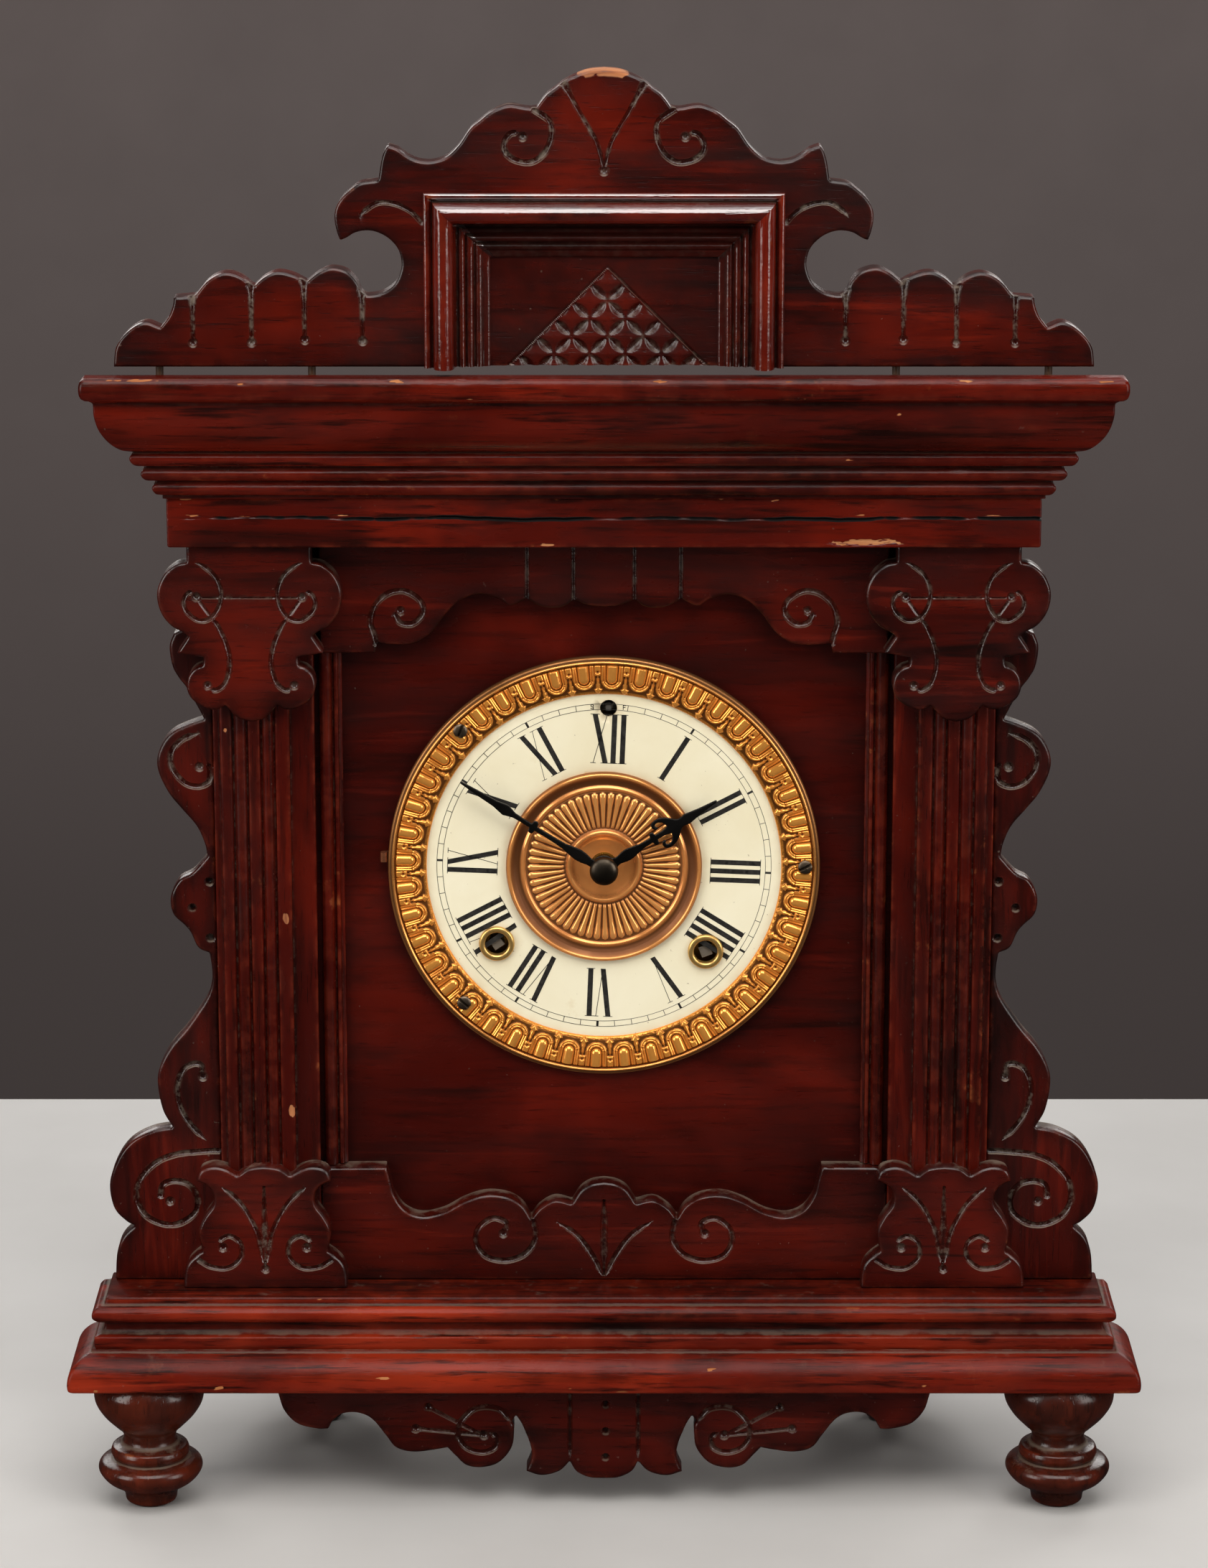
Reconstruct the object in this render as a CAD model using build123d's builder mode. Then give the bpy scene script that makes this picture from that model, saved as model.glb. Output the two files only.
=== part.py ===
import os
from math import cos, sin, radians, degrees, atan2, pi
from build123d import *

os.makedirs("parts", exist_ok=True)

# ---------------------------------------------------------------- dimensions
# All depths are counted from the face of the front panel, front side negative.
y_shift = -19.45           # moves the assembly so that its box is centred on Y
dial_z = 245.0             # height of the dial centre

base_top = 84.0            # top of the base, where the facade stands
slab_bottom = 50.8
slab_top = 65.0
base_x = 187.6             # half width of the base at its upper fillet
base_y = -28.0             # front of the base at its upper fillet

panel_half = 146.0         # half width of the case
panel_t = 8.0
panel_hole = 66.0
case_top_z = 402.0
case_top_t = 8.0
case_wall = 8.0
back_y = 85.0
back_t = 6.0
floor_top = 62.0

frieze_y = -8.4            # friezes and side brackets
pilaster_y = -12.4
capital_y = -18.0
pilaster_x = 128.6
plinth_x = 128.0
capital_x = 129.4
architrave_y = -22.0
architrave_x = 158.6
architrave_z = 370.7
cornice_z = 389.0
strip_z = 429.0
strip_top = 437.0
strip_depth = 10.0

crest_y = -36.0
crest_t = 10.0
frame_y = -44.0

foot_x = 172.8
foot_y = -21.0
rear_foot_x = 112.0
rear_foot_y = 64.0

door_half = 99.5
door_lo = 92.0
door_hi = 380.0
door_gap = 0.5
hinge_axis_x = -101.0
hinge_axis_y = 86.9
hinge_r = 1.9

rim_r = 80.6
ring_r = 77.2
chapter_r = 69.4
chapter_in = 34.0
pan_r = 36.6

plate_half_x = 60.0
plate_lo = -85.0
plate_hi = 76.0
plate_t = 2.0
front_plate_y = 8.0
back_plate_y = 42.0

time_pos = (38.1, -33.0)       # winding arbors, seen from the front
strike_pos = (-40.2, -29.9)
regulator_pos = (1.7, 60.8)
second_pos = (24.65, 6.8)
third_pos = (-13.42, 19.17)
escape_pos = (0.0, 33.8)
verge_pos = (0.0, 52.0)
minute_wheel_pos = (-19.2, 0.0)
hammer_pos = (-52.0, 17.0)
pendulum_length = 172.6
bob_r = 19.0
gong_pos = (-74.0, -117.0)
play = 0.05                    # running clearance on a radius

minute_angle = -57.4
hour_angle = 57.9

# ---------------------------------------------------------------- outlines (X, Z)
CREST = [
    [(0, 544.8), (-5.2, 544.3), (-9.7, 542.8), (-13.5, 541), (-17, 538.3), (-19.8, 536.3), (-21.8, 534), (-23.6, 531.5)],
    [(-23.6, 531.5), (-26.9, 531.2), (-32.7, 532.2), (-36.3, 531.5), (-40.1, 529.7), (-43.6, 526.9), (-47.2, 523.9), (-51, 518.4), (-54.8, 514.6), (-58.1, 513), (-62, 512.3), (-66, 512.8), (-69.8, 514.6), (-72.8, 516.8), (-76.3, 518.1)],
    [(-76.3, 518.1), (-77.6, 516.1), (-78.7, 512.5), (-79.3, 508.7), (-79.8, 505.7)],
    [(-79.8, 505.7), (-82.3, 505.4), (-86.4, 504.7), (-89.7, 502.4), (-93, 499.3), (-95.1, 495.5), (-95.4, 491.5), (-94.5, 487.1), (-93.5, 484.6)],
    [(-93.5, 484.6), (-91.2, 485.6), (-88.1, 487.4), (-84, 488.1), (-80.2, 487.4), (-76.4, 485.3), (-73.2, 481.8), (-71.9, 477.4), (-72.2, 473.6), (-74.1, 469.2), (-77.4, 466.4), (-80.7, 465.1), (-84.3, 464.8), (-86.3, 465.9)],
    [(-86.3, 465.9), (-87.1, 467.9), (-88.3, 470.2), (-90.6, 472.8), (-93.4, 474.1), (-96.9, 474.6), (-100, 473.6), (-102.3, 472.3), (-105.7, 469.5)],
    [(-105.7, 469.5), (-110.5, 472), (-116.1, 473.1), (-120.7, 471.3), (-124.6, 467.9)],
    [(-124.6, 467.9), (-129.3, 471.5), (-134.9, 472.8), (-140.6, 470.2), (-145.5, 464.6)],
    [(-145.5, 464.6), (-153, 464.1)],
    [(-153, 464.1), (-153.3, 461.5), (-154.9, 457.4), (-158, 453.3)],
    [(-158, 453.3), (-163.6, 455.1), (-169.3, 452.2), (-173.8, 446.6), (-175, 439.3)],
]
CAPITAL = [
    [(-22.7, 370.7), (-22.7, 364.2)],
    [(-22.7, 364.2), (-26.5, 363.4), (-30.7, 360), (-33.2, 355.1), (-33.6, 350.3), (-32.1, 345), (-28.8, 340.7), (-24.7, 338.3), (-22.6, 336.7)],
    [(-22.6, 336.7), (-26.7, 330.5)],
    [(-26.7, 330.5), (-17.2, 328.8)],
    [(-17.2, 328.8), (-17.6, 325.6)],
    [(-17.6, 325.6), (-20.5, 324.5), (-22.9, 321.6), (-23.5, 317.2), (-21.8, 313.2), (-17.6, 310.2), (-13.2, 309.1), (-9.5, 310.8)],
    [(-9.5, 310.8), (-7.1, 307.8), (-4.3, 305.6), (0, 304.5)],
]
PLINTH = [
    [(0, 132.4), (-3.3, 132.1), (-6.6, 131.2), (-9.9, 128.7)],
    [(-9.9, 128.7), (-14.4, 131.2), (-19, 132.1), (-23.6, 130.6), (-25.3, 126.7)],
    [(-25.3, 126.7), (-21.8, 125.2), (-19.2, 121.8), (-19.3, 117), (-22.6, 112.1), (-24.9, 106.4), (-23.7, 98.7)],
    [(-23.7, 98.7), (-26.7, 96.4), (-29.5, 93.2), (-30.7, 88.3), (-30.8, 84)],
]
BRACKET = [
    [(-144.6, 340), (-152, 338.5), (-158.1, 335.6)],
    [(-158.1, 335.6), (-159.8, 330.7), (-158.9, 323.4), (-156.6, 318.8), (-153.8, 315), (-150, 308), (-147.6, 303.2)],
    [(-147.6, 303.2), (-152.3, 301.6), (-158.9, 298.6), (-163, 294.3), (-165.3, 288.2), (-164.6, 282.2), (-161.1, 274.8), (-156.4, 268.8), (-151.2, 262.4), (-148.4, 255.9), (-147.4, 250.8)],
    [(-147.4, 250.8), (-153.2, 244.4), (-158.3, 241.4), (-161.4, 235.3), (-160.7, 228.6), (-156.3, 223.9), (-154.2, 221.1), (-151.6, 215.4), (-147.4, 213.3)],
    [(-147.4, 213.3), (-146.6, 207.1), (-146.8, 202.1), (-149, 195.4), (-156.3, 184.4), (-163, 176.2), (-167.2, 168), (-167.9, 161.2), (-166.2, 151.6), (-162.6, 144.8)],
    [(-162.6, 144.8), (-170.5, 143.3), (-178.4, 139.1), (-183.7, 132.2), (-187, 122.5), (-185.6, 112.7), (-181.1, 107.3), (-177.9, 105.6)],
    [(-177.9, 105.6), (-182.6, 100.9), (-184.9, 94.6), (-185.7, 84)],
]
UPPER_FRIEZE = [
    [(-104.6, 328.3), (-84.1, 328.3)],
    [(-84.1, 328.3), (-83.5, 332.1)],
    [(-83.5, 332.1), (-79.3, 331.5), (-70.1, 331.8), (-63.2, 336.1), (-58.4, 342.6), (-52.8, 348), (-45.9, 350.4), (-39.1, 348.8), (-34.4, 346.1), (-28.3, 348.8)],
    [(-28.3, 348.8), (-23.6, 346.1), (-18.8, 345.3), (-14.4, 346.1), (-11.2, 348.5)],
    [(-11.2, 348.5), (-6.2, 346.4), (0, 345.6)],
]
LOWER_FRIEZE = [
    [(-107, 128.6), (-82.4, 128.8)],
    [(-82.4, 128.8), (-81, 123.6), (-79.5, 117.6), (-75.5, 111.6), (-69, 109), (-60.8, 110.7), (-52.9, 115), (-44.7, 117.6), (-36.6, 116.8), (-30.9, 113.3), (-27.6, 108.1)],
    [(-27.6, 108.1), (-24.3, 112.4), (-18.6, 115.6), (-12.1, 114.2)],
    [(-12.1, 114.2), (-8.8, 119.3), (-4.8, 121.9), (0, 122.8)],
]
APRON = [
    [(-124.4, 50.8), (-123, 45.3)],
    [(-123, 45.3), (-121, 39.2), (-116.2, 34), (-108.9, 31.9), (-104.5, 31.9)],
    [(-104.5, 31.9), (-102.3, 35.7), (-98.2, 38.3), (-92.5, 38.3), (-87.6, 35.7), (-82.8, 29.6), (-78.8, 24.4), (-72.3, 22.6), (-64.1, 23.5), (-59.4, 24.4)],
    [(-59.4, 24.4), (-56.2, 20.9), (-52.2, 17.1), (-46.4, 16.2), (-39.9, 18.2), (-35, 24.4), (-34.1, 32.2), (-35.2, 34.8)],
    [(-35.2, 34.8), (-33.3, 37.4)],
    [(-33.3, 37.4), (-30.8, 33.1), (-27.9, 25.2), (-27.6, 20), (-29.6, 14.7)],
    [(-29.6, 14.7), (-23.6, 13), (-17, 14.7), (-12.9, 18.8)],
    [(-12.9, 18.8), (-10.5, 14.7), (-5.6, 12.2), (0, 11.8)],
]
# moulding profiles: (projection beyond the reference face, Z), bottom to top
SLAB = [
    [(13.2, 50.8), (14.0, 51.6)],
    [(14.0, 51.6), (14.2, 53.5), (13.6, 56), (11.6, 58.4), (8.8, 60.2), (6.6, 62), (5.6, 63.6), (5.2, 65)],
]
BASE_MOULDING = [
    [(4.0, 65), (4.3, 66)],
    [(4.3, 66), (4.3, 69.6)],
    [(4.3, 69.6), (2.0, 70.6), (0.8, 72.2), (0.5, 75)],
    [(0.5, 75), (3.4, 75.4)],
    [(3.4, 75.4), (4.7, 76.9), (5.0, 78.3), (4.7, 79.7), (3.4, 81.2)],
    [(3.4, 81.2), (1.2, 81.5), (0.0, 82.4)],
    [(0.0, 82.4), (0.0, 84)],
]
CORNICE = [
    [(1.2, 389), (1.2, 390.6)],
    [(1.2, 390.6), (3.4, 391.1), (4.6, 393.4), (3.8, 395.4)],
    [(3.8, 395.4), (4.0, 396.6)],
    [(4.0, 396.6), (6.9, 397.1), (8.2, 399.3), (7.3, 401.3)],
    [(7.3, 401.3), (7.5, 402.6)],
    [(7.5, 402.6), (10.4, 403.1), (11.8, 405.6), (10.8, 407.8)],
    [(10.8, 407.8), (14.9, 409.4), (18.8, 413), (21.6, 417.6), (23, 422.6), (23.2, 427)],
    [(23.2, 427), (25.2, 429)],
]
STRIP = [
    [(26.6, 429), (27.5, 430)],
    [(27.5, 430), (27.9, 433), (27.5, 436.2)],
    [(27.5, 436.2), (26.8, 437)],
]
FOOT = [
    [(0, 0), (8, 0)],
    [(8, 0), (9.6, 1.2), (10.2, 4.0), (12.2, 6.4), (17, 9.6), (19.7, 13.6), (18.6, 16.8), (14.4, 18.2)],
    [(14.4, 18.2), (14.4, 22.8)],
    [(14.4, 22.8), (10.6, 24.2), (9.9, 26.6), (10.8, 29), (13.2, 31.3), (17.6, 36), (20.4, 41), (20.6, 46), (18.4, 50.8)],
    [(18.4, 50.8), (0, 50.8)],
]
# hands, pointing up from the dial centre: half outlines (half width, distance)
MINUTE_HAND = [(2.6, 3.0), (1.3, 6.4), (1.7, 9.0), (1.9, 11.5), (1.3, 14.5), (0.75, 17.5), (0.62, 30.2), (2.5, 30.7), (2.5, 31.9), (0.62, 32.4), (0.62, 39.5), (1.9, 43.2), (1.2, 47.0), (0.8, 55.0), (0.35, 63.0)]
HOUR_HAND = [(3.6, 4.0), (1.5, 6.4), (1.9, 9.0), (2.0, 11.0), (1.3, 14.0), (0.8, 17.0), (0.75, 21.2), (2.6, 21.7), (2.6, 22.9), (0.75, 23.4), (1.2, 29.4), (3.4, 28.4), (5.2, 26.0), (5.3, 23.8), (6.2, 24.2), (6.6, 26.8), (5.2, 30.2), (2.6, 32.4), (1.6, 33.4), (1.9, 36.2), (1.2, 40.0), (0.35, 49.2)]


# ---------------------------------------------------------------- helpers
def front(y):
    """Work plane facing the front, at depth y from the front panel's face."""
    return Plane(origin=(0, y + y_shift, 0), x_dir=(1, 0, 0), z_dir=(0, -1, 0))


def mirrored(segments):
    return [[(-x, z) for x, z in reversed(s)] for s in reversed(segments)]


def board(segments, y, thickness):
    """Flat piece with a closed outline of straight and curved runs."""
    with BuildPart() as p:
        with BuildSketch(front(y)):
            with BuildLine():
                for s in segments:
                    if len(s) == 2:
                        Line(s[0], s[1])
                    else:
                        Spline(*s)
                if segments[-1][-1] != segments[0][0]:
                    Line(segments[-1][-1], segments[0][0])
            make_face()
        extrude(amount=-thickness)
    return p.part


def moulding(profile, ref_x, ref_y, y_back):
    """Moulding with mitred returns on both ends."""
    lo, hi = profile[0][0], profile[-1][-1]
    with BuildPart() as p:
        with BuildSketch(Plane(origin=(0, y_shift, 0), x_dir=(0, 1, 0), z_dir=(1, 0, 0))):
            with BuildLine():
                for s in profile:
                    pts = [(ref_y - a, z) for a, z in s]
                    if len(pts) == 2:
                        Line(pts[0], pts[1])
                    else:
                        Spline(*pts)
                Line((ref_y - hi[0], hi[1]), (y_back, hi[1]))
                Line((y_back, hi[1]), (y_back, lo[1]))
                Line((y_back, lo[1]), (ref_y - lo[0], lo[1]))
            make_face()
        extrude(amount=ref_x + 40, both=True)
        with BuildSketch(front(y_back + 1)):
            with BuildLine():
                for s in profile:
                    for k in (1, -1):
                        pts = [(k * (ref_x + a), z) for a, z in s]
                        if len(pts) == 2:
                            Line(pts[0], pts[1])
                        else:
                            Spline(*pts)
                Line((ref_x + hi[0], hi[1]), (-ref_x - hi[0], hi[1]))
                Line((ref_x + lo[0], lo[1]), (-ref_x - lo[0], lo[1]))
            make_face()
        extrude(amount=200, mode=Mode.INTERSECT)
    return p.part


def block(x0, x1, y0, y1, z0, z1):
    with BuildPart() as p:
        with Locations(((x0 + x1) / 2, (y0 + y1) / 2 + y_shift, (z0 + z1) / 2)):
            Box(x1 - x0, y1 - y0, z1 - z0)
    return p.part


def rod(c, r, y0, y1, hole=0.0):
    """Round bar along the depth, placed from the dial centre."""
    with BuildPart() as p:
        with BuildSketch(front(y0)):
            with Locations((c[0], c[1] + dial_z)):
                Circle(r)
                if hole:
                    Circle(hole, mode=Mode.SUBTRACT)
        extrude(amount=-(y1 - y0))
    return p.part


def square(c, side, y0, y1, turn=0.0):
    with BuildPart() as p:
        with BuildSketch(front(y0)):
            with Locations((c[0], c[1] + dial_z)):
                Rectangle(side, side, rotation=turn)
        extrude(amount=-(y1 - y0))
    return p.part


def wheel(n, m, c, phase, y0, t, bore=0.0, windows=0, window_r=0.0, window_at=0.0):
    """Toothed wheel or pinion; phase is the direction of one tooth in degrees."""
    pitch = 360.0 / n
    pr = n * m / 2
    tip, root = pr + 0.75 * m, pr - 1.05 * m
    pts = []
    for i in range(n):
        a = phase + i * pitch
        for r, w in ((root, -0.17), (tip, -0.07), (tip, 0.07), (root, 0.17)):
            b = radians(a + w * pitch)
            pts.append((c[0] + r * cos(b), c[1] + dial_z + r * sin(b)))
    with BuildPart() as p:
        with BuildSketch(front(y0)):
            with BuildLine():
                Polyline(*pts, close=True)
            make_face()
            if bore:
                with Locations((c[0], c[1] + dial_z)):
                    Circle(bore, mode=Mode.SUBTRACT)
            if windows:
                with Locations((c[0], c[1] + dial_z)):
                    with PolarLocations(window_at, windows):
                        Circle(window_r, mode=Mode.SUBTRACT)
        extrude(amount=-t)
    return p.part


def mesh_phase(ca, na, phase_a, cb, nb):
    """Tooth direction of wheel b that puts a gap against each tooth of wheel a."""
    beta = degrees(atan2(cb[1] - ca[1], cb[0] - ca[0]))
    pa, pb = 360.0 / na, 360.0 / nb
    return beta + 180 - pb * ((phase_a - beta) / pa + 0.5)


def turned(points, closed_with=None):
    """Ring or disc on the dial axis from (radius, depth) points."""
    with BuildPart() as p:
        with BuildSketch(Plane(origin=(0, y_shift, dial_z), x_dir=(1, 0, 0), z_dir=(0, 0, 1))):
            with BuildLine():
                Polyline(*points, close=True)
            make_face()
        revolve(axis=Axis((0, y_shift, dial_z), (0, 1, 0)))
    return p.part


def hand(half, y0, t, angle, hub_r, bore):
    a = radians(angle)
    plane = Plane(origin=(0, y0 + y_shift, dial_z), x_dir=(cos(a), 0, -sin(a)), z_dir=(0, -1, 0))
    with BuildPart() as p:
        with BuildSketch(plane):
            with BuildLine():
                Polyline(*(half + [(-x, d) for x, d in reversed(half)]), close=True)
            make_face()
            Circle(hub_r)
            Circle(bore, mode=Mode.SUBTRACT)
        extrude(amount=-t)
    return p.part


def finish(builder, name):
    builder.part.label = name
    export_step(builder.part, f"parts/{name}.step")


# ---------------------------------------------------------------- base
with BuildPart() as base_slab:
    add(moulding(SLAB, base_x, base_y, 0.0))
finish(base_slab, "base_slab")

with BuildPart() as base_moulding:
    add(moulding(BASE_MOULDING, base_x, base_y, 0.0))
finish(base_moulding, "base_moulding")

with BuildPart() as front_feet:
    for k in (-1, 1):
        with BuildSketch(Plane(origin=(k * foot_x, foot_y + y_shift, 0), x_dir=(1, 0, 0), z_dir=(0, -1, 0))):
            with BuildLine():
                for s in FOOT:
                    if len(s) == 2:
                        Line(s[0], s[1])
                    else:
                        Spline(*s)
                Line((0, slab_bottom), (0, 0))
            make_face()
        revolve(axis=Axis((k * foot_x, foot_y + y_shift, 0), (0, 0, 1)))
finish(front_feet, "front_feet")

with BuildPart() as rear_feet:
    for k in (-1, 1):
        with BuildSketch(Plane(origin=(k * rear_foot_x, rear_foot_y + y_shift, 0), x_dir=(1, 0, 0), z_dir=(0, -1, 0))):
            with BuildLine():
                for s in FOOT:
                    pts = [(0.78 * r, z) for r, z in s]
                    if len(pts) == 2:
                        Line(pts[0], pts[1])
                    else:
                        Spline(*pts)
                Line((0, slab_bottom), (0, 0))
            make_face()
        revolve(axis=Axis((k * rear_foot_x, rear_foot_y + y_shift, 0), (0, 0, 1)))
finish(rear_feet, "rear_feet")

with BuildPart() as base_apron:
    add(board(APRON + mirrored(APRON), -30, 10))
    with BuildSketch(front(-30)):
        with Locations((0, 41.6), (0, 30.8), (0, 20.4)):
            Circle(1.7)
    extrude(amount=-3, mode=Mode.SUBTRACT)
finish(base_apron, "base_apron")

# ---------------------------------------------------------------- case
with BuildPart() as case_floor:
    add(block(case_wall - panel_half, panel_half - case_wall, panel_t, back_y - back_t, slab_bottom, floor_top))
finish(case_floor, "case_floor")

with BuildPart() as case_sides:
    for k in (-1, 1):
        with Locations((k * (panel_half - case_wall / 2), (panel_t + back_y - back_t) / 2 + y_shift, (slab_bottom + case_top_z) / 2)):
            Box(case_wall, back_y - back_t - panel_t, case_top_z - slab_bottom)
finish(case_sides, "case_sides")

with BuildPart() as case_top:
    add(block(-panel_half, panel_half, panel_t, back_y, case_top_z, case_top_z + case_top_t))
finish(case_top, "case_top")

with BuildPart() as back_frame:
    add(block(-panel_half, panel_half, back_y - back_t, back_y, slab_bottom, case_top_z))
    add(block(-door_half - door_gap, door_half + door_gap, back_y - back_t - 1, back_y + 1, door_lo - door_gap, door_hi + door_gap), mode=Mode.SUBTRACT)
    add(rod((108, 0), 1.2, back_y - back_t - 1, back_y + 1), mode=Mode.SUBTRACT)
finish(back_frame, "back_frame")

screw_at = [(-34.0, -80.0), (34.0, -80.0), (-54.0, 70.0), (54.0, 70.0)]
with BuildPart() as front_panel:
    add(block(-panel_half, panel_half, 0, panel_t, slab_bottom, case_top_z + case_top_t))
    add(rod((0, 0), panel_hole, -1, panel_t + 1), mode=Mode.SUBTRACT)
    for c in screw_at:
        add(rod(c, 1.4, panel_t - 5, panel_t + 1), mode=Mode.SUBTRACT)
finish(front_panel, "front_panel")

# ---------------------------------------------------------------- facade
with BuildPart() as pilasters:
    for k in (-1, 1):
        add(block(min(k * 144.6, k * 107.0), max(k * 144.6, k * 107.0), frieze_y, 0, base_top, architrave_z))
        add(block(min(k * 141.4, k * 115.8), max(k * 141.4, k * 115.8), pilaster_y + 1.6, frieze_y, base_top, architrave_z))
        with BuildSketch(Plane(origin=(0, y_shift, base_top))):
            with Locations(*[(k * (pilaster_x + d), pilaster_y + 1.6) for d in (-10.2, -5.1, 0, 5.1, 10.2)]):
                Circle(2.0)
        extrude(amount=architrave_z - base_top)
finish(pilasters, "pilasters")

with BuildPart() as jamb_strips:
    for k in (-1, 1):
        with BuildSketch(Plane(origin=(0, y_shift, 129.0))):
            with Locations((k * 100.6, -1.5)):
                Rectangle(7.6, 3.0)
            with Locations((k * 101.6, -3.0)):
                Circle(2.2)
            with Locations((k * 98.0, -2.6)):
                Circle(1.1)
        extrude(amount=328.2 - 129.0)
    split(bisect_by=front(0), keep=Keep.TOP)
finish(jamb_strips, "jamb_strips")

with BuildPart() as upper_frieze:
    lower_edge = UPPER_FRIEZE + mirrored(UPPER_FRIEZE)
    add(board(lower_edge + [[(104.6, 328.3), (104.6, architrave_z)], [(104.6, architrave_z), (-104.6, architrave_z)], [(-104.6, architrave_z), (-104.6, 328.3)]], frieze_y, -frieze_y))
finish(upper_frieze, "upper_frieze")

with BuildPart() as lower_frieze:
    upper_edge = LOWER_FRIEZE + mirrored(LOWER_FRIEZE)
    add(board(upper_edge + [[(107, 128.6), (107, base_top)], [(107, base_top), (-107, base_top)], [(-107, base_top), (-107, 128.6)]], frieze_y, -frieze_y))
finish(lower_frieze, "lower_frieze")

with BuildPart() as side_brackets:
    closing = [[(-185.7, 84), (-144.6, 84)], [(-144.6, 84), (-144.6, 340)]]
    add(board(BRACKET + closing, frieze_y, -frieze_y))
    add(board(mirrored(closing) + mirrored(BRACKET), frieze_y, -frieze_y))
    with BuildSketch(front(frieze_y)):
        for k in (-1, 1):
            with Locations((k * 145.9, 240.9), (k * 153.6, 231.0), (k * 145.9, 219.1)):
                Circle(1.9)
    extrude(amount=-3.5, mode=Mode.SUBTRACT)
finish(side_brackets, "side_brackets")

with BuildPart() as capitals:
    for k in (-1, 1):
        shape = [[(x + k * capital_x, z) for x, z in s] for s in CAPITAL + mirrored(CAPITAL)]
        add(board(shape, capital_y, -pilaster_y - 0.4 + 6.0))
    for behind in (pilasters, upper_frieze, side_brackets):
        add(behind.part, mode=Mode.SUBTRACT)
finish(capitals, "capitals")

with BuildPart() as plinths:
    for k in (-1, 1):
        shape = [[(x + k * plinth_x, z) for x, z in s] for s in PLINTH]
        right = [[(x + k * plinth_x, z) for x, z in s] for s in mirrored(PLINTH)]
        add(board(shape + [[shape[-1][-1], right[0][0]]] + right, capital_y, -capital_y))
    for behind in (pilasters, lower_frieze, side_brackets, jamb_strips):
        add(behind.part, mode=Mode.SUBTRACT)
finish(plinths, "plinths")

with BuildPart() as architrave:
    add(block(-architrave_x, architrave_x, architrave_y, 0, architrave_z, cornice_z))
finish(architrave, "architrave")

pin_x = (-159.0, -104.5, 104.5, 159.0)
pin_y = crest_y + crest_t / 2
with BuildPart() as crest_pins:
    for x in pin_x:
        with Locations((x, pin_y + y_shift, strip_z - 5)):
            Cylinder(1.4, 22, align=(Align.CENTER, Align.CENTER, Align.MIN))
finish(crest_pins, "crest_pins")

with BuildPart() as cornice_moulding:
    add(moulding(CORNICE, architrave_x, architrave_y, 0.0))
    add(crest_pins.part, mode=Mode.SUBTRACT)
finish(cornice_moulding, "cornice_moulding")

with BuildPart() as cornice_strip:
    add(moulding(STRIP, architrave_x, architrave_y, architrave_y - 27.6 + strip_depth))
finish(cornice_strip, "cornice_strip")

# ---------------------------------------------------------------- crest
with BuildPart() as crest_board:
    add(board(CREST + [[(-175, 439.3), (175, 439.3)]] + mirrored(CREST), crest_y, crest_t))
    add(crest_pins.part, mode=Mode.SUBTRACT)
finish(crest_board, "crest_board")

with BuildPart() as crest_frame:
    for outer, inner, y in ((64.0, 40.3, -38.6), (61.0, 43.0, -41.6), (57.4, 47.4, frame_y)):
        top, bottom = 437.7 + outer, 439.3
        step = [[(-outer, bottom), (-outer, top)], [(-outer, top), (outer, top)], [(outer, top), (outer, bottom)], [(outer, bottom), (inner, bottom)], [(inner, bottom), (inner, 437.7 + inner)], [(inner, 437.7 + inner), (-inner, 437.7 + inner)], [(-inner, 437.7 + inner), (-inner, bottom)]]
        add(board(step, y, crest_y - y))
finish(crest_frame, "crest_frame")

# ---------------------------------------------------------------- back door
with BuildPart() as back_door:
    add(block(-door_half, door_half, back_y - back_t, back_y, door_lo, door_hi))
    add(rod((84, 0), 5.0, back_y - 3, back_y + 1), mode=Mode.SUBTRACT)
finish(back_door, "back_door")

hinge_z = (150.0, 340.0)
with BuildPart() as case_hinge_leaves:
    for z in hinge_z:
        add(block(-114, hinge_axis_x, back_y, back_y + 0.8, z - 15, z - 5.2))
        add(block(-114, hinge_axis_x, back_y, back_y + 0.8, z + 5.2, z + 15))
        add(block(-114, -104.5, back_y, back_y + 0.8, z - 15, z + 15))
        with Locations((hinge_axis_x, hinge_axis_y + y_shift, z - 15)):
            Cylinder(hinge_r, 9.8, align=(Align.CENTER, Align.CENTER, Align.MIN))
            Cylinder(1.0, 30, align=(Align.CENTER, Align.CENTER, Align.MIN))
        with Locations((hinge_axis_x, hinge_axis_y + y_shift, z + 5.2)):
            Cylinder(hinge_r, 9.8, align=(Align.CENTER, Align.CENTER, Align.MIN))
finish(case_hinge_leaves, "case_hinge_leaves")

with BuildPart() as door_hinge_leaves:
    for z in hinge_z:
        add(block(hinge_axis_x, -97.0, back_y + 0.4, back_y + 1.4, z - 4.8, z + 4.8))
        add(block(-98.6, -88, back_y, back_y + 1.0, z - 15, z + 15))
        with Locations((hinge_axis_x, hinge_axis_y + y_shift, z)):
            Cylinder(hinge_r, 9.6)
            Cylinder(1.0 + play, 12, mode=Mode.SUBTRACT)
finish(door_hinge_leaves, "door_hinge_leaves")

with BuildPart() as turn_button:
    with BuildSketch(front(back_y + 0.3)):
        with Locations((108, dial_z)):
            SlotOverall(34, 9, rotation=90)
    extrude(amount=-2.6)
    add(rod((108, 0), 1.2 - play, back_y - back_t, back_y + 0.3))
    add(rod((108, 0), 2.6, back_y + 2.9, back_y + 3.6))
finish(turn_button, "turn_button")

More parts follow.
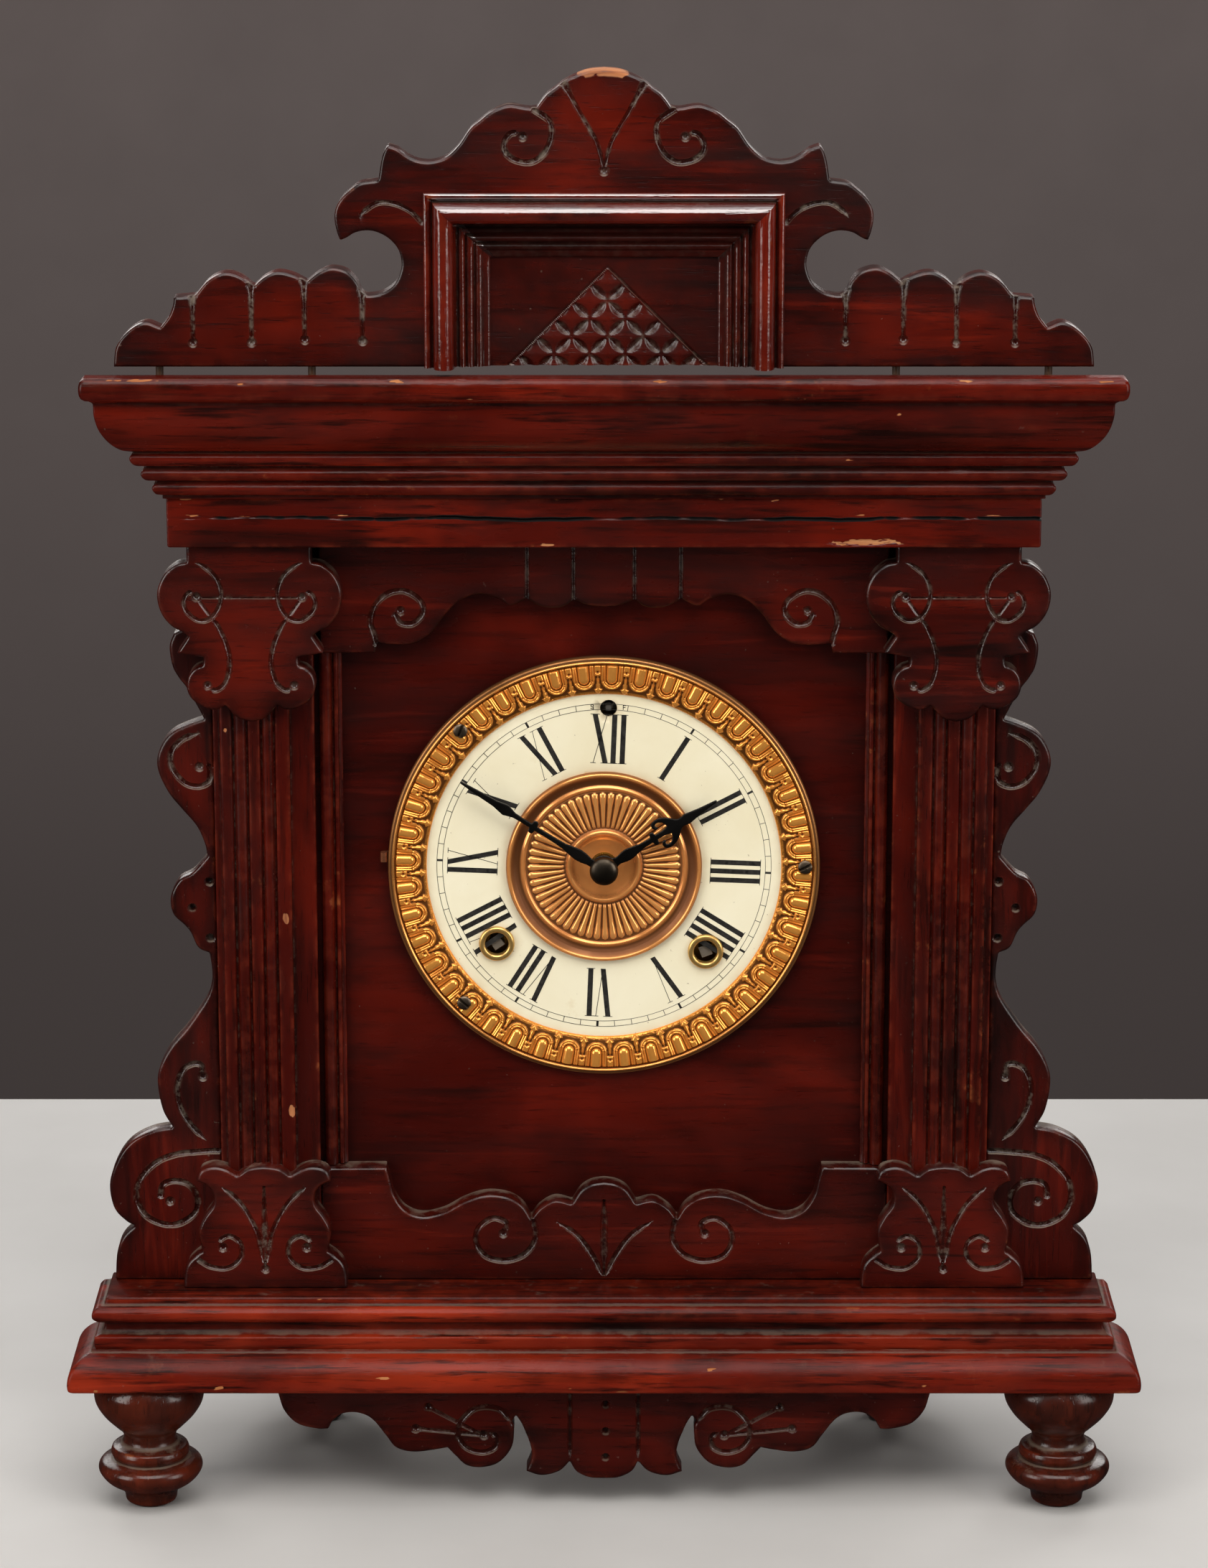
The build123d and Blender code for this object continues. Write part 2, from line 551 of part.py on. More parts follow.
# ---------------------------------------------------------------- dial
with BuildPart() as dial_rim:
    add(turned([(ring_r, 0), (rim_r, 0), (rim_r, -2.6), (rim_r - 0.7, -4.2), (rim_r - 1.8, -4.8), (ring_r, -4.2)]))
    add(block(-90, -75.6, -8, 2, dial_z - 0.2, dial_z + 8.2), mode=Mode.SUBTRACT)
finish(dial_rim, "dial_rim")

with BuildPart() as dial_ring:
    add(turned([(65.8, -1.2), (chapter_r, -1.2), (chapter_r, 0), (ring_r, 0), (ring_r, -3.6), (75.6, -5.0), (72.6, -5.6), (69.2, -4.4), (66.2, -2.4)]))
    bezel_at = [(72.6, 0.5), (-52.6, 51.0), (-52.3, -50.6)]
    for c in bezel_at:
        add(rod(c, 1.2, -8, 1), mode=Mode.SUBTRACT)
finish(dial_ring, "dial_ring")

with BuildPart() as chapter_ring:
    add(rod((0, 0), chapter_r, -1.2, 0, hole=chapter_in))
    for c in (time_pos, strike_pos):
        add(rod(c, 5.1, -2, 1), mode=Mode.SUBTRACT)
    add(rod(regulator_pos, 3.2, -2, 1), mode=Mode.SUBTRACT)
finish(chapter_ring, "chapter_ring")

with BuildPart() as centre_pan:
    add(turned([(5.0, 1.0), (12.0, 1.0), (14.0, -0.2), (28.6, -1.2), (33.6, -1.2), (pan_r, -1.2), (pan_r, -2.6), (35.4, -3.4), (33.8, -2.6), (31.0, -2.4), (28.6, -2.2), (14.2, -1.6), (12.2, -0.2), (5.0, 0.0)]))
finish(centre_pan, "centre_pan")

with BuildPart() as winding_grommets:
    for c in (time_pos, strike_pos):
        add(rod(c, 5.1, -1.2, 0.6, hole=4.4))
        add(rod(c, 6.7, -2.4, -1.2, hole=4.4))
finish(winding_grommets, "winding_grommets")

with BuildPart() as bezel_screws:
    for c in bezel_at:
        add(rod(c, 1.2, -5.5, 0))
        add(rod(c, 2.6, -7.2, -5.9))
        add(rod(c, 1.2, -6.2, -5.2))
        add(block(c[0] - 3, c[0] + 3, -8, -6.7, c[1] + dial_z - 0.4, c[1] + dial_z + 0.4), mode=Mode.SUBTRACT)
    add(dial_ring.part, mode=Mode.SUBTRACT)
finish(bezel_screws, "bezel_screws")

with BuildPart() as sash_hinge:
    add(block(-83.2, -76.0, -2.0, 0, dial_z, dial_z + 8.0))
    with Locations((-82.4, -2.4 + y_shift, dial_z + 4.0)):
        Cylinder(1.5, 8.0)
    add(dial_ring.part, mode=Mode.SUBTRACT)
finish(sash_hinge, "sash_hinge")

# ---------------------------------------------------------------- hands and motion work
cannon_teeth, minute_teeth, minute_pinion_teeth, hour_teeth = 12, 36, 10, 40
cannon_m, hour_m = 0.8, 0.768
arbor_r = 1.5
cannon_phase = 90.0
minute_phase = mesh_phase((0, 0), cannon_teeth, cannon_phase, minute_wheel_pos, minute_teeth)
hour_phase = mesh_phase(minute_wheel_pos, minute_pinion_teeth, minute_phase, (0, 0), hour_teeth)

with BuildPart() as cannon_pinion:
    add(rod((0, 0), 2.5, -8.2, 7.6))
    add(wheel(cannon_teeth, cannon_m, (0, 0), cannon_phase, 5.2, 1.8))
    add(rod((0, 0), arbor_r + play, -9, 8), mode=Mode.SUBTRACT)
finish(cannon_pinion, "cannon_pinion")

with BuildPart() as minute_wheel:
    add(wheel(minute_teeth, cannon_m, minute_wheel_pos, minute_phase, 5.4, 1.4))
    add(wheel(minute_pinion_teeth, hour_m, minute_wheel_pos, minute_phase, 2.6, 2.8))
    add(rod(minute_wheel_pos, 1.2 + play, 0, 9), mode=Mode.SUBTRACT)
finish(minute_wheel, "minute_wheel")

with BuildPart() as hour_wheel:
    add(wheel(hour_teeth, hour_m, (0, 0), hour_phase, 2.9, 1.4))
    add(rod((0, 0), 3.6, -5.4, 4.6))
    add(rod((0, 0), 2.5 + play, -6, 5), mode=Mode.SUBTRACT)
finish(hour_wheel, "hour_wheel")

with BuildPart() as hour_hand:
    add(hand(HOUR_HAND, -5.2, 0.8, hour_angle, 5.2, 3.6))
finish(hour_hand, "hour_hand")

with BuildPart() as minute_hand:
    add(hand(MINUTE_HAND, -7.6, 0.8, minute_angle, 4.6, 2.5))
finish(minute_hand, "minute_hand")

with BuildPart() as hand_nut:
    add(turned([(2.5, -7.6), (5.4, -7.6), (5.4, -9.0), (4.9, -9.8), (2.2, -10.2), (arbor_r + play, -10.2), (arbor_r + play, -8.2), (2.5, -8.2)]))
finish(hand_nut, "hand_nut")

# ---------------------------------------------------------------- movement plates
pillar_at = [(-53.0, -79.0), (53.0, -79.0), (-52.0, 60.0), (52.0, 60.0)]
pivots = [(second_pos, 1.0), (third_pos, 1.0), (escape_pos, 1.0), (hammer_pos, 1.5)]
winders = [(time_pos, 2.5), (strike_pos, 2.5)]

with BuildPart() as front_plate:
    add(block(-plate_half_x, plate_half_x, front_plate_y, front_plate_y + plate_t, dial_z + plate_lo, dial_z + plate_hi))
    for c, r in pivots + winders + [((0, 0), arbor_r), (regulator_pos, 1.5), (verge_pos, 1.0)]:
        add(rod(c, r + play, 5, 15), mode=Mode.SUBTRACT)
    for c in pillar_at:
        add(rod(c, 1.6, 5, 15), mode=Mode.SUBTRACT)
    for c in screw_at:
        add(rod(c, 1.4, 5, 15), mode=Mode.SUBTRACT)
    add(rod(minute_wheel_pos, 1.2, 2.2, front_plate_y))
finish(front_plate, "front_plate")

with BuildPart() as back_plate:
    add(block(-plate_half_x, plate_half_x, back_plate_y, back_plate_y + plate_t, dial_z + plate_lo, dial_z + plate_hi))
    for c, r in pivots + winders + [((0, 0), arbor_r), (verge_pos, 1.0)]:
        add(rod(c, r + play, 40, 46), mode=Mode.SUBTRACT)
    for c in pillar_at:
        add(rod(c, 1.6, 40, 46), mode=Mode.SUBTRACT)
    add(block(-5, 5, back_plate_y + plate_t, 57, dial_z + 60, dial_z + 66))
    add(block(-5, 5, 54, 57, dial_z + 47, dial_z + 66))
    add(rod(verge_pos, 1.0, 48.8, 54))
finish(back_plate, "back_plate")

with BuildPart() as plate_pillars:
    for c in pillar_at:
        add(rod(c, 3.0, front_plate_y + plate_t, back_plate_y))
        add(rod(c, 1.6, front_plate_y, back_plate_y + 4.5))
finish(plate_pillars, "plate_pillars")

with BuildPart() as plate_nuts:
    for c in pillar_at:
        with BuildSketch(front(back_plate_y + plate_t)):
            with Locations((c[0], c[1] + dial_z)):
                RegularPolygon(3.4, 6)
                Circle(1.6, mode=Mode.SUBTRACT)
        extrude(amount=-2.4)
finish(plate_nuts, "plate_nuts")

with BuildPart() as movement_screws:
    for c in screw_at:
        add(rod(c, 1.4, panel_t - 5, front_plate_y + plate_t))
        add(rod(c, 2.8, front_plate_y + plate_t, front_plate_y + plate_t + 1.8))
        add(block(c[0] - 3, c[0] + 3, front_plate_y + plate_t + 1.1, front_plate_y + plate_t + 3, c[1] + dial_z - 0.4, c[1] + dial_z + 0.4), mode=Mode.SUBTRACT)
finish(movement_screws, "movement_screws")

# ---------------------------------------------------------------- going train
great_teeth, second_pinion_teeth, second_teeth, centre_pinion_teeth = 72, 12, 48, 16
centre_teeth, third_pinion_teeth, third_teeth, escape_pinion_teeth, escape_teeth = 72, 6, 60, 6, 36
great_m, second_m, train_m = 1.0, 0.8, 0.6

third_phase = 0.0
escape_phase = mesh_phase(third_pos, third_teeth, third_phase, escape_pos, escape_pinion_teeth)
centre_phase = mesh_phase(third_pos, third_pinion_teeth, third_phase, (0, 0), centre_teeth)
second_phase = mesh_phase((0, 0), centre_pinion_teeth, centre_phase, second_pos, second_teeth)
great_phase = mesh_phase(second_pos, second_pinion_teeth, second_phase, time_pos, great_teeth)

with BuildPart() as centre_arbor:
    add(rod((0, 0), arbor_r, -9.6, front_plate_y + plate_t + 0.3))
    add(rod((0, 0), 2.2, front_plate_y + plate_t + 0.3, back_plate_y - 0.3))
    add(rod((0, 0), arbor_r, back_plate_y - 0.3, back_plate_y + plate_t + 0.6))
    add(wheel(centre_teeth, train_m, (0, 0), centre_phase, 26.0, 1.2, windows=5, window_r=5.4, window_at=12.8))
    add(wheel(centre_pinion_teeth, second_m, (0, 0), centre_phase, 19.2, 3.2))
finish(centre_arbor, "centre_arbor")

with BuildPart() as second_wheel:
    add(rod(second_pos, 1.0, front_plate_y, back_plate_y + plate_t + 0.4))
    add(rod(second_pos, 1.8, front_plate_y + plate_t + 0.3, back_plate_y - 0.3))
    add(wheel(second_pinion_teeth, great_m, second_pos, second_phase, 11.4, 3.2))
    add(wheel(second_teeth, second_m, second_pos, second_phase, 20.0, 1.4, windows=5, window_r=4.6, window_at=11.4))
finish(second_wheel, "second_wheel")

with BuildPart() as third_wheel:
    add(rod(third_pos, 1.0, front_plate_y, back_plate_y + plate_t + 0.4))
    add(wheel(third_pinion_teeth, train_m, third_pos, third_phase, 25.0, 3.2))
    add(wheel(third_teeth, train_m, third_pos, third_phase, 31.0, 1.2, windows=5, window_r=4.4, window_at=10.6))
    add(rod(third_pos, 2.4, 28.6, 31.0))
finish(third_wheel, "third_wheel")

with BuildPart() as escape_wheel:
    add(rod(escape_pos, 1.0, front_plate_y, back_plate_y + plate_t + 0.4))
    add(wheel(escape_pinion_teeth, train_m, escape_pos, escape_phase, 30.0, 3.2))
    add(rod(escape_pos, 2.2, 35.6, 37.0))
    with BuildSketch(front(37.0)):
        with BuildLine():
            tips = []
            for i in range(escape_teeth):
                b = radians(i * 360 / escape_teeth)
                e = radians((i + 0.42) * 360 / escape_teeth)
                f = radians((i + 0.16) * 360 / escape_teeth)
                tips.append((escape_pos[0] + 10.4 * cos(b), escape_pos[1] + dial_z + 10.4 * sin(b)))
                tips.append((escape_pos[0] + 12.0 * cos(b), escape_pos[1] + dial_z + 12.0 * sin(b)))
                tips.append((escape_pos[0] + 12.0 * cos(radians((i + 0.08) * 360 / escape_teeth)), escape_pos[1] + dial_z + 12.0 * sin(radians((i + 0.08) * 360 / escape_teeth))))
                tips.append((escape_pos[0] + 10.4 * cos(e), escape_pos[1] + dial_z + 10.4 * sin(e)))
            Polyline(*tips, close=True)
        make_face()
    extrude(amount=-1.0)
finish(escape_wheel, "escape_wheel")

with BuildPart() as time_great_wheel:
    add(wheel(great_teeth, great_m, time_pos, great_phase, 12.0, 2.0, bore=2.5 + play, windows=6, window_r=7.6, window_at=22.0))
finish(time_great_wheel, "time_great_wheel")

with BuildPart() as strike_great_wheel:
    add(wheel(great_teeth, great_m, strike_pos, 0.0, 12.0, 2.0, bore=2.5 + play, windows=6, window_r=7.6, window_at=22.0))
finish(strike_great_wheel, "strike_great_wheel")

with BuildPart() as time_arbor:
    add(square(time_pos, 4.2, -0.4, 4.6, 20))
    add(rod(time_pos, 2.5, 4.6, back_plate_y + plate_t + 0.8))
    add(wheel(18, 0.7, time_pos, 0, 14.4, 1.4))
    add(rod(time_pos, 4.2, 10.4, 11.6))
finish(time_arbor, "time_arbor")

with BuildPart() as strike_arbor:
    add(square(strike_pos, 4.2, -0.4, 4.6, 35))
    add(rod(strike_pos, 2.5, 4.6, back_plate_y + plate_t + 0.8))
    add(wheel(18, 0.7, strike_pos, 0, 14.4, 1.4))
    add(rod(strike_pos, 4.2, 10.4, 11.6))
finish(strike_arbor, "strike_arbor")

with BuildPart() as mainsprings:
    turns, r_in, r_out, leaf = 6.0, 4.0, 18.6, 0.9
    for c, hand_ in ((time_pos, 1), (strike_pos, -1)):
        inner, outer = [], []
        for i in range(int(turns * 16) + 1):
            a = hand_ * i * pi / 8
            r = r_in + (r_out - r_in) * i / (turns * 16)
            inner.append((c[0] + r * cos(a), c[1] + dial_z + r * sin(a)))
            outer.append((c[0] + (r + leaf) * cos(a), c[1] + dial_z + (r + leaf) * sin(a)))
        with BuildSketch(front(17.0)):
            with BuildLine():
                Spline(*inner)
                Spline(*outer)
                Line(inner[0], outer[0])
                Line(inner[-1], outer[-1])
            make_face()
        extrude(amount=-17.0)
finish(mainsprings, "mainsprings")

with BuildPart() as regulator_arbor:
    add(square(regulator_pos, 1.9, -0.8, 2.0))
    add(rod(regulator_pos, 1.5, 2.0, 12.8))
    add(rod(regulator_pos, 3.0, 10.3, 11.8))
    add(rod(regulator_pos, 3.0, 6.4, 7.7))
finish(regulator_arbor, "regulator_arbor")

# ---------------------------------------------------------------- escapement and pendulum
with BuildPart() as verge:
    add(rod(verge_pos, 1.0, front_plate_y, 47.6))
    with BuildSketch(front(36.8)):
        with BuildLine():
            Polyline(
                (-10.6, dial_z + 44.0), (-9.8, dial_z + 43.4), (-7.8, dial_z + 48.8), (0, dial_z + 50.4), (7.8, dial_z + 48.8), (9.8, dial_z + 43.4), (10.6, dial_z + 44.0),
                (8.8, dial_z + 50.0), (2.6, dial_z + 54.0), (-2.6, dial_z + 54.0), (-8.8, dial_z + 50.0), close=True)
        make_face()
    extrude(amount=-1.4)
    add(block(-1.3, 1.3, 46.0, 47.4, dial_z + 24, dial_z + 53.4))
    add(block(-2.8, -1.45, 46.0, 52.0, dial_z + 24, dial_z + 26))
    add(block(1.45, 2.8, 46.0, 52.0, dial_z + 24, dial_z + 26))
    add(block(-2.8, 2.8, 46.0, 47.4, dial_z + 24, dial_z + 26))
finish(verge, "verge")

with BuildPart() as pendulum_rod:
    add(rod(verge_pos, 3.0, 49.2, 51.2))
    with BuildSketch(Plane(origin=(0, 50.2 + y_shift, dial_z + verge_pos[1] - pendulum_length - bob_r - 8))):
        Circle(1.05)
    extrude(amount=pendulum_length + bob_r + 8 - 2.0)
    add(rod(verge_pos, 1.0 + play, 48, 52), mode=Mode.SUBTRACT)
finish(pendulum_rod, "pendulum_rod")

with BuildPart() as pendulum_bob:
    bob_z = verge_pos[1] - pendulum_length
    with BuildSketch(Plane(origin=(0, 50.2 + y_shift, dial_z + bob_z), x_dir=(1, 0, 0), z_dir=(0, 0, 1))):
        with BuildLine():
            l1 = Line((0, -4.2), (bob_r - 5, -3.6))
            Spline((bob_r - 5, -3.6), (bob_r - 1, -2.2), (bob_r, 0), (bob_r - 1, 2.2), (bob_r - 5, 3.6))
            Line((bob_r - 5, 3.6), (0, 4.2))
            Line((0, 4.2), (0, -4.2))
        make_face()
    revolve(axis=Axis((0, y_shift, dial_z + bob_z), (0, 1, 0)))
    with Locations((0, 50.2 + y_shift, dial_z + bob_z - bob_r + 0.8)):
        Cylinder(3.0, 4.0, align=(Align.CENTER, Align.CENTER, Align.MAX))
    add(pendulum_rod.part, mode=Mode.SUBTRACT)
finish(pendulum_bob, "pendulum_bob")

# ---------------------------------------------------------------- strike
with BuildPart() as hammer:
    add(rod(hammer_pos, 1.5, front_plate_y, 58.4))
    add(rod(hammer_pos, 3.0, 54.0, 58.4))
    add(block(hammer_pos[0] - 1.0, hammer_pos[0] + 1.0, 56.4, 58.4, dial_z + gong_pos[1], dial_z + hammer_pos[1]))
    with Locations((hammer_pos[0] + 6.0, 60.6 + y_shift, dial_z + gong_pos[1])):
        Cylinder(4.4, 13.0, rotation=(0, 90, 0))
    add(block(hammer_pos[0] - 9, hammer_pos[0] + 1, 36.0, 37.6, dial_z + hammer_pos[1] - 1.2, dial_z + hammer_pos[1] + 1.2))
finish(hammer, "hammer")

with BuildPart() as gong:
    gx, gz = gong_pos[0], dial_z + gong_pos[1]
    turns_g, g_in, g_out, wire = 4.0, 5.0, 18.4, 1.3
    lo_side, hi_side = [], []
    for i in range(int(turns_g * 16) + 1):
        a = -i * pi / 8
        r = g_in + (g_out - g_in) * i / (turns_g * 16)
        lo_side.append((gx + r * cos(a), gz + r * sin(a)))
        hi_side.append((gx + (r + wire) * cos(a), gz + (r + wire) * sin(a)))
    with BuildSketch(front(59.6)):
        with BuildLine():
            Spline(*lo_side)
            Spline(*hi_side)
            Line(lo_side[0], hi_side[0])
            Line(lo_side[-1], hi_side[-1])
        make_face()
    extrude(amount=-2.6)
    add(block(gx + 3.0, gx + 8.2, 59.0, 66.0, gz - 2.0, gz + 2.0))
    add(block(gx + 1.6, gx + 9.6, 64.0, 69.0, floor_top + 6, gz + 3.6))
    add(block(gx - 8, gx + 19, 58.0, 75.0, floor_top, floor_top + 6))
finish(gong, "gong")
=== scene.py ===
import math

import bpy
import numpy as np
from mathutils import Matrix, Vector
from mathutils.geometry import delaunay_2d_cdt
from mathutils.kdtree import KDTree


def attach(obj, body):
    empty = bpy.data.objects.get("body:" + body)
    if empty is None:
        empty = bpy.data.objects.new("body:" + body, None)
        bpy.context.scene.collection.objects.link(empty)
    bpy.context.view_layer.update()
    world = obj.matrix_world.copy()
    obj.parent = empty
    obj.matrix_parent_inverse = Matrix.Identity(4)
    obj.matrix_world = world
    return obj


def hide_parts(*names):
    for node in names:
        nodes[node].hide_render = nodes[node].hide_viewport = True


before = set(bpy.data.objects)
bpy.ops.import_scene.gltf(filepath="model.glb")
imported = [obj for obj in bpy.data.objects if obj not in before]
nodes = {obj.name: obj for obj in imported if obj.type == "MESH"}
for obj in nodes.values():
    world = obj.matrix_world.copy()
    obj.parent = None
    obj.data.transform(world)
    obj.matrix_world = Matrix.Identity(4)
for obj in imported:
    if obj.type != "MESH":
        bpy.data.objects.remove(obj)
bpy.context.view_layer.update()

MM = 0.001
Y_SHIFT = -19.45      # depth 0 is the face of the front panel
DIAL_Z = 245.0
DIAL_TURN = math.radians(2.3)   # the dial sits a little turned in its case

# ------------------------------------------------------------------ outlines (X, Z), mm
CREST = [
    [(0, 544.8), (-5.2, 544.3), (-9.7, 542.8), (-13.5, 541), (-17, 538.3), (-19.8, 536.3), (-21.8, 534), (-23.6, 531.5)],
    [(-23.6, 531.5), (-26.9, 531.2), (-32.7, 532.2), (-36.3, 531.5), (-40.1, 529.7), (-43.6, 526.9), (-47.2, 523.9), (-51, 518.4), (-54.8, 514.6), (-58.1, 513), (-62, 512.3), (-66, 512.8), (-69.8, 514.6), (-72.8, 516.8), (-76.3, 518.1)],
    [(-76.3, 518.1), (-77.6, 516.1), (-78.7, 512.5), (-79.3, 508.7), (-79.8, 505.7)],
    [(-79.8, 505.7), (-82.3, 505.4), (-86.4, 504.7), (-89.7, 502.4), (-93, 499.3), (-95.1, 495.5), (-95.4, 491.5), (-94.5, 487.1), (-93.5, 484.6)],
    [(-93.5, 484.6), (-91.2, 485.6), (-88.1, 487.4), (-84, 488.1), (-80.2, 487.4), (-76.4, 485.3), (-73.2, 481.8), (-71.9, 477.4), (-72.2, 473.6), (-74.1, 469.2), (-77.4, 466.4), (-80.7, 465.1), (-84.3, 464.8), (-86.3, 465.9)],
    [(-86.3, 465.9), (-87.1, 467.9), (-88.3, 470.2), (-90.6, 472.8), (-93.4, 474.1), (-96.9, 474.6), (-100, 473.6), (-102.3, 472.3), (-105.7, 469.5)],
    [(-105.7, 469.5), (-110.5, 472), (-116.1, 473.1), (-120.7, 471.3), (-124.6, 467.9)],
    [(-124.6, 467.9), (-129.3, 471.5), (-134.9, 472.8), (-140.6, 470.2), (-145.5, 464.6)],
    [(-145.5, 464.6), (-153, 464.1)],
    [(-153, 464.1), (-153.3, 461.5), (-154.9, 457.4), (-158, 453.3)],
    [(-158, 453.3), (-163.6, 455.1), (-169.3, 452.2), (-173.8, 446.6), (-175, 439.3)],
]
CAPITAL = [
    [(-22.7, 370.7), (-22.7, 364.2)],
    [(-22.7, 364.2), (-26.5, 363.4), (-30.7, 360), (-33.2, 355.1), (-33.6, 350.3), (-32.1, 345), (-28.8, 340.7), (-24.7, 338.3), (-22.6, 336.7)],
    [(-22.6, 336.7), (-26.7, 330.5)],
    [(-26.7, 330.5), (-17.2, 328.8)],
    [(-17.2, 328.8), (-17.6, 325.6)],
    [(-17.6, 325.6), (-20.5, 324.5), (-22.9, 321.6), (-23.5, 317.2), (-21.8, 313.2), (-17.6, 310.2), (-13.2, 309.1), (-9.5, 310.8)],
    [(-9.5, 310.8), (-7.1, 307.8), (-4.3, 305.6), (0, 304.5)],
]
PLINTH = [
    [(0, 132.4), (-3.3, 132.1), (-6.6, 131.2), (-9.9, 128.7)],
    [(-9.9, 128.7), (-14.4, 131.2), (-19, 132.1), (-23.6, 130.6), (-25.3, 126.7)],
    [(-25.3, 126.7), (-21.8, 125.2), (-19.2, 121.8), (-19.3, 117), (-22.6, 112.1), (-24.9, 106.4), (-23.7, 98.7)],
    [(-23.7, 98.7), (-26.7, 96.4), (-29.5, 93.2), (-30.7, 88.3), (-30.8, 84)],
]
BRACKET = [
    [(-144.6, 340), (-152, 338.5), (-158.1, 335.6)],
    [(-158.1, 335.6), (-159.8, 330.7), (-158.9, 323.4), (-156.6, 318.8), (-153.8, 315), (-150, 308), (-147.6, 303.2)],
    [(-147.6, 303.2), (-152.3, 301.6), (-158.9, 298.6), (-163, 294.3), (-165.3, 288.2), (-164.6, 282.2), (-161.1, 274.8), (-156.4, 268.8), (-151.2, 262.4), (-148.4, 255.9), (-147.4, 250.8)],
    [(-147.4, 250.8), (-153.2, 244.4), (-158.3, 241.4), (-161.4, 235.3), (-160.7, 228.6), (-156.3, 223.9), (-154.2, 221.1), (-151.6, 215.4), (-147.4, 213.3)],
    [(-147.4, 213.3), (-146.6, 207.1), (-146.8, 202.1), (-149, 195.4), (-156.3, 184.4), (-163, 176.2), (-167.2, 168), (-167.9, 161.2), (-166.2, 151.6), (-162.6, 144.8)],
    [(-162.6, 144.8), (-170.5, 143.3), (-178.4, 139.1), (-183.7, 132.2), (-187, 122.5), (-185.6, 112.7), (-181.1, 107.3), (-177.9, 105.6)],
    [(-177.9, 105.6), (-182.6, 100.9), (-184.9, 94.6), (-185.7, 84)],
]
UPPER_FRIEZE = [
    [(-104.6, 328.3), (-84.1, 328.3)],
    [(-84.1, 328.3), (-83.5, 332.1)],
    [(-83.5, 332.1), (-79.3, 331.5), (-70.1, 331.8), (-63.2, 336.1), (-58.4, 342.6), (-52.8, 348), (-45.9, 350.4), (-39.1, 348.8), (-34.4, 346.1), (-28.3, 348.8)],
    [(-28.3, 348.8), (-23.6, 346.1), (-18.8, 345.3), (-14.4, 346.1), (-11.2, 348.5)],
    [(-11.2, 348.5), (-6.2, 346.4), (0, 345.6)],
]
LOWER_FRIEZE = [
    [(-107, 128.6), (-82.4, 128.8)],
    [(-82.4, 128.8), (-81, 123.6), (-79.5, 117.6), (-75.5, 111.6), (-69, 109), (-60.8, 110.7), (-52.9, 115), (-44.7, 117.6), (-36.6, 116.8), (-30.9, 113.3), (-27.6, 108.1)],
    [(-27.6, 108.1), (-24.3, 112.4), (-18.6, 115.6), (-12.1, 114.2)],
    [(-12.1, 114.2), (-8.8, 119.3), (-4.8, 121.9), (0, 122.8)],
]
APRON = [
    [(-124.4, 50.8), (-123, 45.3)],
    [(-123, 45.3), (-121, 39.2), (-116.2, 34), (-108.9, 31.9), (-104.5, 31.9)],
    [(-104.5, 31.9), (-102.3, 35.7), (-98.2, 38.3), (-92.5, 38.3), (-87.6, 35.7), (-82.8, 29.6), (-78.8, 24.4), (-72.3, 22.6), (-64.1, 23.5), (-59.4, 24.4)],
    [(-59.4, 24.4), (-56.2, 20.9), (-52.2, 17.1), (-46.4, 16.2), (-39.9, 18.2), (-35, 24.4), (-34.1, 32.2), (-35.2, 34.8)],
    [(-35.2, 34.8), (-33.3, 37.4)],
    [(-33.3, 37.4), (-30.8, 33.1), (-27.9, 25.2), (-27.6, 20), (-29.6, 14.7)],
    [(-29.6, 14.7), (-23.6, 13), (-17, 14.7), (-12.9, 18.8)],
    [(-12.9, 18.8), (-10.5, 14.7), (-5.6, 12.2), (0, 11.8)],
]
SLAB = [
    [(13.0, 50.8), (13.7, 51.1), (14.0, 51.9)],
    [(14.0, 51.9), (14.1, 54.2), (13.5, 57.4), (11.8, 60.4), (9.2, 62.7), (6.6, 64.0)],
    [(6.6, 64.0), (5.6, 64.3), (5.2, 65)],
]
BASE_MOULDING = [
    [(4.0, 65), (4.3, 66)],
    [(4.3, 66), (4.3, 69.3)],
    [(4.3, 69.3), (3.9, 69.8), (2.0, 70.6), (0.8, 72.2), (0.5, 74.6)],
    [(0.5, 74.6), (0.9, 75.1), (3.0, 75.3)],
    [(3.0, 75.3), (4.7, 76.9), (5.0, 78.3), (4.7, 79.7), (3.2, 81.2)],
    [(3.2, 81.2), (0.8, 81.4), (0.2, 82.2)],
    [(0.2, 82.2), (0.0, 83.5)],
    [(0.0, 83.5), (-0.5, 84)],
]
CORNICE = [
    [(1.2, 389), (1.2, 390.4)],
    [(1.2, 390.4), (3.2, 390.8), (4.7, 393.2), (3.6, 395.5)],
    [(3.6, 395.5), (3.4, 396.2)],
    [(3.4, 396.2), (6.7, 396.8), (8.3, 399.1), (7.1, 401.4)],
    [(7.1, 401.4), (6.9, 402.2)],
    [(6.9, 402.2), (10.2, 402.8), (11.9, 405.4), (10.6, 407.9)],
    [(10.6, 407.9), (14.9, 409.4), (18.8, 413), (21.6, 417.6), (23, 422.6), (23.2, 426.4)],
    [(23.2, 426.4), (23.4, 427.6), (25.2, 429)],
]
STRIP = [
    [(26.3, 429), (27.3, 429.7)],
    [(27.3, 429.7), (27.9, 431.5), (27.9, 434.5), (27.3, 436.3)],
    [(27.3, 436.3), (26.3, 437)],
]
ARCHITRAVE = [
    [(-0.4, 370.7), (0, 371.2)],
    [(0, 371.2), (0, 388.6)],
    [(0, 388.6), (-0.4, 389)],
]
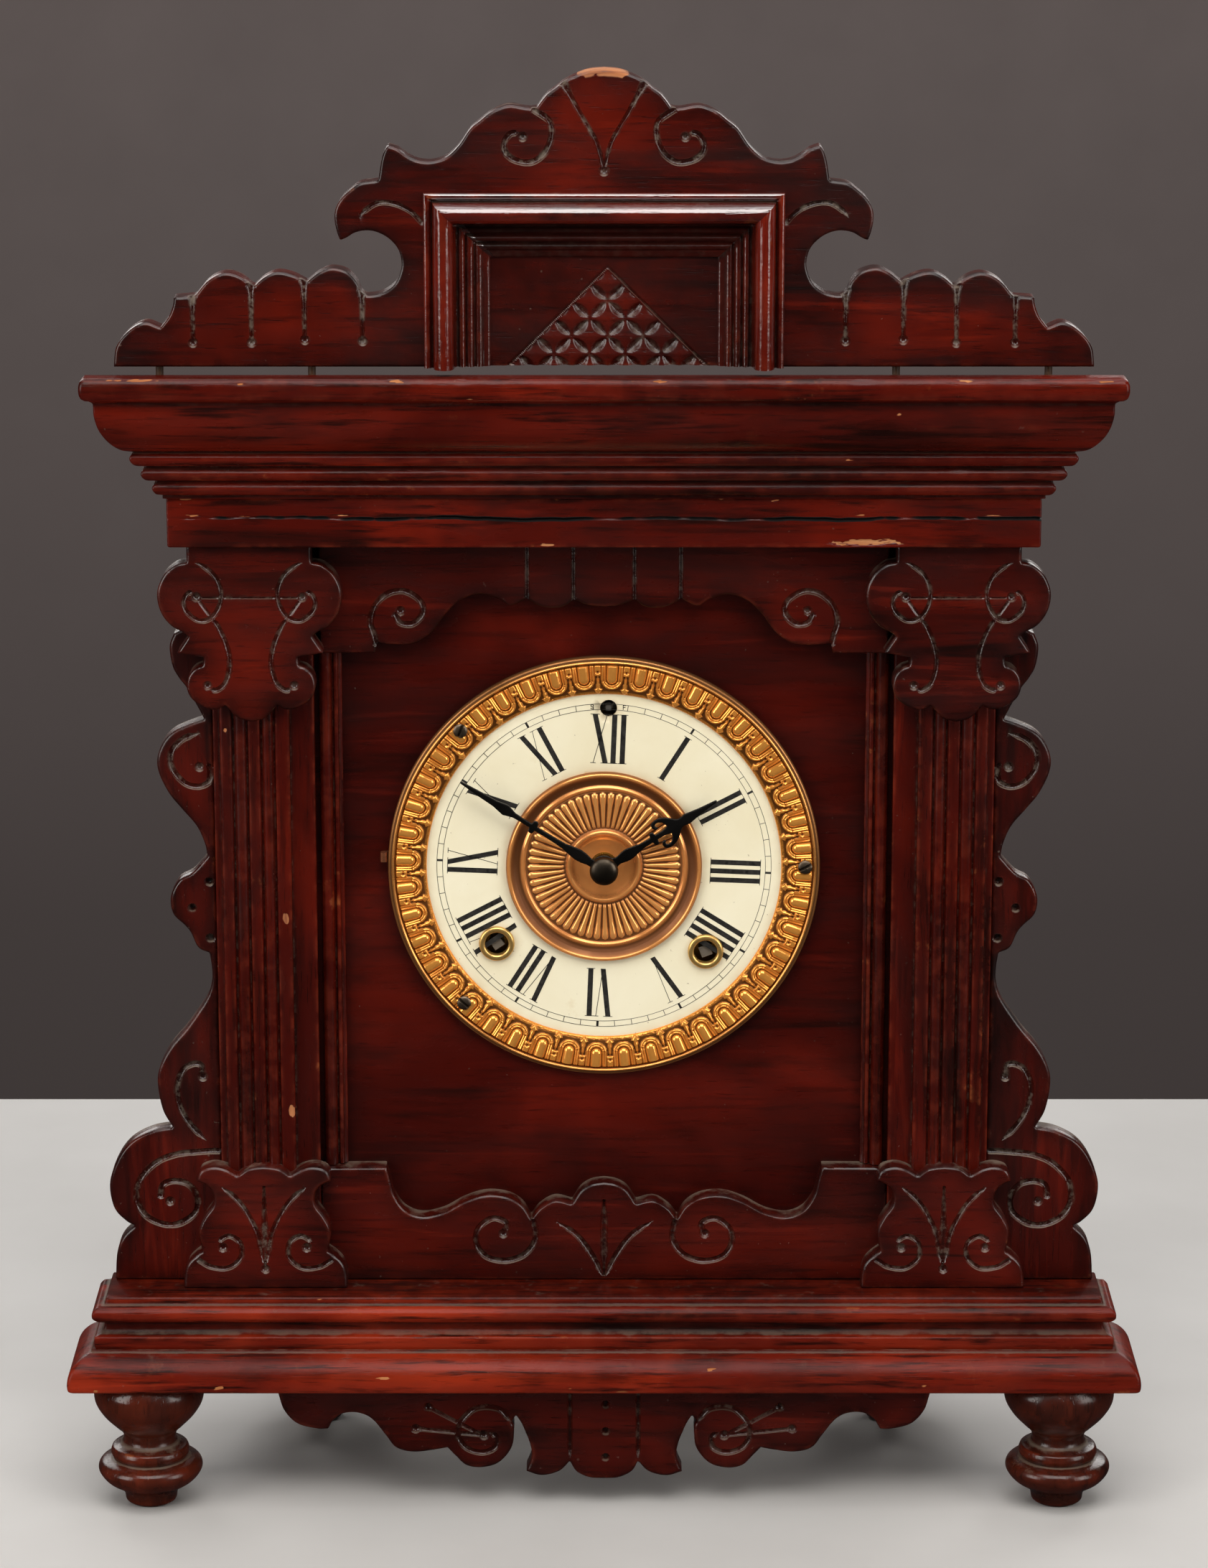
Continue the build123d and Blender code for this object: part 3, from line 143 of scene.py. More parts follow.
FOOT = [
    [(0, 0), (8, 0)],
    [(8, 0), (9.6, 1.2), (10.2, 4.0), (12.2, 6.4), (17, 9.6), (19.7, 13.6), (18.6, 16.8), (14.4, 18.2)],
    [(14.4, 18.2), (14.0, 18.5), (14.4, 18.9)],
    [(14.4, 18.9), (14.9, 20.6), (14.4, 22.4)],
    [(14.4, 22.4), (13.9, 22.8), (12.6, 23.2), (10.6, 24.4), (9.9, 26.6), (10.8, 29), (13.2, 31.3), (17.6, 36), (20.4, 41), (20.6, 46), (18.4, 50.8)],
]
MINUTE_HAND = [(1.75, 4.25), (1.45, 5.6), (1.45, 6.6), (2.0, 9.0), (2.2, 11.5), (1.75, 14.5), (1.15, 17.5), (0.92, 21), (0.85, 26), (0.85, 30.0), (2.3, 30.3), (2.6, 31.2), (2.3, 32.1), (0.85, 32.4), (0.85, 36), (0.95, 39.5), (1.6, 41.6), (2.15, 43.4), (1.75, 45.6), (1.25, 48.0), (0.95, 55.0), (0.40, 63.0)]
HOUR_HAND = [(1.9, 4.84), (1.5, 6.0), (1.55, 6.8), (2.1, 9.0), (2.25, 11.0), (1.75, 13.6), (1.1, 16.6), (0.95, 20.9), (2.3, 21.2), (2.7, 22.0), (2.3, 22.8), (0.95, 23.1), (0.95, 26.2), (1.5, 28.6), (2.6, 28.5), (3.7, 27.8), (4.5, 26.6), (4.6, 25.5), (4.1, 24.8), (3.4, 24.9), (3.0, 25.5), (2.4, 25.1), (2.6, 24.2), (3.5, 23.5), (4.7, 23.5), (5.6, 24.3), (6.0, 25.8), (5.8, 27.6), (5.0, 29.4), (3.8, 31.0), (2.5, 32.3), (1.8, 33.3), (1.7, 34.4), (2.1, 36.4), (1.7, 38.6), (1.15, 42.0), (0.40, 49.2)]


# ------------------------------------------------------------------ curves
def catmull(points, step):
    p = np.array(points, float)
    p = np.vstack([2 * p[0] - p[1], p, 2 * p[-1] - p[-2]])
    out = []
    for i in range(1, len(p) - 2):
        a, b, c, d = p[i - 1], p[i], p[i + 1], p[i + 2]
        n = max(2, int(math.ceil(np.linalg.norm(c - b) / step)))
        t = np.linspace(0, 1, n, endpoint=False)[:, None]
        out.append(0.5 * (2 * b + (c - a) * t + (2 * a - 5 * b + 4 * c - d) * t ** 2 + (3 * b - a - 3 * c + d) * t ** 3))
    out.append(p[-2][None])
    return np.vstack(out)


def run(segments, step):
    """One dense polyline from straight and curved runs."""
    rows = []
    for s in segments:
        if len(s) == 2:
            a, b = np.array(s[0], float), np.array(s[1], float)
            n = max(1, int(math.ceil(np.linalg.norm(b - a) / step)))
            q = a + (b - a) * np.linspace(0, 1, n + 1)[:, None]
        else:
            q = catmull(s, step)
        rows.append(q if not rows else q[1:])
    return np.vstack(rows)


def mirrored(segments):
    return [[(-x, z) for x, z in reversed(s)] for s in reversed(segments)]


def moved(segments, dx):
    return [[(x + dx, z) for x, z in s] for s in segments]


def resample(poly, step):
    d = np.r_[0, np.cumsum(np.linalg.norm(np.diff(poly, axis=0), axis=1))]
    n = max(2, int(round(d[-1] / step)) + 1)
    t = np.linspace(0, d[-1], n)
    return np.c_[np.interp(t, d, poly[:, 0]), np.interp(t, d, poly[:, 1])]


def wobble(x, seed, octaves=3):
    """Smooth repeatable noise of one variable, about -1 to 1."""
    x = np.asarray(x, float)
    total, amp, f = np.zeros_like(x), 1.0, 1.0
    for o in range(octaves):
        k = np.floor(x * f)
        t = x * f - k
        t = t * t * (3 - 2 * t)

        def h(v):
            q = np.sin(v * 127.1 + seed * 311.7 + o * 74.7) * 43758.5453
            return 2 * (q - np.floor(q)) - 1

        total += amp * (h(k) * (1 - t) + h(k + 1) * t)
        amp *= 0.5
        f *= 2.1
    return total / 1.75


# ------------------------------------------------------------------ mesh output
def piece(name, verts, faces, material, body, replaces=None, angle=38, attrs=None):
    v = np.array(verts, float)
    v = np.c_[v[:, 0], v[:, 1] + Y_SHIFT, v[:, 2]] * MM
    me = bpy.data.meshes.new(name)
    me.from_pydata(v.tolist(), [], faces)
    me.validate()
    me.update()
    for key, values in (attrs or {}).items():
        a = me.attributes.new(key, "FLOAT", "POINT")
        a.data.foreach_set("value", np.asarray(values, np.float32))
    me.polygons.foreach_set("use_smooth", [True] * len(me.polygons))
    me.set_sharp_from_angle(angle=math.radians(angle))
    me.materials.append(material)
    ob = bpy.data.objects.new(name, me)
    bpy.context.scene.collection.objects.link(ob)
    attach(ob, body)
    if replaces:
        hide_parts(*([replaces] if isinstance(replaces, str) else replaces))
    return ob


class Shape:
    """Vertices, faces and per-vertex values gathered for one piece."""

    def __init__(self):
        self.v, self.f, self.a = [], [], {"cav": [], "edge": [], "bare": [], "shade": []}

    def add(self, verts, faces, cav=None, edge=None, bare=None, shade=None, flip=False):
        o = len(self.v)
        n = len(verts)
        self.v.extend([tuple(map(float, p)) for p in verts])
        for f in faces:
            g = tuple(int(i) + o for i in f)
            self.f.append(g[::-1] if flip else g)
        for key, val in (("cav", cav), ("edge", edge), ("bare", bare), ("shade", shade)):
            self.a[key].extend([0.0] * n if val is None else [float(x) for x in val])

    def add_shape(self, other, place=lambda x, y, z: (x, y, z)):
        o = len(self.v)
        self.v.extend([place(*q) for q in other.v])
        self.f.extend([tuple(i + o for i in f) for f in other.f])
        for key in self.a:
            self.a[key].extend(other.a[key])

    def add_mirror(self, other):
        o = len(self.v)
        self.v.extend([(-x, y, z) for x, y, z in other.v])
        self.f.extend([tuple(i + o for i in f[::-1]) for f in other.f])
        for key in self.a:
            self.a[key].extend(other.a[key])

    def out(self, name, material, body, replaces=None, slot=None, angle=38):
        return piece(name, self.v, self.f, material, body, replaces, angle, self.a)


# ------------------------------------------------------------------ carved boards
def thin(points, keep_first, gap):
    """Drops points closer than the gap to one already kept."""
    grid, out = {}, []
    for k, (x, y) in enumerate(points):
        i, j = int(math.floor(x / gap)), int(math.floor(y / gap))
        ok = True
        if k >= keep_first:
            for a in (i - 1, i, i + 1):
                for b in (j - 1, j, j + 1):
                    for qx, qy in grid.get((a, b), ()):
                        if (qx - x) ** 2 + (qy - y) ** 2 < gap * gap:
                            ok = False
                            break
                    if not ok:
                        break
                if not ok:
                    break
        if ok:
            out.append((x, y))
            grid.setdefault((i, j), []).append((x, y))
    return out


def inside_poly(pts, poly):
    x, y = pts[:, 0], pts[:, 1]
    res = np.zeros(len(pts), bool)
    x0, y0 = poly[:, 0], poly[:, 1]
    x1, y1 = np.roll(x0, -1), np.roll(y0, -1)
    for a, b, c, d in zip(x0, y0, x1, y1):
        if b == d:
            continue
        m = (b > y) != (d > y)
        res ^= m & (x < (c - a) * (y - b) / (d - b) + a)
    return res


def nearest(samples, pts):
    tree = KDTree(len(samples))
    for i, (x, z) in enumerate(samples):
        tree.insert((x, z, 0), i)
    tree.balance()
    d = np.empty(len(pts))
    k = np.empty(len(pts), int)
    for i, (x, z) in enumerate(pts):
        _, idx, dist = tree.find((x, z, 0))
        d[i], k[i] = dist, idx
    return d, k


def groove(points, half=1.2, depth=1.1, taper=(0.0, 0.0), curve=True, wide=None):
    """A gouged line: half width and depth, tapering over the given lengths at its ends."""
    p = catmull(points, 0.5) if curve and len(points) > 2 else run([[points[i], points[i + 1]] for i in range(len(points) - 1)], 0.5)
    p = resample(p, 0.5)
    s = np.arange(len(p)) * 0.5
    L = s[-1]
    f = np.ones(len(p))
    if taper[0]:
        f = np.minimum(f, 0.15 + 0.85 * np.clip(s / taper[0], 0, 1))
    if taper[1]:
        f = np.minimum(f, 0.15 + 0.85 * np.clip((L - s) / taper[1], 0, 1))
    w = half * f
    if wide is not None:
        w = np.interp(s / L, *wide)
    w = w * (1 + 0.07 * wobble(s * 0.35, len(p)))
    return {"p": p, "w": w, "d": depth * np.clip(f, 0.3, 1)}


def carved(outline, y_front, y_back, grooves=(), dots=(), rim=1.2, grid=2.6, step=0.8, holes=(), extra=None, extra_pts=None, seed=1, edge_rub_and_sheen=1.0, ledge=1.0, edge_shade=(0.85, 4.5)):
    """Closed board with a rounded front edge, gouged lines, dots and bored holes."""
    O = resample(np.vstack([outline, outline[:1]]), step)[:-1]
    area = 0.5 * np.sum(O[:, 0] * np.roll(O[:, 1], -1) - np.roll(O[:, 0], -1) * O[:, 1])
    if area < 0:
        O = O[::-1]
    nxt, prv = np.roll(O, -1, 0), np.roll(O, 1, 0)
    t = nxt - prv
    t /= np.linalg.norm(t, axis=1)[:, None] + 1e-9
    inward = np.c_[-t[:, 1], t[:, 0]]
    dense = resample(np.vstack([O, O[:1]]), 0.2)
    loops = [O]
    for cx, cz, r in holes:
        n = max(20, int(2 * math.pi * r / step))
        a = np.linspace(0, 2 * math.pi, n, endpoint=False)
        loops.append(np.c_[cx + r * np.cos(a), cz + r * np.sin(a)])
    cand = []
    for e in (0.14 * rim, 0.38 * rim, 0.72 * rim, 1.06 * rim, 1.6 * rim):
        q = O + inward * e
        d, _ = nearest(dense, q)
        cand.append(q[(d > 0.88 * e)])
    for g in grooves:
        p, w = g["p"], g["w"]
        tt = np.gradient(p, axis=0)
        tt /= np.linalg.norm(tt, axis=1)[:, None] + 1e-9
        nn = np.c_[-tt[:, 1], tt[:, 0]]
        for k in (0, 0.4, -0.4, 0.75, -0.75, 1.02, -1.02, 1.3, -1.3):
            cand.append(p + nn * (k * w)[:, None])
        for end, sgn in ((0, -1), (-1, 1)):
            for k in (0.5, 0.9, 1.2):
                a = np.linspace(-1.2, 1.2, 5)
                base = sgn * tt[end]
                cand.append(np.array([p[end] + k * w[end] * (base * math.cos(b) + nn[end] * math.sin(b)) for b in a]))
    for x, z, r, dep in dots:
        for k in (0, 0.4, 0.72, 0.94, 1.06, 1.3):
            n = 1 if k == 0 else 14
            a = np.linspace(0, 2 * math.pi, n, endpoint=False)
            cand.append(np.c_[x + k * r * np.cos(a), z + k * r * np.sin(a)])
    if extra_pts is not None:
        cand.append(np.array(extra_pts, float))
    lo, hi = O.min(0), O.max(0)
    gx, gz = np.meshgrid(np.arange(lo[0] + grid / 2, hi[0], grid), np.arange(lo[1] + grid / 2, hi[1], grid * 0.87))
    gx = gx + (np.arange(gx.shape[0]) % 2)[:, None] * grid / 2
    coarse = np.c_[gx.ravel(), gz.ravel()]
    fine = np.vstack(cand)
    fine = fine[inside_poly(fine, O)]
    d, _ = nearest(dense, fine)
    fine = fine[d > 0.1 * rim]
    coarse = coarse[inside_poly(coarse, O)]
    d, _ = nearest(dense, coarse)
    coarse = coarse[d > 1.9 * rim]
    if len(fine) and len(coarse):
        d, _ = nearest(fine, coarse)
        coarse = coarse[d > 0.42 * grid]
    first = sum(len(l) for l in loops)
    pts = thin([tuple(p) for l in loops for p in l] + [tuple(p) for p in fine], first, 0.17) + [tuple(p) for p in coarse]
    edges, o = [], 0
    for l in loops:
        n = len(l)
        edges += [(o + i, o + (i + 1) % n) for i in range(n)]
        o += n
    vs, _, fs, ov, _, _ = delaunay_2d_cdt([Vector(p) for p in pts], edges, [], 1, 1e-5, True)
    P = np.array([tuple(v) for v in vs], float)
    back_of = {}
    for i, src in enumerate(ov):
        for s in src:
            back_of[s] = i
    F = [tuple(f) for f in fs]
    if F:
        C = np.array([P[list(f)].mean(0) for f in F])
        keep = inside_poly(C, O)
        for cx, cz, r in holes:
            keep &= (C[:, 0] - cx) ** 2 + (C[:, 1] - cz) ** 2 > (0.98 * r) ** 2
        F = [f for f, k in zip(F, keep) if k]
    e, _ = nearest(dense, P)
    drop = np.where(e < rim, rim - np.sqrt(np.maximum(0, rim ** 2 - (rim - e) ** 2)), 0.0)
    cut = np.zeros(len(P))
    fill = np.zeros(len(P))
    for g in grooves:
        p, w, dd = g["p"], g["w"], g["d"]
        big = w.max() * 1.6
        m = np.where((P[:, 0] > p[:, 0].min() - big) & (P[:, 0] < p[:, 0].max() + big) & (P[:, 1] > p[:, 1].min() - big) & (P[:, 1] < p[:, 1].max() + big))[0]
        if not len(m):
            continue
        sub = P[m]
        q = resample(p, 0.12)
        wi = np.interp(np.linspace(0, 1, len(q)), np.linspace(0, 1, len(w)), w)
        di = np.interp(np.linspace(0, 1, len(q)), np.linspace(0, 1, len(dd)), dd)
        d, k = nearest(q, sub)
        u = d / wi[k]
        h = di[k] * np.clip(1 - u ** 2.4, 0, 1)
        cut[m] = np.maximum(cut[m], h)
        fill[m] = np.maximum(fill[m], np.clip(1.25 - u, 0, 1))
    for x, z, r, dep in dots:
        u = np.hypot(P[:, 0] - x, P[:, 1] - z) / r
        cut = np.maximum(cut, dep * np.clip(1 - u ** 3, 0, 1))
        fill = np.maximum(fill, np.clip(1.2 - u, 0, 1))
    depth = np.maximum(drop, cut)
    if extra is not None:
        x_cut, x_fill = extra(P)
        depth = np.maximum(depth, x_cut)
        fill = np.maximum(fill, x_fill)
    depth = depth + 0.06 * wobble(P[:, 0] * 0.05 + P[:, 1] * 0.021, seed) * np.clip(e / 3, 0, 1)
    used = sorted({i for f in F for i in f})
    remap = {i: k for k, i in enumerate(used)}
    sh = Shape()
    n0 = len(used)
    # Edge band along the rounded front edge, drawn lighter in the wood: rubbed varnish with a painted sheen.
    edge = np.clip(1 - np.abs(e - 0.45 * rim) / (0.9 * rim), 0, 1) * edge_rub_and_sheen
    verts = [(P[i, 0], y_front + depth[i], P[i, 1]) for i in used]
    faces = []
    for f in F:
        a, b, c = (P[i] for i in f)
        ccw = (b[0] - a[0]) * (c[1] - a[1]) - (b[1] - a[1]) * (c[0] - a[0]) > 0
        g = tuple(remap[i] for i in f)
        faces.append(g if ccw else g[::-1])
    cav = list(fill[used])
    edg = list(edge[used])
    o = 0
    loop_ids = []
    for l in loops:
        ids = [remap[back_of[o + i]] for i in range(len(l))]
        loop_ids.append((l, ids))
        o += len(l)
    back_ids = []
    for li, (l, ids) in enumerate(loop_ids):
        depth_rows = [y_front + rim + (y_back - y_front - rim) * s for s in (0.5,)] if li == 0 else []
        prev = ids
        for yy in depth_rows + [y_back]:
            row = list(range(len(verts), len(verts) + len(l)))
            verts += [(p[0], yy, p[1]) for p in l]
            # Side walls get cav values, higher at the back where the board meets the one behind: dust, residue and
            # painted shade there.
            cav += [ledge * (0.35 if yy == y_back else 0.12)] * len(l)
            edg += [0.0] * len(l)
            n = len(l)
            for i in range(n):
                q = (prev[i], row[i], row[(i + 1) % n], prev[(i + 1) % n])
                faces.append(q if li == 0 else q[::-1])
            prev = row
        back_ids.append(prev)
    if not holes:
        b_pts = [Vector(p) for p in O]
        b_edges = [(i, (i + 1) % len(O)) for i in range(len(O))]
    else:
        b_pts = [Vector(p) for l in loops for p in l]
        b_edges = edges
    bv, _, bf, bo, _, _ = delaunay_2d_cdt(b_pts, b_edges, [], 1, 1e-5, True)
    flat_ids = [i for row in back_ids for i in row]
    Q = [tuple(v) for v in bv]
    src = [s[0] for s in bo]
    C = np.array([[sum(Q[i][0] for i in f) / 3, sum(Q[i][1] for i in f) / 3] for f in bf])
    keep = inside_poly(C, O)
    for hx, hz, r in holes:
        keep &= (C[:, 0] - hx) ** 2 + (C[:, 1] - hz) ** 2 > (0.98 * r) ** 2
    for f, k in zip(bf, keep):
        if not k:
            continue
        a, b, c = (Q[i] for i in f)
        ccw = (b[0] - a[0]) * (c[1] - a[1]) - (b[1] - a[1]) * (c[0] - a[0]) > 0
        g = tuple(flat_ids[src[i]] for i in f)
        faces.append(g[::-1] if ccw else g)
    # Painted shade: darker towards the board's outline; side and back vertices get 0.45.
    painted_shade_vals = edge_shade[0] * np.exp(-e[used] / edge_shade[1])
    sh.add(verts, faces, cav=cav, edge=edg, shade=list(painted_shade_vals) + [0.45] * (len(verts) - n0))
    return sh


# ------------------------------------------------------------------ mouldings
def section(profile, step):
    """Dense profile with hollow and edge values along it."""
    p = resample(run(profile, step * 0.4), step)
    n = max(2, int(1.1 / step))
    k = np.exp(-0.5 * (np.arange(-3 * n, 3 * n + 1) / n) ** 2)
    k /= k.sum()
    pad = np.vstack([np.repeat(p[:1], 3 * n, 0), p, np.repeat(p[-1:], 3 * n, 0)])
    s = np.c_[np.convolve(pad[:, 0], k, "valid"), np.convolve(pad[:, 1], k, "valid")]
    t = np.gradient(p, axis=0)
    t /= np.linalg.norm(t, axis=1)[:, None] + 1e-9
    out = np.c_[t[:, 1], -t[:, 0]]       # to the right of travel
    c = np.sum((s - p) * out, axis=1)
    return p, out, np.clip(c / 0.35, 0, 1), np.clip(-c / 0.3, 0, 1)


def sunk(p, out, step, reach):
    """How deep each point of a section lies under the section smoothed over the reach."""
    n = max(2, int(reach / step))
    k = np.exp(-0.5 * (np.arange(-3 * n, 3 * n + 1) / n) ** 2)
    k /= k.sum()
    pad = np.vstack([np.repeat(p[:1], 3 * n, 0), p, np.repeat(p[-1:], 3 * n, 0)])
    s = np.c_[np.convolve(pad[:, 0], k, "valid"), np.convolve(pad[:, 1], k, "valid")]
    return np.sum((s - p) * out, axis=1)


def moulding(profile, ref_x, ref_y, y_back, corner=0.9, step=0.4, pitch=1.7, seed=1, wear=0.12, nicks=8, crack=None, nick_bare=0.35, chips=(), recess_shade=0.8, ledge=0.0):
    """Solid strip with mitred returns at both ends."""
    p, out, cav, edge = section(profile, step)
    rng = np.random.default_rng(seed)
    span = 2 * ref_x
    n_front = int(span / pitch)
    n_side = max(3, int((y_back - ref_y) / pitch))
    arc = np.linspace(0, math.pi / 2, 5)
    cols = []
    for i in range(n_side):
        cols.append(("L", i / n_side))
    for a in arc:
        cols.append(("CL", a))
    for i in range(1, n_front):
        cols.append(("F", i / n_front))
    for a in arc:
        cols.append(("CR", a))
    for i in range(1, n_side + 1):
        cols.append(("R", i / n_side))
    m, n = len(cols), len(p)
    X = np.zeros((m, n))
    Y = np.zeros((m, n))
    S = np.zeros(m)
    nx, ny = np.zeros(m), np.zeros(m)
    side = y_back - ref_y
    r = corner
    for c, (kind, u) in enumerate(cols):
        a = p[:, 0]
        hx, fy = ref_x + a, ref_y - a
        if kind == "L":
            X[c], Y[c] = -hx, y_back + (fy + r - y_back) * u
            S[c], nx[c] = side * u, -1
        elif kind == "CL":
            X[c], Y[c] = -hx + r - r * math.cos(u), fy + r - r * math.sin(u)
            S[c], nx[c], ny[c] = side + u, -math.cos(u), -math.sin(u)
        elif kind == "F":
            X[c], Y[c] = (-hx + r) + 2 * (hx - r) * u, fy
            S[c], ny[c] = side + 2 + span * u, -1
        elif kind == "CR":
            X[c], Y[c] = hx - r + r * math.sin(u), fy + r - r * math.cos(u)
            S[c], nx[c], ny[c] = side + span + 4 + u, math.sin(u), -math.cos(u)
        else:
            X[c], Y[c] = hx, fy + r + (y_back - fy - r) * u
            S[c], nx[c] = side + span + 6 + side * u, 1
    Z = np.repeat(p[None, :, 1], m, 0)
    rows = np.arange(n)
    inset = wear * edge[None, :] * (0.5 + 0.5 * wobble(S[:, None] * 0.11 + rows[None, :] * 0.013, seed))
    inset = inset + 0.05 * wobble(S[:, None] * 0.03 + rows[None, :] * 0.002, seed + 3)
    bare = np.zeros((m, n))
    convex = np.where(edge > 0.35)[0]
    arcpos = np.r_[0, np.cumsum(np.linalg.norm(np.diff(p, axis=0), axis=1))]
    for _ in range(nicks if len(convex) else 0):
        s0, k0 = rng.uniform(0, S[-1]), int(rng.choice(convex))
        rs, rk, dep = rng.uniform(1.0, 2.8), rng.uniform(0.4, 0.9), rng.uniform(0.10, 0.3)
        q = np.exp(-((S[:, None] - s0) / rs) ** 2 - ((arcpos[None, :] - arcpos[k0]) / rk) ** 2)
        inset = inset + dep * q
        if rng.uniform() < nick_bare:
            bare = np.maximum(bare, q * rng.uniform(0.4, 1.0))
    ragged = wobble(S[:, None] * 0.9 + rows[None, :] * 0.37, seed + 20) + 0.6 * wobble(S[:, None] * 0.31 - rows[None, :] * 0.21, seed + 21)
    for x0, z0, hx, hz, dep in chips:
        u = ((X - x0) / hx) ** 2 + ((Z - z0) / hz) ** 2
        q = np.clip(1.5 * (0.85 - u + 0.8 * ragged), 0, 1) * (ny[:, None] < -0.5) * (u < 1.5)
        inset = inset + dep * q
        bare = np.maximum(bare, 0.72 * q)
    if crack is not None:
        z0, half, dep = crack
        zc = z0 + 0.7 * wobble(S * 0.04, seed + 8) + 0.30 * wobble(S * 0.22, seed + 18)
        amount = dep * np.clip(0.55 + 1.0 * wobble(S * 0.06, seed + 9) + 0.5 * wobble(S * 0.25, seed + 19), 0.06, 1.2)
        inset = inset + amount[:, None] * np.clip(1 - np.abs(Z - zc[:, None]) / half, 0, 1)
        cav_c = np.zeros((m, n))
        # Bare below zero marks the crack, which the wood material paints near black: painted shade.
        bare = bare - 1.6 * np.clip(1.6 - np.abs(Z - zc[:, None]) / (1.3 * half), 0, 1) * np.clip(amount / dep, 0, 1)[:, None]
    else:
        cav_c = np.zeros((m, n))
    inset[0], inset[-1] = inset[1], inset[-2]
    ox, oz = out[:, 0], out[:, 1]
    X = X - inset * nx[:, None] * ox[None, :]
    Y = Y - inset * ny[:, None] * ox[None, :]
    Z = Z - inset * oz[None, :]
    Z[:, 0], Z[:, -1] = p[0, 1], p[-1, 1]
    Y[0, :], Y[-1, :] = y_back, y_back
    ids = np.arange(m * n).reshape(m, n)
    faces = []
    for c in range(m - 1):
        for k in range(n - 1):
            faces.append((ids[c, k], ids[c + 1, k], ids[c + 1, k + 1], ids[c, k + 1]))
    verts = np.c_[X.ravel(), Y.ravel(), Z.ravel()].tolist()
    faces.append([int(i) for i in ids[:, -1]])
    faces.append([int(i) for i in ids[::-1, 0]])
    faces.append([int(i) for i in ids[0, ::-1]][::-1] + [int(i) for i in ids[-1, ::-1]])
    faces[-1] = faces[-1][::-1]
    sh = Shape()
    cv = np.maximum(np.repeat(cav[None], m, 0), cav_c)
    # Painted shade: the section's deep hollows darker; with ledge, the top rows too, where the ledge runs in under the
    # facade.
    painted_shade_vals = np.repeat((recess_shade * np.clip(sunk(p, out, step, 2.6) / 0.8, 0, 1))[None], m, 0)
    painted_shade_vals[:, -3:] = np.maximum(painted_shade_vals[:, -3:], ledge)
    sh.add(verts, faces, cav=cv.ravel(), edge=np.repeat(edge[None], m, 0).ravel(), bare=bare.ravel(), shade=painted_shade_vals.ravel())
    return sh


def lathe_z(profile, cx, cy, scale=1.0, seg=96, step=0.45):
    p, out, cav, edge = section([[(r * scale, z) for r, z in s] for s in profile], step)
    p = p[p[:, 0] > 0.3] if p[0, 0] < 0.3 else p
    k0 = len(cav) - len(p)
    cav, edge = cav[k0:], edge[k0:]
    a = np.linspace(0, 2 * math.pi, seg, endpoint=False)
    n = len(p)
    verts, faces = [], []
    for t in a:
        for r, z in p:
            verts.append((cx + r * math.sin(t), cy - r * math.cos(t), z))
    for i in range(seg):
        j = (i + 1) % seg
        for k in range(n - 1):
            faces.append((i * n + k, j * n + k, j * n + k + 1, i * n + k + 1))
    faces.append([i * n for i in range(seg)][::-1])
    faces.append([i * n + n - 1 for i in range(seg)])
    sh = Shape()
    sh.add(verts, faces, cav=np.tile(cav, seg), edge=np.tile(edge, seg))
    return sh


def lathe_y(points, cx=0.0, cz=0.0, seg=160, closed=True, height=None):
    """Ring or disc about the depth axis from (radius, depth) points."""
    p = np.array(points, float)
    n = len(p)
    a = np.linspace(0, 2 * math.pi, seg, endpoint=False)
    verts, faces = [], []
    for t in a:
        for r, y in p:
            verts.append((cx + r * math.sin(t), y, DIAL_Z + cz + r * math.cos(t)))
    for i in range(seg):
        j = (i + 1) % seg
        for k in range(n if closed else n - 1):
            l = (k + 1) % n
            faces.append((i * n + k, i * n + l, j * n + l, j * n + k))
    return verts, faces


def dial_point(r, t, y):
    """Point at radius r and clockwise angle t from the twelve, in the turned dial."""
    t = t + DIAL_TURN
    return (r * math.sin(t), y, DIAL_Z + r * math.cos(t))


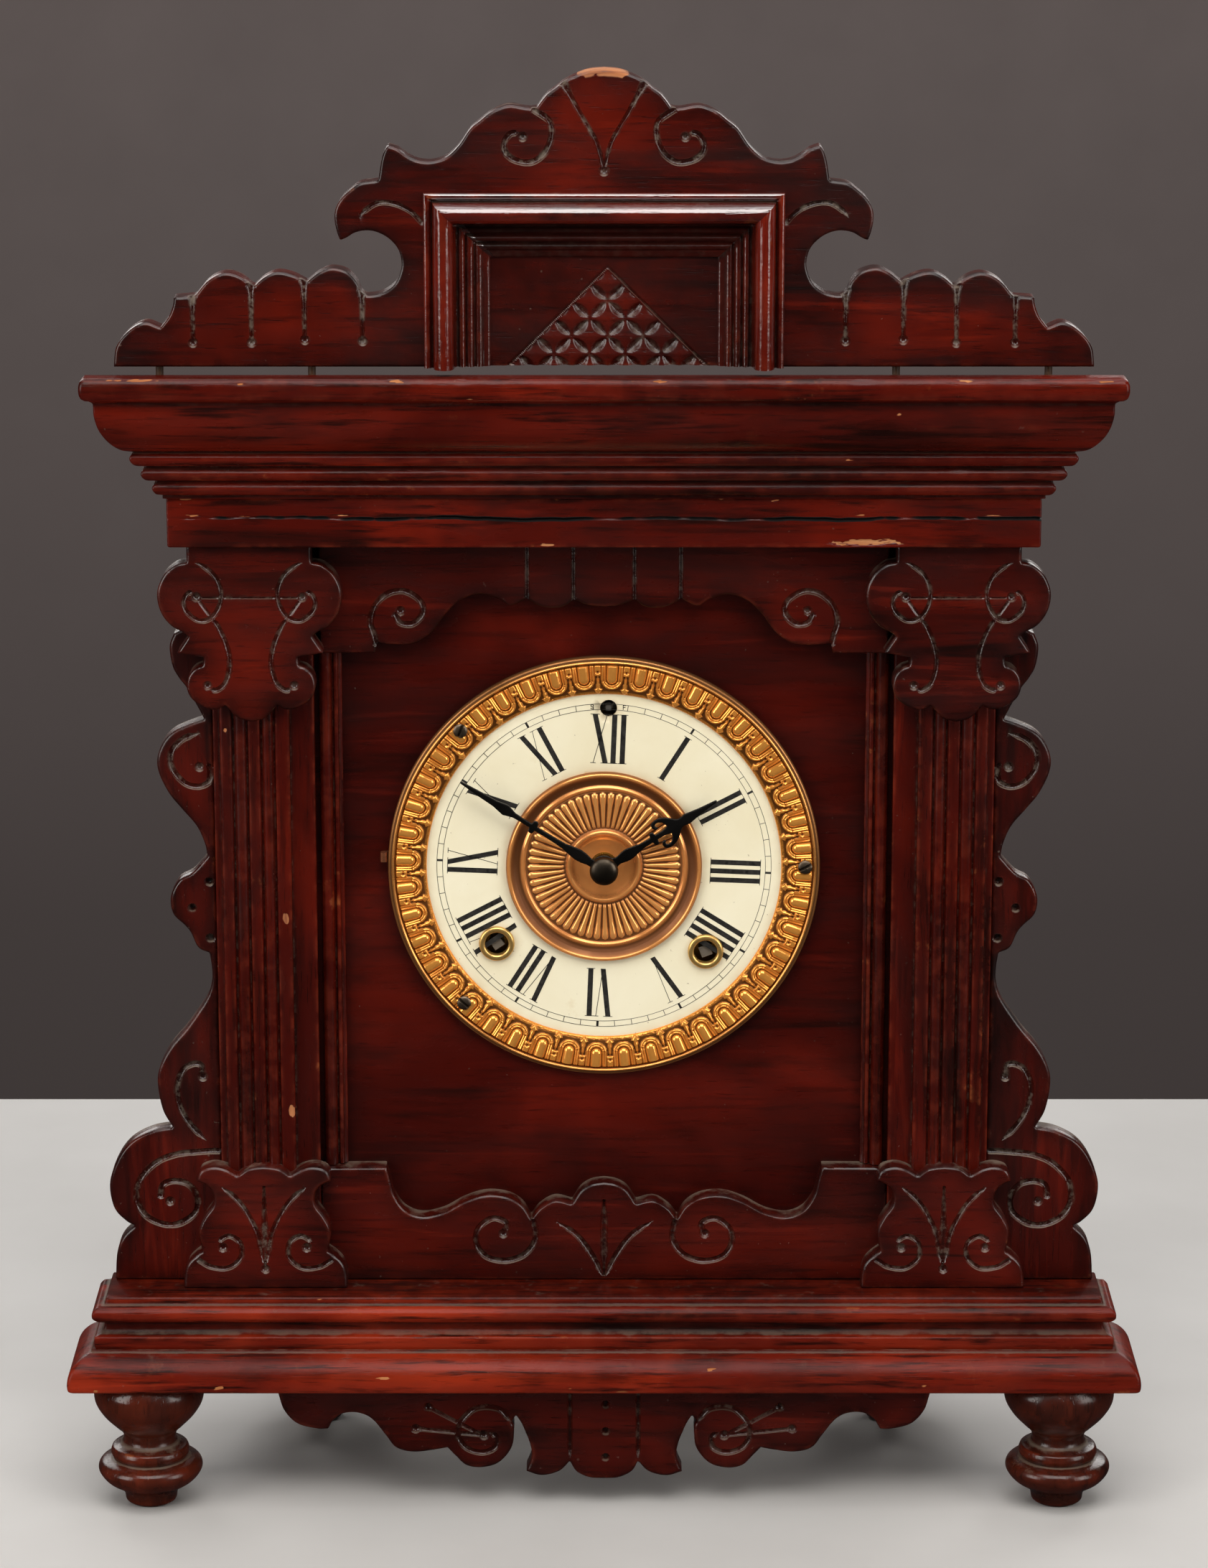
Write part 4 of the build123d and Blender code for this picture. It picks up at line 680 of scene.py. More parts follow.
# ------------------------------------------------------------------ materials
class Tree:
    def __init__(self, name):
        self.mat = bpy.data.materials.new(name)
        self.mat.use_nodes = True
        self.nt = self.mat.node_tree
        self.nodes, self.links = self.nt.nodes, self.nt.links
        self.bsdf = self.nodes["Principled BSDF"]

    def n(self, kind, **props):
        node = self.nodes.new(kind)
        for k, v in props.items():
            setattr(node, k, v)
        return node

    def put(self, socket, value):
        if isinstance(value, bpy.types.NodeSocket):
            self.links.new(value, socket)
        elif isinstance(value, tuple) and len(value) == 3 and socket.type == "RGBA":
            socket.default_value = (*value, 1)
        else:
            socket.default_value = value

    def coords(self, scale=(1, 1, 1), offset=(0, 0, 0)):
        tc = self.n("ShaderNodeTexCoord")
        mp = self.n("ShaderNodeMapping")
        mp.inputs["Scale"].default_value = scale
        mp.inputs["Location"].default_value = offset
        self.links.new(tc.outputs["Object"], mp.inputs["Vector"])
        return mp.outputs["Vector"]

    def noise(self, vec, scale, detail=4.0, rough=0.55, dist=0.0):
        t = self.n("ShaderNodeTexNoise")
        self.links.new(vec, t.inputs["Vector"])
        t.inputs["Scale"].default_value = scale
        t.inputs["Detail"].default_value = detail
        t.inputs["Roughness"].default_value = rough
        t.inputs["Distortion"].default_value = dist
        return t.outputs["Fac"]

    def voronoi(self, vec, scale, feature="F1"):
        t = self.n("ShaderNodeTexVoronoi", feature=feature)
        self.links.new(vec, t.inputs["Vector"])
        t.inputs["Scale"].default_value = scale
        return t.outputs["Distance"]

    def ramp(self, fac, stops, interp="LINEAR"):
        r = self.n("ShaderNodeValToRGB")
        r.color_ramp.interpolation = interp
        while len(r.color_ramp.elements) < len(stops):
            r.color_ramp.elements.new(0.5)
        for el, (pos, col) in zip(r.color_ramp.elements, stops):
            el.position = pos
            el.color = (*col, 1) if isinstance(col, tuple) else (col, col, col, 1)
        self.links.new(fac, r.inputs["Fac"])
        return r.outputs["Color"]

    def math(self, op, a, b=None, clamp=False):
        m = self.n("ShaderNodeMath", operation=op, use_clamp=clamp)
        self.put(m.inputs[0], a)
        if b is not None:
            self.put(m.inputs[1], b)
        return m.outputs[0]

    def span(self, v, lo, hi, to_lo=0.0, to_hi=1.0, smooth=True):
        m = self.n("ShaderNodeMapRange", interpolation_type="SMOOTHSTEP" if smooth else "LINEAR")
        self.put(m.inputs["Value"], v)
        m.inputs["From Min"].default_value = lo
        m.inputs["From Max"].default_value = hi
        m.inputs["To Min"].default_value = to_lo
        m.inputs["To Max"].default_value = to_hi
        return m.outputs["Result"]

    def mix(self, fac, a, b, blend="MIX"):
        m = self.n("ShaderNodeMix", data_type="RGBA", blend_type=blend)
        self.put(m.inputs["Factor"], fac)
        self.put(m.inputs["A"] if False else m.inputs[6], a)
        self.put(m.inputs[7], b)
        return m.outputs[2]

    def attr(self, name):
        a = self.n("ShaderNodeAttribute", attribute_name=name)
        return a.outputs["Fac"]

    def normal_z(self):
        g = self.n("ShaderNodeNewGeometry")
        s = self.n("ShaderNodeSeparateXYZ")
        self.links.new(g.outputs["Normal"], s.inputs[0])
        return s.outputs["Z"]

    def bump(self, height, strength, distance, under=None):
        b = self.n("ShaderNodeBump")
        b.inputs["Strength"].default_value = strength
        b.inputs["Distance"].default_value = distance
        self.links.new(height, b.inputs["Height"])
        if under is not None:
            self.links.new(under, b.inputs["Normal"])
        return b.outputs["Normal"]

    def set(self, **kw):
        for k, v in kw.items():
            self.put(self.bsdf.inputs[k.replace("_", " ")], v)
        return self.mat


def wood(name, axis="X", tone=1.0, red=0.5, dust=1.0, shift=(0, 0, 0), rough=0.22, wear=1.0, streak=0.5, blot=0.5, spec=0.50, ior=1.5, pool=0.06, dirt_and_shade=0.50, fill=1.0, dark=None, mid=None, light=None):
    """Old varnished hardwood, stained dark red: grain, pores, mottled varnish, dust on ledges, rubbed edges with a
    painted sheen, dust and painted glints in the grooves, residue and painted shade in hollows, painted shade from the
    shade values.
    """
    t = Tree(name)
    dark = dark or (0.0095 * tone, 0.0016 * tone, 0.0010 * tone)
    mid = mid or (0.0440 * tone, 0.0024 * tone, 0.0009 * tone)
    light = light or (0.1350 * tone, 0.0080 * tone, 0.0022 * tone)
    along, across = 7.0, 95.0
    sc = {"X": (along, across, across), "Y": (across, along, across), "Z": (across, across, along)}[axis]
    v = t.coords(sc, shift)
    plain = t.coords((1, 1, 1), shift)
    grain = t.noise(v, 1.0, 9, 0.62, 0.7)
    fine = t.noise(t.coords(tuple(4.5 * s for s in sc), shift), 1.0, 5, 0.6, 0.2)
    cloud = t.noise(t.coords(tuple(0.5 + 0.25 * s / across for s in sc), shift), 24.0, 3, 0.5, 0.5)
    blotch = t.noise(t.coords(tuple(0.28 + 0.72 * s / across for s in sc), shift), 44.0, 5, 0.62, 0.3)
    base = t.ramp(grain, [(0.34, dark), (0.48, mid), (0.58, mid), (0.74, light)])
    base = t.mix(t.span(cloud, 0.40, 0.72, 0.0, red), base, light)
    base = t.mix(t.span(fine, 0.50, 0.70, 0.0, streak), base, dark)
    base = t.mix(t.span(blotch, 0.46, 0.74, 0.0, blot), base, dark)
    pores = t.noise(t.coords(tuple(14.0 * s for s in sc), shift), 1.0, 2, 0.5, 0.0)
    base = t.mix(t.span(pores, 0.63, 0.72, 0.0, 0.45), base, tuple(0.5 * x for x in dark))
    edge, cav, bare = t.attr("edge"), t.attr("cav"), t.attr("bare")
    patch = t.noise(plain, 120.0, 4, 0.6)
    # Edge band: a lighter red, partly rubbed varnish and partly painted highlight on the rounded edges, then orange
    # spots of wear.
    rub_and_sheen = t.math("MULTIPLY", edge, t.span(patch, 0.42, 0.66))
    base = t.mix(t.math("MULTIPLY", rub_and_sheen, 0.50 * wear, clamp=True), base, (0.190, 0.024, 0.0085))
    orange = t.math("MULTIPLY", edge, t.span(t.noise(plain, 75.0, 5, 0.65), 0.63, 0.72))
    base = t.mix(t.math("MULTIPLY", orange, 0.55 * wear, clamp=True), base, (0.34, 0.095, 0.028))
    # Hollows darkened towards a near-black brown: residue with painted shade.
    base = t.mix(t.math("MULTIPLY", cav, dirt_and_shade, clamp=True), base, (0.0105, 0.0052, 0.0038))
    # Painted shade from the shade values: darker near outlines, in recesses and on the frame's shadowed steps, broken
    # by noise; the same mask dulls the varnish and places dust specks.
    painted_shade_mask = t.math("MULTIPLY", t.attr("shade"), t.span(patch, 0.25, 0.75, 1.0, 0.55), clamp=True)
    base = t.mix(painted_shade_mask, base, tuple(0.5 * x for x in dark))
    bare_f = t.span(t.math("ADD", bare, t.math("MULTIPLY", t.math("SUBTRACT", t.noise(v, 2.0, 6, 0.7), 0.5), 0.9)), 0.40, 0.56)
    bare_f = t.math("MULTIPLY", bare_f, t.span(bare, 0.02, 0.2))
    bare_c = t.ramp(t.noise(v, 3.0, 5, 0.6), [(0.3, (0.14, 0.032, 0.010)), (0.52, (0.36, 0.125, 0.042)), (0.8, (0.50, 0.24, 0.105))])
    base = t.mix(bare_f, base, bare_c)
    up = t.span(t.normal_z(), 0.35, 0.85)
    settle = t.noise(plain, 130.0, 5, 0.65)
    lie = t.span(t.math("ADD", cav, t.math("MULTIPLY", t.math("SUBTRACT", settle, 0.5), 0.95)), 0.06, 0.36)
    lie = t.math("MULTIPLY", lie, t.span(cav, 0.36, 0.58, 1.0, pool))
    dust_and_glint = t.math("MULTIPLY", t.math("MULTIPLY", up, lie), 0.88 * dust, clamp=True)
    # Grooves filled with dust colour beyond real dust, standing for the glints there: partly painted highlight.
    hollow = t.math("MULTIPLY", t.math("POWER", cav, 1.4), t.span(t.noise(plain, 300.0, 4, 0.65), 0.45, 0.66))
    dust_and_glint = t.math("MAXIMUM", dust_and_glint, t.math("MULTIPLY", hollow, min(0.75, 0.34 * fill * dust * (0.35 + 0.65 * pool))))
    specks = t.math("MULTIPLY", t.span(t.noise(plain, 560.0, 2, 0.5), 0.735, 0.77), t.math("MAXIMUM", t.span(cloud, 0.40, 0.60, 0.05, 0.34 * dust), t.math("MULTIPLY", painted_shade_mask, 0.60 * dust)))
    dust_and_glint = t.math("MAXIMUM", dust_and_glint, specks)
    # The crack, bare below zero, painted near black as painted shade and kept free of dust.
    gap = t.span(t.math("MULTIPLY", bare, -1.0), 0.30, 0.75)
    dust_and_glint = t.math("MULTIPLY", dust_and_glint, t.math("SUBTRACT", 1.0, gap), clamp=True)
    base = t.mix(gap, base, (0.0022, 0.0012, 0.0010))
    # Dust colour: dust on ledges, in grooves and in specks, and the painted glints in the grooves.
    base = t.mix(dust_and_glint, base, (0.205, 0.158, 0.116))
    rg = t.span(blotch, 0.25, 0.75, rough - 0.05, rough + 0.10)
    rg = t.math("SUBTRACT", rg, t.math("MULTIPLY", cav, 0.05))
    rg = t.math("ADD", rg, t.math("MULTIPLY", painted_shade_mask, 0.06))
    rg = t.math("ADD", rg, t.math("MULTIPLY", dust_and_glint, 0.50))
    rg = t.math("ADD", rg, t.math("MULTIPLY", t.math("MAXIMUM", bare_f, gap), 0.6), clamp=True)
    h = t.math("ADD", t.math("MULTIPLY", grain, 0.5), t.math("MULTIPLY", fine, 0.30))
    h = t.math("SUBTRACT", h, t.math("MULTIPLY", t.span(pores, 0.60, 0.72), 0.30))
    h = t.math("ADD", h, t.math("MULTIPLY", dust_and_glint, 0.5))
    nrm = t.bump(h, 0.30, 0.0004)
    peel = t.math("ADD", t.noise(plain, 420.0, 3, 0.5), t.math("MULTIPLY", t.math("MULTIPLY", cav, 3.5), t.noise(plain, 620.0, 3, 0.6)))
    nrm = t.bump(peel, 0.16, 0.0005, nrm)
    return t.set(Base_Color=base, Roughness=rg, Normal=nrm, Specular_IOR_Level=spec, IOR=ior)


def metal(name, base, dark, rough=0.28, tarnish=0.5, brushed=None, cavity=0.85, deep=0.30, spots=0.3, body=1.0, shine=None, grit=0.14):
    t = Tree(name)
    plain = t.coords()
    cloud = t.noise(plain, 60.0, 5, 0.6, 0.3)
    fleck = t.noise(plain, 420.0, 4, 0.6)
    c = t.mix(t.span(cloud, 0.40, 0.72, 0.0, tarnish), base, dark)
    c = t.mix(t.span(fleck, 0.60, 0.74, 0.0, spots), c, tuple(0.55 * x for x in dark))
    cav, edge = t.attr("cav"), t.attr("edge")
    # Hollows darkened: tarnish with painted shade.
    c = t.mix(t.math("MULTIPLY", cav, cavity, clamp=True), c, tuple(deep * x for x in dark))
    # Edges and ridges lightened to the shine colour: painted highlight, with rubbed-bright metal.
    c = t.mix(t.math("MULTIPLY", edge, 0.6, clamp=True), c, shine or tuple(min(1.0, 1.25 * x) for x in base))
    r = t.span(cloud, 0.3, 0.75, rough - 0.06, rough + 0.16)
    r = t.math("ADD", r, t.math("MULTIPLY", cav, 0.25), clamp=True)
    h = fleck
    if brushed:
        sc = {"X": (40, 1400, 1400), "Z": (1400, 1400, 40), "Y": (1400, 40, 1400)}[brushed]
        h = t.math("ADD", t.math("MULTIPLY", fleck, 0.4), t.noise(t.coords(sc), 1.0, 3, 0.6))
    nrm = t.bump(h, grit, 0.0002)
    return t.set(Base_Color=c, Roughness=r, Metallic=body, Normal=nrm)


def card():
    """Cream glazed dial: faint yellowing, random stains, dark specks and a fine bump; darker by the centre pan, the
    holes and the outer edge: residue with painted shadow of the raised parts.
    """
    t = Tree("dial_card_look")
    plain = t.coords()
    cloud = t.noise(plain, 26.0, 4, 0.6, 0.4)
    stain = t.noise(plain, 110.0, 5, 0.65)
    c = t.ramp(cloud, [(0.3, (0.75, 0.68, 0.475)), (0.7, (0.81, 0.755, 0.565))])
    c = t.mix(t.span(stain, 0.62, 0.78, 0.0, 0.28), c, (0.62, 0.48, 0.27))
    speck = t.span(t.noise(plain, 700.0, 2, 0.5), 0.745, 0.78, 0.0, 0.55)
    c = t.mix(speck, c, (0.22, 0.15, 0.08))
    # Darker where the cav values say: residue with painted shadow.
    cav = t.attr("cav")
    c = t.mix(t.math("MULTIPLY", cav, 0.45, clamp=True), c, (0.45, 0.30, 0.13))
    nrm = t.bump(t.noise(plain, 500.0, 3, 0.5), 0.05, 0.0003)
    return t.set(Base_Color=c, Roughness=t.span(cloud, 0.2, 0.8, 0.28, 0.42), Normal=nrm, Specular_IOR_Level=0.4)


def ink():
    t = Tree("dial_ink")
    plain = t.coords()
    w = t.noise(plain, 900.0, 4, 0.6)
    c = t.ramp(w, [(0.35, (0.006, 0.0055, 0.005)), (0.72, (0.030, 0.026, 0.021))])
    return t.set(Base_Color=c, Roughness=t.span(w, 0.3, 0.7, 0.42, 0.6))


def stage_look(name, a, b, low=None):
    """Plain matt surface; with low, it darkens to that share of its colour from 0.25 m down to -0.75 m, a painted
    shade.
    """
    t = Tree(name)
    f = t.noise(t.coords(), 9.0, 4, 0.5)
    c = t.ramp(f, [(0.3, a), (0.7, b)])
    if low:
        z = t.n("ShaderNodeSeparateXYZ")
        t.links.new(t.coords(), z.inputs[0])
        c = t.mix(t.span(z.outputs["Z"], 0.25, -0.75, smooth=False), c, tuple(low * (x + y) / 2 for x, y in zip(a, b)))
    return t.set(Base_Color=c, Roughness=0.75)


W_X = wood("stained_wood_x", "X", 1.2, dust=0.65, blot=0.55, fill=5.5)
W_SLAB = wood("stained_wood_slab", "X", red=0.65, rough=0.30, wear=1.3, shift=(3.1, 0, 0), streak=0.95, blot=0.6, dust=0.35, spec=0.14, pool=0.8, dark=(0.0135, 0.0022, 0.0013), mid=(0.1060, 0.0066, 0.0020), light=(0.3400, 0.0290, 0.0075))
W_CORN = wood("stained_wood_cornice", "X", 1.25, red=0.5, rough=0.27, shift=(1.7, 2, 0), streak=0.9, blot=0.65, dust=0.30, spec=0.24, pool=0.8)
W_STRIP = wood("stained_wood_strip", "X", 1.3, red=0.6, rough=0.26, wear=1.4, shift=(6.3, 1, 2), streak=0.85, dust=0.35, spec=0.20, pool=0.8)
W_ARCH = wood("stained_wood_architrave", "X", 1.35, red=0.6, rough=0.25, wear=1.3, shift=(9.1, 2, 4), streak=0.9, blot=0.6, dust=0.35, spec=0.28)
W_Z = wood("stained_wood_z", "Z", 1.02, dust=0.7, shift=(0, 0, 2.2), blot=0.65, fill=5.5)
W_PIL = wood("stained_wood_pilaster", "Z", 0.95, shift=(3, 0, 6.2), wear=0.8, dust=0.6, spec=0.4, pool=0.5)
W_CAP = wood("stained_wood_capital", "X", 0.92, red=0.6, shift=(4.4, 0, 7.2), dust=0.6, blot=0.5, ior=1.54, fill=4.0)
W_PANEL = wood("stained_wood_panel", "X", 0.97, red=0.9, dust=0.6, shift=(5.2, 0, 1.1), rough=0.25, streak=0.4, blot=0.5, spec=0.24, dark=(0.0150, 0.0018, 0.0010), mid=(0.0410, 0.0021, 0.0008), light=(0.0980, 0.0052, 0.0015))
W_CREST = wood("stained_wood_crest", "X", 1.1, red=0.6, shift=(8.2, 0, 3.1), dust=0.6, streak=0.6, blot=0.75, fill=8.5)
W_FRAME = wood("stained_wood_frame", "X", 1.25, red=0.7, rough=0.09, shift=(2.2, 5, 3.1), wear=0.9, dust=0.40, spec=0.80, ior=1.95, pool=0.3, dirt_and_shade=0.85)
W_LEG = wood("stained_wood_frame_legs", "Z", 1.3, red=0.7, rough=0.13, shift=(4.2, 5, 7.1), wear=0.9, dust=0.40, spec=0.50, ior=1.62, pool=0.3, dirt_and_shade=0.85)
# A less red, duller copy of the frame wood for the top rail's steps in the roll's shadow: painted shade.
W_STEP = wood("stained_wood_steps", "X", 1.3, red=0.3, rough=0.34, shift=(3.2, 5, 1.1), wear=0.4, dust=0.25, spec=0.16, dirt_and_shade=0.45)
W_DARK = wood("stained_wood_dark", "X", 1.05, red=0.4, shift=(2.4, 1, 5), dust=0.5, spec=0.45, fill=4.0)
W_TURN = wood("stained_wood_turned", "Z", shift=(7, 3, 0), rough=0.20, dust=0.6, spec=0.42, pool=0.6, dark=(0.0100, 0.0030, 0.0020), mid=(0.038, 0.0068, 0.0034), light=(0.096, 0.0155, 0.0064))
CASE_TONES = {"dark": (0.020, 0.008, 0.005), "mid": (0.060, 0.022, 0.011), "light": (0.12, 0.050, 0.024)}
W_CASE = wood("case_wood_look", "Z", red=0.35, dust=0.7, shift=(4, 4, 0), rough=0.45, **CASE_TONES)
W_CASE_X = wood("case_wood_look_x", "X", red=0.35, dust=0.9, shift=(1, 4, 0), rough=0.45, **CASE_TONES)
W_PIN = wood("pin_wood_look", "Z", red=0.3, shift=(2, 9, 0), rough=0.5, dark=(0.03, 0.014, 0.007), mid=(0.09, 0.040, 0.018), light=(0.16, 0.08, 0.034))
GILT = metal("gilt_ring_look", (0.98, 0.38, 0.062), (0.74, 0.22, 0.030), rough=0.13, tarnish=0.40, cavity=0.97, deep=0.18, body=0.64, shine=(1.0, 0.44, 0.090), grit=0.03)
COPPER = metal("rim_look", (0.34, 0.145, 0.055), (0.14, 0.055, 0.022), rough=0.27, tarnish=0.7, body=0.75, shine=(0.95, 0.40, 0.085))
PAN = metal("pan_look", (0.95, 0.37, 0.105), (0.54, 0.165, 0.042), rough=0.15, tarnish=0.40, cavity=0.94, deep=0.20, body=0.58, grit=0.04)
STUB = metal("stub_look", (0.45, 0.16, 0.075), (0.18, 0.06, 0.028), rough=0.30, tarnish=0.7, body=0.85)
ARBOR = metal("arbor_look", (0.40, 0.34, 0.27), (0.20, 0.155, 0.115), rough=0.34, tarnish=0.6, body=0.75)
NUT = metal("nut_look", (0.070, 0.055, 0.040), (0.018, 0.015, 0.012), rough=0.36, tarnish=0.9, spots=0.4)
BRASS = metal("brass_look", (0.86, 0.55, 0.18), (0.48, 0.27, 0.08), rough=0.26, tarnish=0.55, body=0.85)
BRASS_P = metal("plate_brass_look", (0.72, 0.48, 0.18), (0.34, 0.20, 0.07), rough=0.34, tarnish=0.7, brushed="Z")
STEEL = metal("steel_look", (0.42, 0.40, 0.37), (0.16, 0.13, 0.10), rough=0.36, tarnish=0.6)
BLACK = metal("black_steel_look", (0.030, 0.028, 0.026), (0.012, 0.011, 0.010), rough=0.42, tarnish=0.7, spots=0.2)
BLUED = metal("blued_steel_look", (0.045, 0.050, 0.075), (0.020, 0.018, 0.022), rough=0.33, tarnish=0.6)
SCREW = metal("screw_look", (0.16, 0.12, 0.085), (0.06, 0.04, 0.025), rough=0.45, tarnish=0.7)
CARD = card()
INK = ink()

# ------------------------------------------------------------------ base
moulding(SLAB, 187.6, -28.0, 0.0, corner=1.6, seed=11, wear=0.2, nicks=14, chips=[(-144.5, 53.4, 1.6, 0.9, 0.2), (-81.5, 57.0, 4.2, 0.7, 0.12), (39.9, 60.0, 2.2, 0.7, 0.15), (120.0, 54.0, 1.4, 0.8, 0.2), (-12.0, 53.0, 1.2, 0.6, 0.15)]).out("slab", W_SLAB, "case", "base_slab", "dark_wood")
moulding(BASE_MOULDING, 187.6, -28.0, 0.0, corner=0.9, seed=12, nicks=8, ledge=0.75).out("base_steps", W_SLAB, "case", "base_moulding", "dark_wood")

feet = Shape()
for k in (-1, 1):
    s = lathe_z(FOOT, k * 172.8, -21.0)
    feet.add(s.v, s.f, s.a["cav"], s.a["edge"])
feet.out("turned_front_feet", W_TURN, "case", "front_feet", "dark_wood")
feet = Shape()
for k in (-1, 1):
    s = lathe_z(FOOT, k * 112.0, 64.0, 0.78)
    feet.add(s.v, s.f, s.a["cav"], s.a["edge"])
feet.out("turned_rear_feet", W_TURN, "case", "rear_feet", "dark_wood")


def both(points):
    return [points, [(-x, z) for x, z in points]]


apron_lines = [groove([(-12.9, 46), (-12.9, 20.6)], 1.0, 1.0, (0, 3)), groove([(12.9, 46), (12.9, 20.6)], 1.0, 1.0, (0, 3))]
apron_dots = [(0.6, 41.8, 1.7, 2.2), (0.6, 31.1, 1.7, 2.2), (0.6, 20.6, 1.7, 2.2)]
for k in (-1, 1):
    q = [(-35.2, 34.8), (-39.8, 40.1), (-47.9, 40.6), (-53.7, 35.7), (-55.3, 29.6), (-52.1, 24.4), (-46.4, 22.6), (-41.5, 24.4), (-40.7, 28.7), (-43.4, 30.6)]
    apron_lines.append(groove([(-k * x, z) for x, z in q], 1.25, 1.2, (3, 2)))
    for end in ((-66.4, 40.9), (-71.3, 32.2)):
        apron_lines.append(groove([(-k * -46.1, 29.6), (-k * end[0], end[1])], 0.9, 0.8))
        apron_dots.append((-k * end[0], end[1], 1.9, 1.5))
    apron_dots.append((-k * -45.5, 29.6, 2.0, 1.6))
carved(run(APRON + mirrored(APRON), 0.6), -30, -20, apron_lines, apron_dots, rim=1.3, seed=21).out("carved_apron", W_DARK, "case", "base_apron", "dark_wood")

# ------------------------------------------------------------------ facade
lf_lines, lf_dots = [groove([(0, 115.6), (0, 86.0)], 1.3, 1.2, curve=False, wide=([0, 0.25, 0.75, 1], [0.7, 1.4, 1.5, 0.4]))], []
uf_lines = [groove([(x, 368.6), (x, 347.0)], 1.0, 1.0) for x in (-28.2, -11.2, 11.2, 28.2)]
uf_dots = []
for k in (-1, 1):
    q = [(-37.4, 103.0), (-37.2, 107.0), (-42.3, 108.7), (-47.5, 104.7), (-48.4, 98.6), (-44.8, 93.4), (-37.5, 91.7), (-30.1, 94.3), (-26.0, 100.4), (-26.8, 107.3)]
    lf_lines.append(groove([(-k * x, z) for x, z in q], 1.25, 1.2))
    lf_dots.append((-k * -38.2, 102.6, 1.9, 1.5))
    q = [(-17.8, 107.3), (-10.5, 102.1), (-4.8, 94.3), (-0.6, 85.8)]
    lf_lines.append(groove([(-k * x, z) for x, z in q], 1.25, 1.2, (5, 4)))
    q = [(-83.8, 332.0), (-84.6, 335.4), (-85.8, 340.2), (-83.9, 346.4), (-79.1, 350.7), (-73.0, 351.5), (-67.5, 348.0), (-66.5, 343.4), (-70.0, 339.4), (-74.7, 339.6), (-76.6, 342.6)]
    uf_lines.append(groove([(-k * x, z) for x, z in q], 1.25, 1.2))
    uf_dots.append((-k * -74.7, 344.2, 1.9, 1.5))
low = run(LOWER_FRIEZE + mirrored(LOWER_FRIEZE) + [[(107, 128.6), (107, 84)], [(107, 84), (-107, 84)], [(-107, 84), (-107, 128.6)]], 0.6)[:-1]
carved(low, -8.4, 0, lf_lines, lf_dots, rim=1.0, seed=22).out("carved_lower_frieze", W_DARK, "case", "lower_frieze", "dark_wood")
upp = run(UPPER_FRIEZE + mirrored(UPPER_FRIEZE) + [[(104.6, 328.3), (104.6, 370.7)], [(104.6, 370.7), (-104.6, 370.7)], [(-104.6, 370.7), (-104.6, 328.3)]], 0.6)[:-1]
carved(upp, -8.4, 0, uf_lines, uf_dots, rim=1.0, seed=23).out("carved_upper_frieze", W_DARK, "case", "upper_frieze", "dark_wood")

br_lines = [
    groove([(-149.4, 298.1), (-155.8, 295.6), (-159.9, 290.7), (-159.8, 284.7), (-155.6, 279.2), (-150.4, 277.6), (-146.2, 279.6), (-145.6, 283.9), (-146.6, 286.6)], 1.25, 1.2, (4, 1)),
    groove([(-151.3, 165.2), (-151.3, 169.4), (-154.7, 170.0), (-158.3, 167.5), (-160.6, 161.2), (-159.7, 153.0), (-155.8, 145.9), (-150.2, 139.9)], 1.25, 1.2, (0, 4)),
    groove([(-145.6, 135.6), (-150.9, 135.4), (-161.5, 134.2), (-169.4, 130.8), (-175.5, 123.9), (-176.8, 116.2), (-173.7, 109.9), (-167.2, 106.4), (-160.7, 106.7), (-154.6, 111.3), (-153.9, 117.6), (-157.6, 122.5), (-163.1, 123.6), (-166.9, 121.9), (-167.8, 117.6)], 1.3, 1.25),
]
br_dots = [(-149.7, 285.2, 1.9, 1.5), (-150.9, 165.0, 1.9, 1.5), (-164.3, 115.6, 1.9, 1.5), (-147.0, 241.1, 1.8, 2.4), (-153.5, 230.9, 1.8, 2.4), (-147.0, 219.2, 1.8, 2.4)]
bracket = run(BRACKET + [[(-185.7, 84), (-144.6, 84)], [(-144.6, 84), (-144.6, 340)]], 0.6)[:-1]
left = carved(bracket, -8.4, 0, br_lines, br_dots, rim=1.2, seed=24)
pair = Shape()
pair.add_shape(left)
pair.add_mirror(left)
pair.out("carved_side_brackets", W_Z, "case", "side_brackets", "dark_wood")

cap_lines, cap_dots = [groove([(-19.3, 351.2), (19.3, 351.2)], 0.45, 0.5)], []
for k in (-1, 1):
    for q, h, d, tp in (
        ([(-19.5, 364.2), (-17.4, 363.4), (-12.9, 359.7), (-10.4, 353.8), (-11.1, 347.9), (-14.2, 343.6), (-18.6, 342.6), (-22.9, 345.8), (-24.0, 349.5), (-22.5, 352.7), (-20.4, 353.2)], 1.0, 1.0, (3, 1)),
        ([(-13.7, 343.6), (-11.0, 339.1), (-8.5, 332.6), (-7.6, 326.2), (-9.1, 319.7), (-12.2, 316.7), (-14.8, 316.7)], 1.1, 1.1, (2, 1)),
        ([(-19.3, 351.4), (-13.7, 343.4)], 0.6, 0.6, (0, 0)),
    ):
        cap_lines.append(groove([(-k * x, z) for x, z in q], h, d, tp))
    cap_dots += [(-k * -19.3, 351.4, 1.9, 1.6), (-k * -15.9, 318.3, 1.8, 1.5)]
cap = run(CAPITAL + mirrored(CAPITAL) + [[(22.7, 370.7), (-22.7, 370.7)]], 0.6)[:-1]
unit = carved(cap, -18, -8.35, cap_lines, cap_dots, rim=1.1, seed=25, edge_shade=(0.95, 5.0))
pair = Shape()
for k in (-1, 1):
    pair.add_shape(unit, lambda x, y, z: (x + k * 129.4, y, z))
pair.out("carved_capitals", W_CAP, "case", "capitals", "dark_wood")

